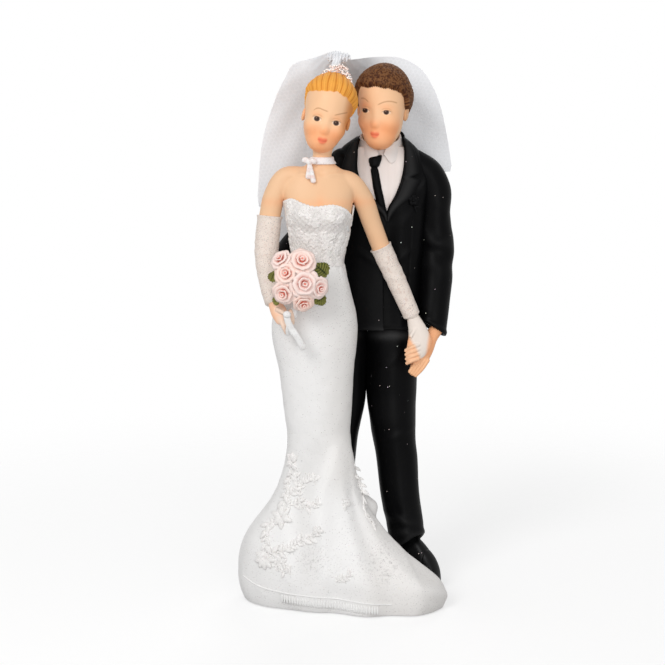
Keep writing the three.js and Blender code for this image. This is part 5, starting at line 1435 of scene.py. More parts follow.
def make_choker_bow(context):
    """Small bow at the side of the throat, with two tails."""
    at = np.array([-9.2, -8.6, 113.2])
    shells = [blob_shell(at + [0, -0.6, 0], (0.75, 0.7, 0.75), 14)]
    for dx, dz in ((-0.95, 0.55), (0.95, 0.25)):
        shells.append(blob_shell(at + [dx, -0.55, dz], (0.95, 0.45, 0.75), 14))
    for dx, long in ((-0.3, 3.6), (1.0, 4.6)):
        tail = [at + [0, -0.6, 0], at + [dx * 0.6, -1.2, -long * 0.55], at + [dx, -1.5, -long]]
        shells.append(skin(tube(tail, [(0.45, 0.3), (0.55, 0.32), (0.7, 0.4)], 30, 14)))
    made = fused("choker_bow", shells, 0.1, 3)
    p = points_of(made)
    shade = np.clip(0.3 + 0.4 * clouds(p, 0.8, 6), 0, 1)[:, None]
    colour_in(made, mixed(paint(context, "gown"), ink(232, 196, 184), shade))
    mark(made, "sparkle", 1.0)
    return dress(made, finish_of("ribbon"), ["choker_bow"])


# Bouquet

BOUQUET = np.array([-12.0, -17.6, 84.7])
# Across, up, share of the full width
ROSES = [
    (1.5, 0, 1.0),
    (1.0, 4.9, 0.92),
    (-2.5, 2.2, 0.84),
    (5.0, -1.3, 0.74),
    (-3.2, -2.4, 0.8),
    (1.4, -4.9, 0.7),
    (-3.9, 5.3, 0.72),
]
ROSE_HALF = 2.85
HOLDER_HALF = 6.0


def rose_shape(context):
    """One rose of radius one that opens towards +Z: a tight heart and three rounds of curled petals."""
    shells, tones = [], []
    deep, pale = paint(context, "rose"), paint(context, "rose_edge")
    u = np.linspace(-1, 1, 13)[None]
    v = np.linspace(0, 1, 11)[:, None]
    # Petals, start turn, half width in degrees, foot and lip radius, foot and lip height, curl
    rounds = (
        (2, 20, 105, 0.10, 0.2, -0.1, 0.62, 0.02),
        (3, 70, 72, 0.24, 0.46, -0.2, 0.52, 0.1),
        (4, 15, 58, 0.40, 0.78, -0.35, 0.32, 0.2),
        (5, 50, 48, 0.50, 1.04, -0.5, 0.0, 0.26),
    )
    for count, start, half, foot, lip, low, high, curl in rounds:
        for petal in range(count):
            turn = np.radians(start + 360 * petal / count + half * u) + 0 * v
            side = 1 - 0.2 * np.abs(u) ** 2.5
            radius = (
                mixed(foot, lip, v**1.3) * (1 + 0.05 * np.sin(2 * math.pi * u + petal))
                + curl * v**5
                + 0.03 * u
            )
            height = mixed(low, high * side + low * (1 - side), v ** 0.9) - curl * 0.7 * v**7
            grid = np.stack([radius * np.cos(turn), radius * np.sin(turn), height + 0 * turn], axis=-1)
            shell = plate(grid, 0.08)
            shells.append(shell)
            tone = mixed(
                deep, pale, np.clip(0.2 + 0.9 * v**1.8 + 0.14 * (foot > 0.3) + 0 * u, 0, 1)[..., None]
            )
            tones.append(np.tile(tone.reshape(-1, 3), (2, 1)))
    heart = blob_shell((0, 0, 0.1), (0.2, 0.2, 0.42), 8)
    seat = blob_shell((0, 0, -0.32), (0.72, 0.72, 0.34), 10)
    shells += [heart, seat]
    tones += [np.tile(deep * 0.95, (len(heart[0]), 1)), np.tile(deep * 0.8, (len(seat[0]), 1))]
    made = make_object("rose", shells)
    colour_in(made, np.concatenate(tones))
    return made


def make_roses(context):
    """Seven roses set close together on a dome, each turned its own way."""
    reach = HOLDER_HALF * 1.25
    for i, (across, up, share) in enumerate(ROSES):
        dome = math.sqrt(max(0.12, 1 - (across / reach) ** 2 - (up / reach) ** 2))
        outward = Vector((across / reach, -dome * 1.35, up / reach)).normalized()
        half = ROSE_HALF * share
        seat = BOUQUET + [across, 0.8 - HOLDER_HALF * 0.62 * dome, up] + np.array(outward) * half * 0.3
        spin = Vector((math.cos(i * 2.1), 0.2, math.sin(i * 2.1)))
        shape = rose_shape(context)
        name = f"bouquet_rose_{i + 1}"
        made = set_out(name, shape, [seat], [turn_to(outward, spin)], [half * 1.02], finish_of("rose"))
        shift = (1.0, 0.97, 0.95) if i % 3 == 1 else (1.0, 1.0, 1.0) if i % 3 == 0 else (1.0, 0.94, 0.9)
        tone = np.empty(len(made.data.vertices) * 4, np.float32)
        made.data.attributes["paint"].data.foreach_get("color", tone)
        colour_in(made, tone.reshape(-1, 4)[:, :3] * np.array(shift))
        dress(made, finish_of("rose"), [name])


def make_leaves(context):
    """Four rose leaves at the rim: pointed, folded along the rib, with side veins."""
    places = [(5.6, 3.0, -50, 1.0), (5.3, -4.4, -115, 0.75), (-5.9, 1.4, 20, 0.6), (-5.0, -4.6, 60, 0.5)]
    for i, (across, up, turn, share) in enumerate(places):
        u = np.linspace(-1, 1, 25)[None]
        v = np.linspace(0.02, 1, 41)[:, None]
        half = 0.46 * np.sin(math.pi * v**0.8) ** 0.85 * (1 + 0.07 * np.cos(v * 60))
        long = 4.6 * share
        vein = 0.5 + 0.5 * np.cos((v * 7 - np.abs(u) * 1.6) * TURN)
        rise = (
            0.5 * np.abs(u) ** 1.4 * half * long * 0.5
            - 0.25 * (v - 0.4) ** 2 * long
            + 0.08 * vein * (np.abs(u) > 0.08)
        )
        flat = np.stack([u * half * long, rise + 0 * u, (v - 0.5) * long + 0 * u], axis=-1)
        flat[..., 1] *= -1
        lean = Matrix.Rotation(math.radians(28 if across > 0 else -28), 3, "Z")
        spin = np.array(lean @ Matrix.Rotation(math.radians(turn), 3, "Y"))
        grid = flat @ spin.T + BOUQUET + [across, -0.9, up]
        name = f"bouquet_leaf_{i + 1}"
        made = make_object(name, [plate(grid[:, ::-1], 0.3)])
        leaf = paint(context, "leaf")
        stripe = ramp(0.55, 0.95, vein) * ramp(0.04, 0.2, np.abs(u))
        pale = mixed(leaf, ink(206, 200, 110), (0.4 * stripe)[..., None])
        dark = mixed(pale, leaf * 0.35, (swell(u, 0, 0.1) * 0.8 + 0 * v)[..., None])
        tone = dark[:, ::-1].reshape(-1, 3)
        colour_in(made, np.concatenate([tone, tone * 0.8]))
        dress(made, finish_of("leaf"), [name])


def make_holder(context):
    """Round bed of small pale blossoms under the roses, with its handle."""
    up = np.radians(np.linspace(-86, 86, 110))[:, None]
    turn = full_turn(180)
    ball = ball_points(up, turn)
    puff = clouds(ball * 6, 1.1, 4)
    grid = ball * np.array([5.4, 2.8, 5.8]) * (1 + 0.07 * puff)[..., None] + BOUQUET + [0.4, 1.2, 0.4]
    handle = tube(BOUQUET + np.array([[-0.5, 1.4, -3.9], [-1.2, 2.1, -8.8]]), [1.2, 0.9], 24, 24)
    made = make_object("bouquet_holder", [skin(grid), skin(handle)])
    base = mixed(paint(context, "rose_edge"), paint(context, "gown"), 0.45)
    tone = mixed(base, paint(context, "leaf") * 1.6, (0.6 * ramp(-0.1, -0.7, puff))[..., None]).reshape(-1, 3)
    rest = len(made.data.vertices) - len(tone)
    colour_in(made, np.concatenate([tone, np.tile(paint(context, "gown"), (rest, 1))]))
    return dress(made, finish_of("ribbon"), ["bouquet_holder"])


def make_ribbon(context):
    """Knot and three tails of ribbon under the roses."""
    top = BOUQUET + [-2.6, -1.4, -8.0]
    shells = [blob_shell(top, (1.0, 0.8, 0.9), 14)]
    for dx, long, wide in ((0.4, 5.2, 0.42), (3.7, 8.6, 0.8), (2.2, 6.4, 0.55)):
        v = np.linspace(0, 1, 6)
        sway = 0.3 * np.sin(v * 5 + dx)
        path = np.stack([dx * v**1.2 + sway, 1.2 * v - 0.6 * np.sin(v * 3), -long * v], axis=-1) + top
        shells.append(skin(tube(path, np.full((6, 2), (wide, 0.16)), 50, 16)))
    made = make_object("bouquet_ribbon", shells)
    p = points_of(made)
    colour_in(made, mixed_paints(context, "gown", "gown_shade_and_mottle", 0.3 + 0.4 * clouds(p, 1.5, 9)))
    mark(made, "sparkle", 0.6)
    return dress(made, finish_of("ribbon"), ["bouquet_ribbon"])


# Groom's suit

# Level, centre x, centre y, half width, half depth
SUIT = np.array(
    [
        [69.4, 7.2, 10, 12.9, 7.3],
        [77, 7.7, 10, 12.5, 7.3],
        [88.4, 8.6, 10, 11.7, 7],
        [99.8, 9.1, 10, 11.9, 7.3],
        [107.4, 9.3, 10.2, 12.4, 6.7],
        [112, 8.9, 10.4, 11.6, 5.8],
        [116, 8.5, 10.6, 9.4, 5.1],
        [119.2, 8.9, 10.5, 5.3, 4.9],
    ]
)
SUIT_SQUARE = 2.4
# Level, and x of the jacket's two front edges: they part at the lapels and cross below them
OPENING = np.array(
    [
        [69.4, 9.6, 11.2],
        [85, 9.6, 11.0],
        [95, 9.6, 10.9],
        [100.2, 10.0, 10.6],
        [104.2, 5.9, 12.7],
        [109.4, 2.9, 14.5],
        [114.4, 2.7, 15.0],
        [119.2, 3.2, 14.7],
    ]
)
# Level, and how far each lapel reaches past the opening's edge, with its notch
LAPEL = [
    (97.6, 0.3),
    (98.6, 0.9),
    (103.8, 4.4),
    (107.8, 5.0),
    (108.7, 2.5),
    (109.6, 4.2),
    (114.4, 2.8),
    (117.6, 1.4),
]


def suit_front(x, z, grow=0.0):
    """Depth of the suit's front at a front-view point."""
    row = through(SUIT[:, 0], SUIT[:, 1:], z)
    share = np.clip(np.abs(x - row[..., 0]) / (row[..., 2] + grow), 0, 1)
    return row[..., 1] - (row[..., 3] + grow) * (1 - share**SUIT_SQUARE) ** (1 / SUIT_SQUARE)


def front_angle(x, z):
    """Angle round the suit at which its front has this x."""
    row = through(SUIT[:, 0], SUIT[:, 1:], z)
    share = np.clip((x - row[..., 0]) / row[..., 2], -0.99, 0.99)
    return -np.arccos(power(share, SUIT_SQUARE / 2))


def creases(points, line, reach, deep):
    """Soft pull lines: each is a front-view segment with its own strength."""
    height = np.zeros(points.shape[:-1])
    for x0, z0, x1, z1, share in line:
        run = np.array([x1 - x0, z1 - z0])
        long = np.hypot(*run)
        along = ((points[..., 0] - x0) * run[0] + (points[..., 2] - z0) * run[1]) / long**2
        off = ((points[..., 0] - x0) * run[1] - (points[..., 2] - z0) * run[0]) / long
        height += share * deep * swell(off, 0, reach) * swell(along, 0.5, 0.42)
    return height


def suit_shade_and_sheen(context, height, shape):
    """Black lacquer with painted light: darker in hollows and lighter on what stands proud, with a grey
    painted sheen added on the highest parts.
    """
    base = paint(context, "suit")
    sheen = (0.03 * np.clip(height, 0, 1) ** 2)[..., None]
    return (
        mixed(base * 0.8, base * 1.3, np.clip(0.35 + height, 0, 1)[..., None])
        + sheen
        + np.zeros(shape + (3,))
    )


def make_jacket(context):
    """Jacket from one front edge round the back to the other, with its side and back seams and collar."""
    columns, rows = 250, 150
    level = np.linspace(69.4, 118.6, rows)[:, None]
    edges = through(OPENING[:, 0], OPENING[:, 1:], level[:, 0])
    start = front_angle(edges[:, 1] - 2.2 * ramp(100, 96, level[:, 0]), level[:, 0])
    end = front_angle(edges[:, 0], level[:, 0]) + TURN
    share = np.linspace(0, 1, columns)[None]
    angle = start[:, None] + (end - start)[:, None] * share
    grid = section(SUIT, np.broadcast_to(level, angle.shape), angle, SUIT_SQUARE)
    out = unit(spokes(angle))
    front = ramp(0.2, -0.4, np.sin(angle))
    pulls = [
        (11.5, 86, 17.5, 91, 1.0),
        (11.5, 85, 18.5, 84, 0.8),
        (9.5, 86, 2.5, 90, 0.8),
        (11.0, 83, 15, 76, 0.9),
        (17, 104.5, 20.5, 108.5, 1.1),
        (15, 97, 19.5, 103, 0.7),
    ]
    lift = front * creases(grid, pulls, 0.9, 0.32)
    lift = lift + 0.22 * clouds(grid, 8, 5) * ramp(112, 104, level)
    seam = (
        swell(np.degrees(angle), 90, 0.9)
        + swell(np.degrees(angle), 28, 1.0)
        + swell(np.degrees(angle), 152, 1.0)
    )
    lift = lift - 0.22 * seam * ramp(112, 108, level)
    dart = swell(grid[..., 0], 16.2 + 0.05 * (level - 85), 0.35) * ramp(74, 78, level) * ramp(101, 97, level)
    lift = lift - 0.2 * front * dart
    lift = (
        lift
        + 0.35 * ramp(0.06, 0.0, 1 - share) * ramp(101, 98, level)
        - 0.7 * ramp(0.07, 0.02, share) * ramp(101, 97, level)
    )
    lift = lift + 0.3 * swell(level, 69.6, 0.7)
    grid = grid + out * lift[..., None]
    around = np.radians(np.linspace(-8, 214, 60))
    behind = ramp(-0.6, 0.8, np.sin(around))
    path = np.stack(
        [
            8.85 + 6.2 * np.cos(around),
            10.4 + 5.7 * np.sin(around),
            114.4 + (3.8 + 0.8 * np.cos(around)) * behind,
        ],
        axis=-1,
    )
    collar = tube(
        path, np.stack([0.2 + 0.25 * behind, 0.5 + 0.9 * behind], axis=-1), 110, 26, front=(0, 0.25, 1)
    )
    made = make_object("jacket_body", [plate(grid, 0.75), skin(collar)])
    # Painted shade and sheen: darker in the seams, darts and creases, lighter on what stands proud
    sheet = suit_shade_and_sheen(context, lift, grid.shape[:2]).reshape(-1, 3)
    plain = np.tile(paint(context, "suit"), (len(made.data.vertices) - 2 * len(sheet), 1))
    colour_in(made, np.concatenate([sheet, sheet, plain]))
    return dress(made, finish_of("suit"), ["jacket_body"])


def make_lapels(context):
    """Two notched lapels that roll out from the opening's edges."""
    level = np.linspace(LAPEL[0][0], LAPEL[-1][0], 150)
    edges = through(OPENING[:, 0], OPENING[:, 1:], level)
    reach = np.interp(level, *np.array(LAPEL).T)
    share = np.linspace(0, 1, 26)[None]
    for name, inner, side in (("lapel_right", edges[:, 0], -1), ("lapel_left", edges[:, 1], 1)):
        near = inner - side * 0.25
        far = inner + side * reach
        first, last = (far, near) if side < 0 else (near, far)
        x = first[:, None] + (last - first)[:, None] * share
        roll = np.sin(math.pi * (share if side > 0 else 1 - share)) * 0.25
        lip = 0.5 * ramp(0.25, 0.0, share if side > 0 else 1 - share)
        z = np.broadcast_to(level[:, None], x.shape)
        y = suit_front(x, z, 0.55) - roll - 0.1 + lip
        grid = np.stack([x, y, z], axis=-1)
        made = make_object(name, [plate(grid, 0.6)])
        # Painted sheen: lighter along the lapel's roll
        tone = suit_shade_and_sheen(context, roll * 3 + 0 * x, x.shape).reshape(-1, 3)
        colour_in(made, np.concatenate([tone, tone]))
        dress(made, finish_of("suit"), [name])


def make_shirt(context):
    """Shirt front with its placket, seen in the jacket's opening."""
    level = np.linspace(97.5, 116.2, 90)[:, None]
    edges = through(OPENING[:, 0], OPENING[:, 1:], level[:, 0])
    wide = ramp(97, 104, level[:, 0])
    low = edges[:, 0] - 2.2 * wide
    high = edges[:, 1] + 2.2 * wide
    x = low[:, None] + (high - low)[:, None] * np.linspace(0, 1, 70)[None]
    z = np.broadcast_to(level, x.shape)
    placket = ramp(1.15, 0.95, np.abs(x - 9.3))
    pleat = np.abs(np.sin((x - 9.3) * 1.9))
    height = (
        0.1 * placket
        + 0.06 * pleat * (1 - placket)
        + 0.1 * clouds(np.stack([x, 0 * x, z], axis=-1), 4, 2)
    )
    grid = np.stack([x, suit_front(x, z, -0.75) - height, z], axis=-1)
    made = make_object("shirt_front", [plate(grid, 0.8)])
    # Painted shade: darker in the troughs between the pleats
    fold = np.clip(0.5 - 2.2 * height, 0, 1)
    shirt = paint(context, "shirt")
    tone = mixed(shirt, shirt * np.array([0.78, 0.72, 0.68]), (0.6 * fold)[..., None]).reshape(-1, 3)
    colour_in(made, np.concatenate([tone, tone]))
    return dress(made, finish_of("shirt"), ["shirt_front"])


def make_shirt_collar(context):
    """Turned-down collar round the neck, open at the throat."""
    fall = np.linspace(0, 1, 40)[:, None]
    gap = np.radians(np.interp(fall[:, 0], [0, 0.55, 1], [20, 7, 26]))[:, None]
    share = np.linspace(0, 1, 160)[None]
    angle = -math.pi / 2 + gap + (TURN - 2 * gap) * share
    behind = ramp(-0.9, 0.3, np.sin(angle))
    radius = (
        4.4
        + 0.5 * np.cos(angle) ** 2
        + (0.9 - 0.5 * ramp(0.2, 0.9, np.sin(angle))) * fall**1.5
        + 0.25 * np.sin(math.pi * fall)
    )
    x = 8.85 + radius * np.cos(angle) * 1.05
    y = 9.9 + radius * np.sin(angle) * 1.02
    tip = swell(share, 0, 0.07) + swell(share, 1, 0.07)
    z = 117.3 + 2.1 * behind - (3.7 + 1.5 * tip) * fall
    grid = np.stack([x, y, z + 0 * x], axis=-1)
    made = make_object("shirt_collar", [plate(grid[::-1], 0.35)])
    shirt = paint(context, "shirt")
    # Painted shade: darker along the collar's top edge at the neck
    tone = mixed(
        shirt, shirt * np.array([0.86, 0.8, 0.76]), (0.5 * swell(fall, 0, 0.2) + 0 * share)[..., None]
    )
    flat = tone[::-1].reshape(-1, 3)
    colour_in(made, np.concatenate([flat, flat]))
    return dress(made, finish_of("shirt"), ["shirt_collar"])


def make_tie(context):
    """Knotted tie: a wedge of a knot and a blade that goes under the jacket's button line."""
    level = np.linspace(99.6, 113.9, 110)
    knots = [99.6, 101.2, 106, 110.4, 111.0, 111.5, 112.6, 113.6, 113.9]
    middle = np.interp(level, knots, [9.4, 9.0, 7.9, 7.2, 7.15, 7.2, 7.3, 7.4, 7.4])
    half = np.interp(level, knots, [1.0, 1.05, 1.1, 1.0, 0.8, 1.25, 1.6, 1.75, 1.5])
    puff = np.interp(level, knots, [0.5, 0.5, 0.55, 0.6, 0.35, 0.95, 1.15, 1.05, 0.6])
    share = np.linspace(-1, 1, 27)[None]
    x = middle[:, None] + half[:, None] * share
    z = np.broadcast_to(level[:, None], x.shape)
    dimple = 0.25 * swell(share, 0.1, 0.3) * swell(z, 109.8, 1.2)
    y = suit_front(x, z, -0.35) - puff[:, None] * (1 - np.abs(share) ** 3.0) + dimple
    z = z + 0.35 * share * ramp(112, 113.8, z)
    grid = np.stack([x, y, z], axis=-1)
    made = make_object("tie", [plate(grid, 0.6)])
    # Painted shade and sheen: lighter where the tie swells, darker where it lies flat
    tone = suit_shade_and_sheen(context, 0.4 * (puff[:, None] - 0.5) + 0 * x, x.shape).reshape(-1, 3)
    colour_in(made, np.concatenate([tone, tone]))
    return dress(made, finish_of("suit"), ["tie"])


def make_neck(context):
    """Groom's neck, from inside the collar to the jaw."""
    rings = tube(
        [(8.8, 10.4, 109.4), (8.8, 10.0, 116.4), (8.8, 9.2, 121.6)], [3.9, 3.55, 3.6], 60, 60, domes=(0.2, 0)
    )
    made = make_object("groom_neck", [skin(rings)])
    p = points_of(made)
    front = ramp(9, 7, p[:, 1])
    shade = (
        0.45 * ramp(118, 121, p[:, 2])
        + 0.3 * front * swell(p[:, 0], 8.8, 0.8) * swell(p[:, 2], 116.5, 1.2)
    )
    colour_in(made, mixed_paints(context, "skin", "blush_and_shade", shade))
    return dress(made, finish_of("skin"), ["groom_neck"])


def make_button(context):
    """Round button with a raised rim and a sunk middle."""
    at = np.array([10.7, float(suit_front(np.array(10.7), np.array(85.4), 0.35)) + 0.1, 85.4])
    turn = full_turn(40)
    profile = [
        (0.55, 0.3),
        (0.72, 0.1),
        (0.76, -0.12),
        (0.7, -0.3),
        (0.58, -0.36),
        (0.46, -0.28),
        (0.34, -0.24),
        (0.12, -0.24),
    ]
    rings = np.array(
        [at + np.stack([r * np.cos(turn), y + 0 * turn, r * np.sin(turn)], axis=-1) for r, y in profile]
    )
    made = make_object("jacket_button", [skin(rings)])
    colour_in(made, paint(context, "suit") * 1.3)
    return dress(made, finish_of("shoe"), ["jacket_button"])


def make_buttonhole_flower(context):
    """Small cast flower on the lapel, lacquered with it."""
    at = np.array([17.1, 0.0, 102.8])
    at[1] = float(suit_front(at[0], at[2], 0.7))
    shells = [blob_shell(at + [0, -0.25, 0], (0.42, 0.42, 0.42), 10)]
    for petal in range(5):
        a = TURN * petal / 5 + 0.3
        shells.append(blob_shell(at + [0.8 * math.cos(a), 0, 0.9 * math.sin(a)], (0.6, 0.4, 0.62), 12))
    stem = [at + [0.1, 0.15, -0.8], at + [0.5, 0.2, -2.2], at + [0.8, 0.3, -3.3]]
    shells.append(skin(tube(stem, [0.24, 0.22, 0.16], 16, 10)))
    shells.append(blob_shell(at + [1.2, 0.15, -1.7], (0.7, 0.2, 0.34), 10))
    made = fused("buttonhole_flower", shells, 0.09, 2)
    colour_in(made, paint(context, "suit") * 1.25)
    return dress(made, finish_of("suit"), ["buttonhole_flower"])


# Sleeves from the shoulder down: place and half width
LEFT_SLEEVE = [
    (17.6, 10.5, 112.5, 3.0),
    (20.9, 10.4, 109.4, 3.8),
    (22.6, 10.3, 105.2, 4.3),
    (22.8, 10.2, 99, 4.3),
    (23.5, 9.2, 87.4, 4.3),
    (23.0, 6.6, 77.9, 4.0),
    (22.4, 4, 69.6, 3.4),
]
RIGHT_SLEEVE = [
    (-0.3, 10.6, 112.4, 3.9),
    (-4.9, 8.8, 102.4, 3.6),
    (-10.1, 5.6, 95, 3.28),
    (-14.5, 2.2, 90.4, 3.13),
    (-16.7, -1.6, 87.4, 2.78),
]


def make_sleeve(context, name, arm, elbow, seed, slant):
    """Sleeve with pull lines round the elbow, a back seam and an open cuff."""
    stations = np.array(arm)
    rings = tube(stations[:, :3], stations[:, 3], 180, 80, domes=(0.8, 0))
    count, sides = rings.shape[:2]
    centre = rings.mean(axis=1, keepdims=True)
    out = unit(rings - centre)
    share = np.linspace(0, 1, count)[:, None]
    turn = full_turn(sides)[None]
    wave = np.sin(share * 30 + 1.3 * np.sin(turn + seed) + 2.2 * clouds(rings, 6, seed))
    fold = (
        0.3 * wave * swell(share, elbow, 0.16) * (0.5 + 0.5 * np.cos(turn - 4.2))
        + 0.12 * clouds(rings, 5, seed + 2)
    )
    fold = fold + 0.25 * swell(share, 0.985, 0.012) - 0.2 * swell(turn, 1.9, 0.05) * ramp(0.1, 0.2, share)
    rings = rings + out * (fold * ramp(0.03, 0.12, share))[..., None]
    rings[..., 2] -= slant * out[..., 0] * ramp(0.8, 1.0, share)
    along = unit(rings[-1].mean(axis=0) - rings[-3].mean(axis=0))
    cuff = [
        rings[-1] - out[-1] * 0.35 + along * 0.05,
        rings[-1] - out[-1] * 0.7 - along * 0.3,
        rings[-1] - out[-1] * 0.9 - along * 2.4,
    ]
    made = make_object(name, [skin(np.concatenate([rings, cuff]))])
    # Painted shade and sheen on the folds
    tone = suit_shade_and_sheen(context, 1.2 * fold, rings.shape[:2]).reshape(-1, 3)
    # Painted shade inside the cuff
    plain = np.tile(paint(context, "suit") * 0.7, (3 * sides + 2, 1))
    colour_in(made, np.concatenate([tone, plain]))
    return dress(made, finish_of("suit"), [name])


# Level, centre x, centre y, half width, half depth
LEFT_LEG = np.array(
    [
        [3.8, 15.8, 10, 4.7, 4.9],
        [12.8, 16.1, 8.6, 4.7, 4.8],
        [24, 14.4, 9.1, 5.1, 5.0],
        [37, 13.2, 9.6, 5.5, 5.45],
        [51, 11.9, 10, 6.6, 6.4],
        [60, 11.8, 10, 6.8, 6.6],
        [69.1, 11.7, 10, 6.7, 6.0],
        [76, 11.4, 10, 6.2, 5.4],
    ]
)
RIGHT_LEG = np.array(
    [
        [3.8, -3, 10.2, 4.7, 4.9],
        [12.8, -3.1, 9.4, 4.7, 4.8],
        [24, -3.1, 9.6, 5.1, 5.0],
        [37, -2.8, 9.8, 5.5, 5.45],
        [51, -1.4, 10, 6.7, 6.4],
        [60, -0.9, 10, 6.6, 6.6],
        [69.1, -0.4, 10, 6.2, 6.0],
        [76, 0.6, 10, 5.6, 5.4],
    ]
)
# Heel and direction of the toe, in plan
LEFT_SHOE = ((13.7, 11.4), (0.788, -0.616))
RIGHT_SHOE = ((-2.5, 13.6), (-0.242, -0.970))


def make_leg(context, name, stations, toe, seed):
    """Trouser leg with a pressed crease, soft breaks at knee and instep, and a hem that dips to the heel."""
    sides, rows = 110, 210
    angle = full_turn(sides)[None]
    share = np.linspace(0, 1, rows)[:, None]
    ahead = math.atan2(toe[1], toe[0])
    hem = 10.3 + 4.5 * np.cos(angle - ahead)
    level = hem + (75.5 - hem) * share
    grid = section(stations, level, np.broadcast_to(angle, level.shape), 2.1)
    out = np.stack([np.cos(angle) + 0 * level, np.sin(angle) + 0 * level, 0 * level], axis=-1)
    front = (angle + math.pi / 2 + math.pi) % TURN - math.pi
    press = (
        0.18 * swell(front, 0, 0.2) * ramp(66, 58, level)
        + 0.15 * swell(np.abs(front), math.pi, 0.14) * ramp(66, 58, level)
    )
    breaks = [
        (stations[2, 1] - 4, 20, stations[2, 1] + 4, 17.5, 0.9),
        (stations[2, 1] - 3.5, 16, stations[2, 1] + 5, 15, 0.7),
        (stations[3, 1] - 4, 40, stations[3, 1] + 4, 43, 0.6),
        (stations[4, 1] - 5, 58, stations[4, 1] + 4, 64, 0.4),
    ]
    lift = press + creases(grid, breaks, 1.0, 0.5) + 0.3 * clouds(grid, 7, seed)
    lift = lift + 0.28 * swell(share, 0.008, 0.012)
    lift = lift - 0.16 * (swell(front, math.pi / 2, 0.05) + swell(front, -math.pi / 2, 0.05))
    grid = grid + out * lift[..., None]
    inner = [
        grid[0] - out[0] * 1.6 + [0, 0, 2.0], grid[0] - out[0] * 0.8 + [0, 0, 0.25], grid[0] - out[0] * 0.3
    ]
    made = make_object(name, [skin(np.concatenate([inner, grid]))])
    # Painted sheen: a lighter band across the front just below the jacket's hem; the creases get painted
    # shade and sheen
    sheen_band = 0.8 * swell(level, 67.8, 1.3) * swell(front, 0, 1.0)
    tone = suit_shade_and_sheen(context, 0.9 * lift + sheen_band, level.shape).reshape(-1, 3)
    # Painted shade inside the hem
    plain = np.tile(paint(context, "suit") * 0.7, (3 * sides, 1))
    colour_in(made, np.concatenate([plain, tone, plain[:2]]))
    return dress(made, finish_of("suit"), [name])


def make_shoe(context, name, heel, toe):
    """Laced shoe: flat sole with a welt, a toe cap and a rounded upper."""
    run = 13.5
    count = 90
    share = np.linspace(0, 1, count)
    knots = [0, 0.16, 0.32, 0.5, 0.7, 0.88, 1]
    forms = through(
        knots,
        np.array([[6, 12.5, 14, 13, 10.8, 8.3, 5.4], [2.28, 2.7, 2.88, 3.0, 3.09, 2.82, 1.98]]).T,
        share,
    )
    rounded = [np.clip(over, 0, 1) ** 2 for over in ((share - 0.93) / 0.07, (0.05 - share) / 0.05)]
    ends = np.prod([np.sqrt(np.clip(1 - over, 0.02, 1)) for over in rounded], axis=0)
    along = np.array([toe[0], toe[1], 0.0])
    across = np.array([-toe[1], toe[0], 0.0])
    dome = np.linspace(0, math.pi, 44)
    rows = []
    for s, (tall, half), end in zip(share, forms, ends):
        cap = 0.14 * swell(s, 0.72, 0.012)
        half = half * (0.35 + 0.65 * end)
        tall = 1.4 + (tall - 1.4) * (0.45 + 0.55 * end)
        sole = [(half + 0.1, 0.0), (half + 0.3, 0.25), (half + 0.3, 0.95), (half + 0.02, 1.15)]
        upper = [
            ((half - cap) * power(math.cos(a), 0.8), 1.15 + (tall - 1.15 - cap) * power(math.sin(a), 0.9))
            for a in dome
        ]
        ring = sole + upper + [(-w, z) for w, z in sole[::-1]]
        spot = np.array([heel[0], heel[1], 0]) + along * run * s
        rows.append([spot + across * w + [0, 0, z] for w, z in ring])
    made = make_object(name, [skin(np.array(rows))])
    p = points_of(made)
    # Lighter in random patches and towards the sole, through the suit's painted shade and sheen
    paler_patches_and_sole = 0.3 * clouds(p, 1.8, 7) + 0.35 * ramp(1.2, 0.8, p[:, 2])
    colour_in(made, suit_shade_and_sheen(context, paler_patches_and_sole, (len(p),)))
    return dress(made, finish_of("shoe"), [name])


# Raised embroidery and pleats on the gown

# Stems in the front view, x and z, each with the length of the leaves along it
STEMS = [
    ([(-14.1, 38.5), (-13.6, 35.5), (-14.7, 32.4), (-15.7, 28.6), (-16.6, 24.8), (-17.2, 22.5)], 2.0),
    ([(-17.2, 22.5), (-19.4, 21.8), (-20.3, 18.3), (-20.5, 14.9), (-20.9, 13)], 2.2),
    ([(-15.7, 28.6), (-14.2, 29.6), (-12.6, 31.6), (-12.7, 33.9)], 1.6),
    ([(-16.0, 26.5), (-12, 27.9), (-11.6, 30.9), (-10.5, 33.2), (-8.6, 34.3), (-7.5, 33.2)], 1.5),
    ([(-12, 27.9), (-9.7, 26.7), (-7, 28.3)], 1.7),
    ([(-19.7, 14.7), (-17.1, 15.1), (-14.5, 16.6), (-11.6, 18.1), (-8.6, 19.3), (-7.1, 20.8)], 2.0),
    ([(-18.2, 12.7), (-15.6, 12.7), (-14.2, 11.6), (-15.6, 10.4), (-18.2, 11.9)], 1.3),
    ([(2.1, 36.7), (2.1, 34.1), (3.2, 32.9), (4, 29.9), (4.4, 26.5), (5.1, 23.7)], 1.6),
    ([(5.1, 23.7), (6.4, 22.6), (7.6, 20.6), (8.6, 18.6), (10, 16.4)], 1.3),
    ([(-1.2, 28.8), (0.2, 26.9)], 1.5),
    ([(-2.7, 8.7), (-1.2, 9.5), (0.6, 10.3), (1, 11)], 1.3),
]
# Flower heads: middle in the front view, petals, length, first angle and sweep in degrees
HEADS = [
    (-16.4, 23.8, 6, 3.4, -20, 300),
    (-20.6, 13.4, 6, 3.2, 160, 190),
    (-13.8, 37.6, 4, 2.6, 30, 170),
    (-8.2, 33.7, 3, 2.0, 20, 160),
    (-7.2, 21.0, 4, 1.7, 10, 190),
    (-12.7, 34.0, 3, 1.8, 40, 110),
    (-15.2, 11.4, 5, 1.3, 0, 288),
    (7.2, 21.2, 5, 1.4, 0, 288),
]


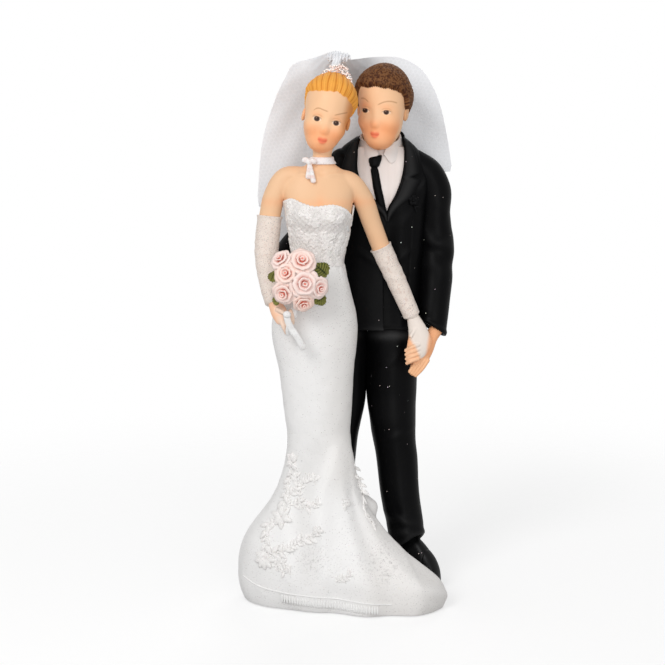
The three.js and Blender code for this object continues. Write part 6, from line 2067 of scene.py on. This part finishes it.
def on_gown(context, x, z):
    """Points and outward directions of the gown's front at front-view places."""
    x, z = np.atleast_1d(np.asarray(x, float)), np.atleast_1d(np.asarray(z, float))
    angles = np.linspace(-math.pi, 0.15, 700)

    def read(levels, at):
        grid, _, _ = gown_surface(context, levels[:, None], angles[None])
        rows = [np.interp(v, *row[np.argsort(row[:, 0])][:, :2].T) for v, row in zip(at, grid)]
        return np.stack([at, np.array(rows), levels], axis=-1)

    here = read(z, x)
    across = read(z, x + 0.3) - read(z, x - 0.3)
    along = read(z + 0.3, x) - read(z - 0.3, x)
    return here, unit(np.cross(across, along))


def piping_tree():
    """A round cord along the lines of a mesh."""
    tree, given, result = new_group(
        "Piping",
        "GeometryNodeTree",
        [("Geometry", "Geometry", None), ("Radius", "Float", 0.0002), ("Finish", "Material", None)],
        [("Geometry", "Geometry")],
    )
    line = add(tree, "GeometryNodeMeshToCurve", {"Mesh": given["Geometry"]})
    ring = add(tree, "GeometryNodeCurvePrimitiveCircle", {"Resolution": 8, "Radius": given["Radius"]})
    cord = {"Curve": line.outputs[0], "Profile Curve": ring.outputs[0], "Fill Caps": True}
    return close_tree(tree, given, result, add(tree, "GeometryNodeCurveToMesh", cord).outputs[0])


def line_object(name, paths):
    """A mesh of bare lines, in millimetres."""
    mesh = bpy.data.meshes.new(name)
    edges, shift = [], 0
    for path in paths:
        edges += [(shift + i, shift + i + 1) for i in range(len(path) - 1)]
        shift += len(path)
    mesh.from_pydata((np.concatenate(paths) * MM).tolist(), edges, [])
    made = bpy.data.objects.new(name, mesh)
    bpy.context.scene.collection.objects.link(made)
    return made


def piped(name, paths, radius, finish):
    """Round cords along lines, as a plain mesh."""
    lines = line_object(name + "_lines", paths)
    cord = grow_nodes(lines, group_tree("Piping"), name, Radius=radius * MM, Finish=finish)
    cord.data.shade_smooth()
    return cord


def embroidery_leaf(context):
    """One raised leaf, one unit long along +Y, with a sunk rib."""
    v = np.linspace(0.03, 0.97, 9)
    turn = full_turn(10)
    half = 0.25 * np.sin(math.pi * v**0.75) ** 0.8
    rib = 1 - 0.5 * swell(turn, math.pi / 2, 0.4)
    rings = np.stack(
        [
            half[:, None] * np.cos(turn),
            np.repeat(v[:, None], 10, axis=1),
            0.85 * half[:, None] * np.sin(turn) * rib,
        ],
        axis=-1,
    )
    made = make_object("leaf", [skin(rings)])
    colour_in(made, paint(context, "gown"))
    return made


def make_embroidery(context):
    """Sprigs raised on the front of the train: corded stems, leaves in pairs and open flower heads."""
    paths, places, turns, sizes = [], [], [], []

    def leaf(x, z, ahead, long, wide=1.0):
        spot, facing = on_gown(context, x, z)
        up = Vector((math.cos(ahead), 0, math.sin(ahead)))
        places.append(spot[0] + facing[0] * 0.08)
        turns.append(turn_to(facing[0], up))
        sizes.append((long * wide, long, long))

    for stem, long in STEMS:
        line = route(np.array(stem), max(8, 7 * len(stem)))
        spots, facing = on_gown(context, line[:, 0], line[:, 1])
        paths.append(spots + facing * 0.12)
        heading = np.gradient(line, axis=0)
        for k, i in enumerate(range(3, len(line) - 1, 5)):
            ahead = math.atan2(heading[i, 1], heading[i, 0])
            for side in (1, -1):
                leaf(
                    line[i, 0],
                    line[i, 1],
                    ahead + side * (0.75 + 0.15 * math.sin(k * 2.3)),
                    long * (1.15 + 0.3 * math.sin(k * 1.7 + side)),
                )
    for x, z, petals, long, start, sweep in HEADS:
        for k in range(petals):
            leaf(x, z, math.radians(start + sweep * k / max(1, petals - 1)), long, 1.15)
    finish = finish_of("lace")
    shape = embroidery_leaf(context)
    leaves = set_out("gown_leaves", shape, places, turns, sizes, finish)
    cords = piped("gown_stems", paths, 0.2, finish)
    for made in (leaves, cords):
        tone = paint(context, "gown") * np.array([0.99, 0.98, 0.97])
        colour_in(made, tone)
        mark(made, "sparkle", 1.0)
        dress(made, finish, [])


# The hem's rim in the front view, x and z
RIM = [(-26.4, 7.2), (-22.8, 5.9), (-16, 5.0), (-7.1, 4.5), (-2, 4.2), (3.9, 3.9), (11.3, 3.3)]


def make_pleats(context):
    """Short upright ribs below the rim of the hem, and a corded rim above them."""
    rim = route(np.array(RIM), 200)
    spots, facing = on_gown(context, rim[:, 0], rim[:, 1])
    finish = finish_of("gown")
    cord = piped("hem_rim", [spots + facing * 0.05], 0.17, finish)
    long = np.concatenate([[0], np.cumsum(np.linalg.norm(np.diff(spots, axis=0), axis=1))])
    at = np.arange(13.0, long[-1] - 3.5, size_mm(context, "pleat_pitch"))
    x = np.interp(at, long, rim[:, 0])
    z = np.interp(at, long, rim[:, 1]) - 1.7
    seats, outward = on_gown(context, x, z)
    rib = make_object("rib", [blob_shell((0, 0, 0), (0.3, 1.25, 0.3), 5)])
    colour_in(rib, paint(context, "gown"))
    turns = [turn_to(out, (0, 0, 1)) for out in outward]
    ribs = set_out("hem_pleats", rib, seats - outward * 0.16, turns, np.ones(len(seats)), finish)
    for made in (cord, ribs):
        colour_in(made, paint(context, "gown"))
        dress(made, finish, [])


# Veil

GATHER = np.array([-2.0, 1.5, 139.6])
# The veil's upper edge in the front view, x and z: a slope up to the gather, a dip and a round shoulder
VEIL_TOP = [
    (-22.6, 101.5), (-22.8, 104.7), (-21.5, 117.6), (-18.3, 127.9), (-15.7, 133.5), (-13.4, 137.0),
    (-7.7, 138.8), (-2.6, 140.4), (-0.6, 139.4), (0.8, 138.2), (7.5, 138.8), (14, 138.6), (19.2, 136),
    (22.4, 131.6), (24.8, 125.7), (26.7, 117.4), (27.8, 110.5),
]


def veil_points(a, b):
    """Points of the hung veil: a runs across it, b from its top edge to its lower one."""
    edge = np.array(VEIL_TOP)
    share = np.linspace(0, 1, len(edge))
    top = through(share, edge, np.clip(a, 0, 1))
    x, high = top[..., 0], top[..., 1]
    low = GATHER[2] - 53 + 14 * ramp(-17.5, -23, x) + 22.4 * ramp(0, 27, x)
    z = mixed(high, np.minimum(low, high - 0.4), b)
    x = mixed(x, x * 0.985, b)
    behind = mixed(11, 18.9, ramp(-23, 2, x))
    far = np.hypot(x - GATHER[0], z - GATHER[2])
    y = mixed(behind, 2.9, np.exp(-((far / 6) ** 2)))
    spread = ramp(5, 30, far)
    turn = np.arctan2(x - GATHER[0], 141.6 - z)
    fold = 0.5 * spread * np.sin(9 * turn + 0.6) + 0.15 * spread * np.sin(23 * turn + 1.3)
    fold = fold + 0.2 * ramp(10, 2, far) * np.sin(26 * turn)
    return np.stack([x, y + fold, z], axis=-1)


def make_veil(context):
    """The veil: one layer of hexagon net that hangs from its gather."""
    columns, rows = 240, 170
    a = np.linspace(0, 1, columns)[None]
    b = np.linspace(0, 1, rows)[:, None]
    grid = veil_points(a + 0 * b, b + 0 * a)
    made = make_object("veil_cloth_net", [flat_sheet(grid)])
    lean = np.radians(mixed(8, -6, ramp(-4, 2, grid[..., 0])))
    across = grid[..., 0] * np.cos(lean) + grid[..., 2] * np.sin(lean)
    down = grid[..., 2] * np.cos(lean) - grid[..., 0] * np.sin(lean)
    corner = np.empty(len(made.data.loops), np.int32)
    made.data.loops.foreach_get("vertex_index", corner)
    flat = np.stack([across.ravel(), down.ravel()], axis=-1)[corner]
    made.data.uv_layers.new(name="cloth").data.foreach_set("uv", flat.astype(np.float32).ravel())
    far = np.hypot(grid[..., 0] - GATHER[0], grid[..., 2] - GATHER[2])
    edge = np.minimum(np.minimum(a, 1 - a) * columns, np.minimum(b, 1 - b) * rows)
    dense = 0.89 + 0.08 * np.exp(-((far / 8) ** 2)) + 0.15 * ramp(1.6, 0.4, edge)
    mark(made, "dense", dense.ravel())
    shade = mixed(1.0, 0.94, ramp(-2, 3, grid[..., 0]))[..., None]
    colour_in(made, (paint(context, "tulle") * shade).reshape(-1, 3))
    made.data.materials.append(tulle_finish(context))
    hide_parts("veil_cloth")
    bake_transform(made)
    return made


def make_gather(context):
    """The veil's gathered head: net drawn up tight on a short bar, with a pleated stem down to the hair."""
    along = np.linspace(-5, 1, 90)[:, None]
    turn = full_turn(40)[None]
    ruffle = 0.26 * np.sin(along * 7.5 + 1.2 * np.sin(turn * 2)) + 0.12 * np.sin(turn * 5 + along * 3)
    ends = np.sqrt(np.clip(1 - ((along + 2) / 3.05) ** 6, 0.02, 1))
    radius = (0.95 + ruffle) * ends
    rings = np.stack(
        [along + 0 * turn, 1.5 + radius * np.cos(turn), 138.7 + radius * 1.05 * np.sin(turn)],
        axis=-1,
    )
    stem = tube([(-2.2, 1.3, 138.4), (-2.8, 0.1, 136.4), (-3.4, -1.2, 133.6)], [1.0, 1.1, 1.9], 50, 40)
    pleat = 0.12 * np.sin(11 * turn + 0.8 * np.sin(np.linspace(0, 5, len(stem)))[:, None])
    stem = stem + unit(stem - stem.mean(axis=1, keepdims=True)) * pleat[..., None]
    made = make_object("veil_gather", [skin(rings), skin(stem)])
    tulle = paint(context, "tulle")
    # Painted shade: darker in the troughs of the ruffles
    tone = mixed(tulle * 0.8, tulle, np.clip(0.5 + ruffle * 1.6, 0, 1)[..., None]).reshape(-1, 3)
    rest = np.tile(tulle * 0.94, (len(made.data.vertices) - len(tone), 1))
    colour_in(made, np.concatenate([tone, rest]))
    return dress(made, finish_of("shirt"), ["veil_gather"])


# Loose glitter

# Piece, flakes for each square millimetre where its sparkle is 1
STREWN = [
    ("gown_bodice", 5.5),
    ("gown_skirt", 2.4),
    ("right_glove", 3.6),
    ("left_glove", 3.6),
    ("choker", 2.0),
    ("choker_bow", 2.0),
    ("tiara", 2.0),
    ("gown_leaves", 2.2),
    ("gown_stems", 1.6),
    ("bouquet_ribbon", 1.6),
    ("jacket_body", 0.006),
    ("trousers_left_leg", 0.01),
    ("jacket_left_sleeve", 0.008),
]


def make_glitter(context):
    """Flakes stuck in the varnish, thickest on the lace and gloves, with a few strays on the suit."""
    shells = []
    finish = flake_finish()
    for seed, (name, density) in enumerate(STREWN):
        source = bpy.data.objects.get(painted(name)) or bpy.data.objects[name]
        mesh = source.data.copy()
        if "sparkle" not in mesh.attributes:
            mesh.attributes.new("sparkle", "FLOAT", "POINT").data.foreach_set(
                "value", np.ones(len(mesh.vertices), np.float32)
            )
        ground = bpy.data.objects.new("ground", mesh)
        bpy.context.scene.collection.objects.link(ground)
        flakes = grow_nodes(
            ground,
            group_tree("Scatter"),
            "flakes_" + name,
            Density=density / MM**2,
            Flake=context.scene.topper_sizes.flake_size,
            Seed=seed + 3,
            Finish=finish,
        )
        tris = np.empty(len(flakes.data.polygons) * 3, np.int32)
        flakes.data.loops.foreach_get("vertex_index", tris)
        shells.append((points_of(flakes), np.zeros((0, 4), int), tris.reshape(-1, 3)))
        drop(flakes)
    made = make_object("glitter", shells)
    return dress(made, finish, [])


# Stage

# The photograph's camera: place and aim in metres, and its lens on a 36 mm sensor
EYE = Vector((-0.0035, -0.44446, 0.13965))
AIM = Vector((-0.0035, 0, 0.06925))
LENS = 95.28
FLOOR_HALF = 600


def seen_directly(tree):
    """1 for what the camera, a reflection or a refraction sees, 0 for light that falls on something."""
    ray = add(tree, "ShaderNodeLightPath").outputs
    direct = calc(tree, "MAXIMUM", ray["Is Camera Ray"], ray["Is Glossy Ray"])
    return calc(tree, "MAXIMUM", direct, ray["Is Transmission Ray"])


def floor_finish(base, glow, near, far):
    """Matt white that shows the couple's shadow, and fades into the white round it."""
    made, tree, shader = new_finish("topper_floor")
    matt = {"Base Color": (base, base, base, 1), "Roughness": 0.9, "Specular IOR Level": 0.0}
    fill_in(tree, shader, matt)
    light = calc(tree, "MULTIPLY", seen_directly(tree), glow)
    shine = add(tree, "ShaderNodeEmission", {"Color": (1, 1, 1, 1), "Strength": light})
    both = add(tree, "ShaderNodeAddShader", {0: shader.outputs[0], 1: shine.outputs[0]})
    reach = vector(tree, "LENGTH", add(tree, "ShaderNodeTexCoord").outputs["Object"], out="Value")
    fade = add(tree, "ShaderNodeMapRange", {0: reach, 1: near, 2: far}, interpolation_type="SMOOTHSTEP")
    clear = add(tree, "ShaderNodeBsdfTransparent")
    mix = add(tree, "ShaderNodeMixShader", {0: fade.outputs[0], 1: both.outputs[0], 2: clear.outputs[0]})
    tree.links.new(mix.outputs[0], tree.nodes["Material Output"].inputs["Surface"])
    return made


def white_world(level):
    world = bpy.data.worlds.new("topper_world")
    bpy.context.scene.world = world
    world.use_nodes = True
    tree = world.node_tree
    light = add(tree, "ShaderNodeMapRange", {0: seen_directly(tree), 1: 0.0, 2: 1.0, 3: level, 4: 1.0})
    sky = tree.nodes["Background"]
    sky.inputs["Color"].default_value = (1, 1, 1, 1)
    tree.links.new(light.outputs[0], sky.inputs["Strength"])


def lamp(name, place, aim, width, watts):
    light = bpy.data.lights.new(name, "AREA")
    light.shape = "DISK"
    light.size = width
    light.energy = watts
    made = bpy.data.objects.new(name, light)
    made.location = place
    made.rotation_euler = (Vector(aim) - Vector(place)).to_track_quat("-Z", "Y").to_euler()
    bpy.context.scene.collection.objects.link(made)


def make_stage():
    """White floor, soft lamps and the photograph's camera."""
    scene = bpy.context.scene
    scene.view_settings.view_transform = "Standard"
    corners = FLOOR_HALF * np.array([[-1, -1, 0], [1, -1, 0], [1, 1, 0], [-1, 1, 0.0]])
    floor = make_object("floor", [(corners, np.array([[0, 1, 2, 3]]), np.zeros((0, 3), int))])
    floor.data.materials.append(floor_finish(base=0.5, glow=0.56, near=0.09, far=0.26))
    white_world(level=0.5)
    middle = (0, 0, 0.075)
    lamp("key", (-0.32, -0.58, 0.5), middle, width=0.35, watts=2.3)
    lamp("fill", (0.15, -0.8, 0.15), middle, width=0.5, watts=1.8)
    lamp("rim", (0.15, 0.6, 0.5), middle, width=0.4, watts=0.9)
    camera = bpy.data.cameras.new("camera")
    camera.sensor_width = 36
    camera.lens = LENS
    eye = bpy.data.objects.new("camera", camera)
    eye.location = EYE
    eye.rotation_euler = (AIM - EYE).to_track_quat("-Z", "Y").to_euler()
    scene.collection.objects.link(eye)
    scene.camera = eye


# Hands and hair of each figure

# Palm: place, half width and half depth. Fingers run from knuckle to tip
RIGHT_PALM = [(-17.6, -14.7, 78.4, 1.7, 1.5), (-16.6, -16, 76.7, 2.0, 1.3), (-15.8, -16.6, 75.2, 1.8, 1.1)]
LEFT_PALM = [
    (17.2, -0.5, 72.8, 1.7, 1.5),
    (18.3, -1.0, 69.6, 2.5, 1.4),
    (18.7, -1.2, 66.8, 3.1, 1.3),
    (17.9, -1.3, 64.8, 2.7, 1.2),
    (17.0, -1.4, 63.2, 1.9, 1.0),
]
GROOM_LEFT_PALM = [
    (23.6, 3.6, 69.8, 1.6, 1.5),
    (21.6, 1.9, 67.6, 1.9, 1.5),
    (20.2, 0.8, 64.6, 2.1, 1.4),
    (19.1, 0.3, 62.4, 2.0, 1.3),
    (18.1, 0.1, 60.5, 1.7, 1.1),
    (17.2, 0.1, 58.9, 1.2, 0.9),
]
GROOM_RIGHT_PALM = [(-16.2, -2.3, 86.8, 1.7, 1.9), (-16, -4.6, 85, 1.3, 2.2)]
FINGER_WIDTH = 1.25


def make_bride_hands(context):
    """One hand closed over the bouquet, the other laid in the groom's."""
    fingers = [
        [
            (-16.4 + 0.85 * f, -16.8 + 0.1 * f, 75.6 + 0.5 * f),
            (-15.6 + 0.75 * f, -17.4 + 0.1 * f, 73.7 + 0.6 * f),
            (-14.9 + 0.55 * f, -17.1 + 0.1 * f, 71.9 + 0.8 * f),
        ]
        for f in range(4)
    ]
    thumb = [(-16.9, -17, 77.6), (-15.2, -18, 76.8)]
    make_hand(context, "bride_right_hand", RIGHT_PALM, fingers + [thumb], FINGER_WIDTH, warm=0, pale=0.85)
    fingers = [
        [
            (18.6 - 0.1 * f, -2.1, 66.6 - 1.25 * f),
            (16.8 - 0.1 * f, -2.6, 65.9 - 1.2 * f),
            (15.2 + 0.1 * f, -1.9, 64.9 - 1.1 * f),
        ]
        for f in range(4)
    ]
    thumb = [(17.6, -1.8, 70.4), (16.4, -2.2, 68.6)]
    cover = ((18.2, -1.6, 71.0), (19.7, -2.2, 62.6), 3.2)
    fingers.append(thumb)
    make_hand(context, "bride_left_hand", LEFT_PALM, fingers, FINGER_WIDTH, warm=0, cover=cover, pale=0.15)


def make_groom_hands(context):
    """One hand under the bride's, the other at the bride's waist."""
    fingers = [
        [
            (19.0 + 0.62 * f, -0.6 + 0.1 * f, 63.6 - 0.5 * f),
            (17.5 + 0.62 * f, -0.9 + 0.15 * f, 61.3 - 0.5 * f),
            (16.3 + 0.5 * f, -0.7 + 0.15 * f, 59.2 - 0.38 * f),
        ]
        for f in range(4)
    ]
    make_hand(context, "groom_left_hand", GROOM_LEFT_PALM, fingers, width=1.2, warm=0)
    fingers = [
        [(-15.8, -4.4, 86.4 - 1.05 * f), (-15.1, -6.2, 85.6 - 1.05 * f), (-14.1, -7.6, 85 - f)]
        for f in range(4)
    ]
    make_hand(context, "groom_right_hand", GROOM_RIGHT_PALM, fingers, width=1.4, warm=0.15)


# Angle from the front in degrees, and the level of the hairline in the head's own frame
BRIDE_HAIRLINE = [
    (-180, -5.8), (-130, -3.0), (-112, 1.2), (-100, 3.0), (-80, 3.6), (-55, 3.8), (-30, 4.1), (-5, 4.4),
    (12, 4.3), (27, 3.9), (40, 3.3), (55, 2.6), (70, 2.0), (90, 1.4), (112, -0.4), (135, -3.6), (180, -5.8),
]
GROOM_HAIRLINE = [
    (-180, -6), (-125, -4), (-100, 1.2), (-88, -0.4), (-78, 0.6), (-68, 3.4), (-55, 4.7), (-35, 4.7),
    (0, 4.7), (35, 4.8), (55, 4.2), (68, 2.7), (78, 0.4), (88, -0.4), (100, 1.2), (116, 0), (138, -4),
    (180, -6),
]


def make_bride_hair(context):
    strands = context.scene.topper_sizes.bride_strands
    style = dict(pole=(0, 0.75, 0.66), hairline=BRIDE_HAIRLINE)
    style.update(thick=0.75, full=0.35, seed=2, soft=0.8, tousle=0)
    make_hair(context, "bride_hair", BRIDE_HEAD, strands, "blonde", "blonde_wash_and_shade", style)
    make_chignon(context)


def make_groom_hair(context):
    strands = context.scene.topper_sizes.groom_strands
    style = dict(pole=(0, 0.35, 0.94), hairline=GROOM_HAIRLINE)
    style.update(thick=1.1, full=0.35, seed=5, soft=0.95, tousle=0.8)
    make_hair(context, "groom_hair", GROOM_HEAD, strands, "brown", "brown_wash_and_shade", style)


# Operators, panel and registration


class TOPPER_OT_base(bpy.types.Operator):
    """Flat base under the train"""

    bl_idname = "topper.base"
    bl_label = "Base"

    def execute(self, context):
        make_base(context)
        return {"FINISHED"}


class TOPPER_OT_skirt(bpy.types.Operator):
    """Gown below the waist, with its long folds"""

    bl_idname = "topper.skirt"
    bl_label = "Skirt and train"

    def execute(self, context):
        make_skirt(context)
        return {"FINISHED"}


class TOPPER_OT_bodice(bpy.types.Operator):
    """Strapless bodice with cast lace"""

    bl_idname = "topper.bodice"
    bl_label = "Bodice"

    def execute(self, context):
        make_bodice(context)
        return {"FINISHED"}


class TOPPER_OT_embroidery(bpy.types.Operator):
    """Raised sprigs on the front of the train"""

    bl_idname = "topper.embroidery"
    bl_label = "Embroidery"

    def execute(self, context):
        make_embroidery(context)
        return {"FINISHED"}


class TOPPER_OT_pleats(bpy.types.Operator):
    """Corded rim and ribs of the hem"""

    bl_idname = "topper.pleats"
    bl_label = "Hem pleats"

    def execute(self, context):
        make_pleats(context)
        return {"FINISHED"}


class TOPPER_OT_shoulders(bpy.types.Operator):
    """Bride's neck, shoulders and upper arms"""

    bl_idname = "topper.shoulders"
    bl_label = "Shoulders and arms"

    def execute(self, context):
        make_shoulders(context)
        return {"FINISHED"}


class TOPPER_OT_gloves(bpy.types.Operator):
    """Bride's two long gloves"""

    bl_idname = "topper.gloves"
    bl_label = "Gloves"

    def execute(self, context):
        make_glove(context, "right_glove", RIGHT_ARM, first=2, hand=RIGHT_PALM[0][:3], seed=1)
        make_glove(context, "left_glove", LEFT_ARM, first=3, hand=LEFT_PALM[0][:3], seed=2)
        return {"FINISHED"}


class TOPPER_OT_bride_hands(bpy.types.Operator):
    """Bride's two hands"""

    bl_idname = "topper.bride_hands"
    bl_label = "Bride's hands"

    def execute(self, context):
        make_bride_hands(context)
        return {"FINISHED"}


class TOPPER_OT_bride_head(bpy.types.Operator):
    """Bride's head with its painted face"""

    bl_idname = "topper.bride_head"
    bl_label = "Bride's head"

    def execute(self, context):
        make_head(context, "bride_head", BRIDE_HEAD)
        return {"FINISHED"}


class TOPPER_OT_bride_hair(bpy.types.Operator):
    """Combed hair and the coiled knot behind"""

    bl_idname = "topper.bride_hair"
    bl_label = "Bride's hair"

    def execute(self, context):
        make_bride_hair(context)
        return {"FINISHED"}


class TOPPER_OT_tiara(bpy.types.Operator):
    """Arc of beads across the crown"""

    bl_idname = "topper.tiara"
    bl_label = "Tiara"

    def execute(self, context):
        make_tiara(context)
        return {"FINISHED"}


class TOPPER_OT_choker(bpy.types.Operator):
    """Ribbon round the neck and its bow"""

    bl_idname = "topper.choker"
    bl_label = "Choker"

    def execute(self, context):
        make_choker(context)
        make_choker_bow(context)
        return {"FINISHED"}


class TOPPER_OT_bouquet_bed(bpy.types.Operator):
    """Blossoms and handle under the roses"""

    bl_idname = "topper.bouquet_bed"
    bl_label = "Bouquet bed"

    def execute(self, context):
        make_holder(context)
        return {"FINISHED"}


class TOPPER_OT_roses(bpy.types.Operator):
    """Seven roses of the bouquet"""

    bl_idname = "topper.roses"
    bl_label = "Roses"

    def execute(self, context):
        make_roses(context)
        return {"FINISHED"}


class TOPPER_OT_leaves(bpy.types.Operator):
    """Four rose leaves"""

    bl_idname = "topper.leaves"
    bl_label = "Leaves"

    def execute(self, context):
        make_leaves(context)
        return {"FINISHED"}


class TOPPER_OT_ribbon(bpy.types.Operator):
    """Knot and tails of ribbon"""

    bl_idname = "topper.ribbon"
    bl_label = "Bouquet ribbon"

    def execute(self, context):
        make_ribbon(context)
        return {"FINISHED"}


class TOPPER_OT_groom_head(bpy.types.Operator):
    """Groom's head with its painted face, and the neck"""

    bl_idname = "topper.groom_head"
    bl_label = "Groom's head"

    def execute(self, context):
        make_head(context, "groom_head", GROOM_HEAD)
        make_neck(context)
        return {"FINISHED"}


class TOPPER_OT_groom_hair(bpy.types.Operator):
    """Short combed hair"""

    bl_idname = "topper.groom_hair"
    bl_label = "Groom's hair"

    def execute(self, context):
        make_groom_hair(context)
        return {"FINISHED"}


class TOPPER_OT_shirt(bpy.types.Operator):
    """Shirt front and collar"""

    bl_idname = "topper.shirt"
    bl_label = "Shirt"

    def execute(self, context):
        make_shirt(context)
        make_shirt_collar(context)
        return {"FINISHED"}


class TOPPER_OT_tie(bpy.types.Operator):
    """Knotted tie"""

    bl_idname = "topper.tie"
    bl_label = "Tie"

    def execute(self, context):
        make_tie(context)
        return {"FINISHED"}


class TOPPER_OT_jacket(bpy.types.Operator):
    """Jacket with its collar and seams"""

    bl_idname = "topper.jacket"
    bl_label = "Jacket"

    def execute(self, context):
        make_jacket(context)
        return {"FINISHED"}


class TOPPER_OT_lapels(bpy.types.Operator):
    """Two notched lapels"""

    bl_idname = "topper.lapels"
    bl_label = "Lapels"

    def execute(self, context):
        make_lapels(context)
        return {"FINISHED"}


class TOPPER_OT_button(bpy.types.Operator):
    """Jacket button"""

    bl_idname = "topper.button"
    bl_label = "Button"

    def execute(self, context):
        make_button(context)
        return {"FINISHED"}


class TOPPER_OT_flower(bpy.types.Operator):
    """Small cast flower on the lapel"""

    bl_idname = "topper.flower"
    bl_label = "Buttonhole flower"

    def execute(self, context):
        make_buttonhole_flower(context)
        return {"FINISHED"}


class TOPPER_OT_sleeves(bpy.types.Operator):
    """Two jacket sleeves"""

    bl_idname = "topper.sleeves"
    bl_label = "Sleeves"

    def execute(self, context):
        make_sleeve(context, "jacket_left_sleeve", LEFT_SLEEVE, elbow=0.52, seed=1, slant=1.6)
        make_sleeve(context, "jacket_right_sleeve", RIGHT_SLEEVE, elbow=0.5, seed=3, slant=0)
        return {"FINISHED"}


class TOPPER_OT_groom_hands(bpy.types.Operator):
    """Groom's two hands"""

    bl_idname = "topper.groom_hands"
    bl_label = "Groom's hands"

    def execute(self, context):
        make_groom_hands(context)
        return {"FINISHED"}


class TOPPER_OT_trousers(bpy.types.Operator):
    """Two trouser legs"""

    bl_idname = "topper.trousers"
    bl_label = "Trousers"

    def execute(self, context):
        make_leg(context, "trousers_left_leg", LEFT_LEG, toe=LEFT_SHOE[1], seed=4)
        make_leg(context, "trousers_right_leg", RIGHT_LEG, toe=RIGHT_SHOE[1], seed=6)
        return {"FINISHED"}


class TOPPER_OT_shoes(bpy.types.Operator):
    """Two shoes"""

    bl_idname = "topper.shoes"
    bl_label = "Shoes"

    def execute(self, context):
        make_shoe(context, "left_shoe", *LEFT_SHOE)
        make_shoe(context, "right_shoe", *RIGHT_SHOE)
        return {"FINISHED"}


class TOPPER_OT_gather(bpy.types.Operator):
    """Gathered head of the veil"""

    bl_idname = "topper.gather"
    bl_label = "Veil gather"

    def execute(self, context):
        make_gather(context)
        return {"FINISHED"}


class TOPPER_OT_veil(bpy.types.Operator):
    """Hung net of the veil"""

    bl_idname = "topper.veil"
    bl_label = "Veil"

    def execute(self, context):
        make_veil(context)
        return {"FINISHED"}


class TOPPER_OT_glitter(bpy.types.Operator):
    """Loose flakes in the varnish"""

    bl_idname = "topper.glitter"
    bl_label = "Glitter"

    def execute(self, context):
        make_glitter(context)
        return {"FINISHED"}


class TOPPER_OT_stage(bpy.types.Operator):
    """Floor, lamps and camera"""

    bl_idname = "topper.stage"
    bl_label = "Stage"

    def execute(self, context):
        make_stage()
        return {"FINISHED"}


PIECES = (
    TOPPER_OT_base,
    TOPPER_OT_skirt,
    TOPPER_OT_bodice,
    TOPPER_OT_embroidery,
    TOPPER_OT_pleats,
    TOPPER_OT_shoulders,
    TOPPER_OT_gloves,
    TOPPER_OT_bride_hands,
    TOPPER_OT_bride_head,
    TOPPER_OT_bride_hair,
    TOPPER_OT_tiara,
    TOPPER_OT_choker,
    TOPPER_OT_bouquet_bed,
    TOPPER_OT_roses,
    TOPPER_OT_leaves,
    TOPPER_OT_ribbon,
    TOPPER_OT_groom_head,
    TOPPER_OT_groom_hair,
    TOPPER_OT_shirt,
    TOPPER_OT_tie,
    TOPPER_OT_jacket,
    TOPPER_OT_lapels,
    TOPPER_OT_button,
    TOPPER_OT_flower,
    TOPPER_OT_sleeves,
    TOPPER_OT_groom_hands,
    TOPPER_OT_trousers,
    TOPPER_OT_shoes,
    TOPPER_OT_gather,
    TOPPER_OT_veil,
    TOPPER_OT_glitter,
    TOPPER_OT_stage,
)


class TOPPER_PT_panel(bpy.types.Panel):
    """Sizes and paints of the topper, and an operator for each piece"""

    bl_idname = "TOPPER_PT_panel"
    bl_label = "Wedding Cake Topper"
    bl_space_type = "VIEW_3D"
    bl_region_type = "UI"
    bl_category = "Topper"

    def draw(self, context):
        layout = self.layout
        for settings in (context.scene.topper_sizes, context.scene.topper_paints):
            column = layout.column(align=True)
            for name in type(settings).__annotations__:
                column.prop(settings, name)
        column = layout.column(align=True)
        for piece in PIECES:
            column.operator(piece.bl_idname)


CLASSES = (TopperPaints, TopperSizes) + PIECES + (TOPPER_PT_panel,)


def register():
    for item in CLASSES:
        bpy.utils.register_class(item)
    bpy.types.Scene.topper_paints = bpy.props.PointerProperty(type=TopperPaints)
    bpy.types.Scene.topper_sizes = bpy.props.PointerProperty(type=TopperSizes)


def unregister():
    del bpy.types.Scene.topper_sizes
    del bpy.types.Scene.topper_paints
    for item in reversed(CLASSES):
        bpy.utils.unregister_class(item)


def main():
    register()
    for piece in PIECES:
        area, name = piece.bl_idname.split(".")
        getattr(getattr(bpy.ops, area), name)()


if __name__ == "__main__":
    main()
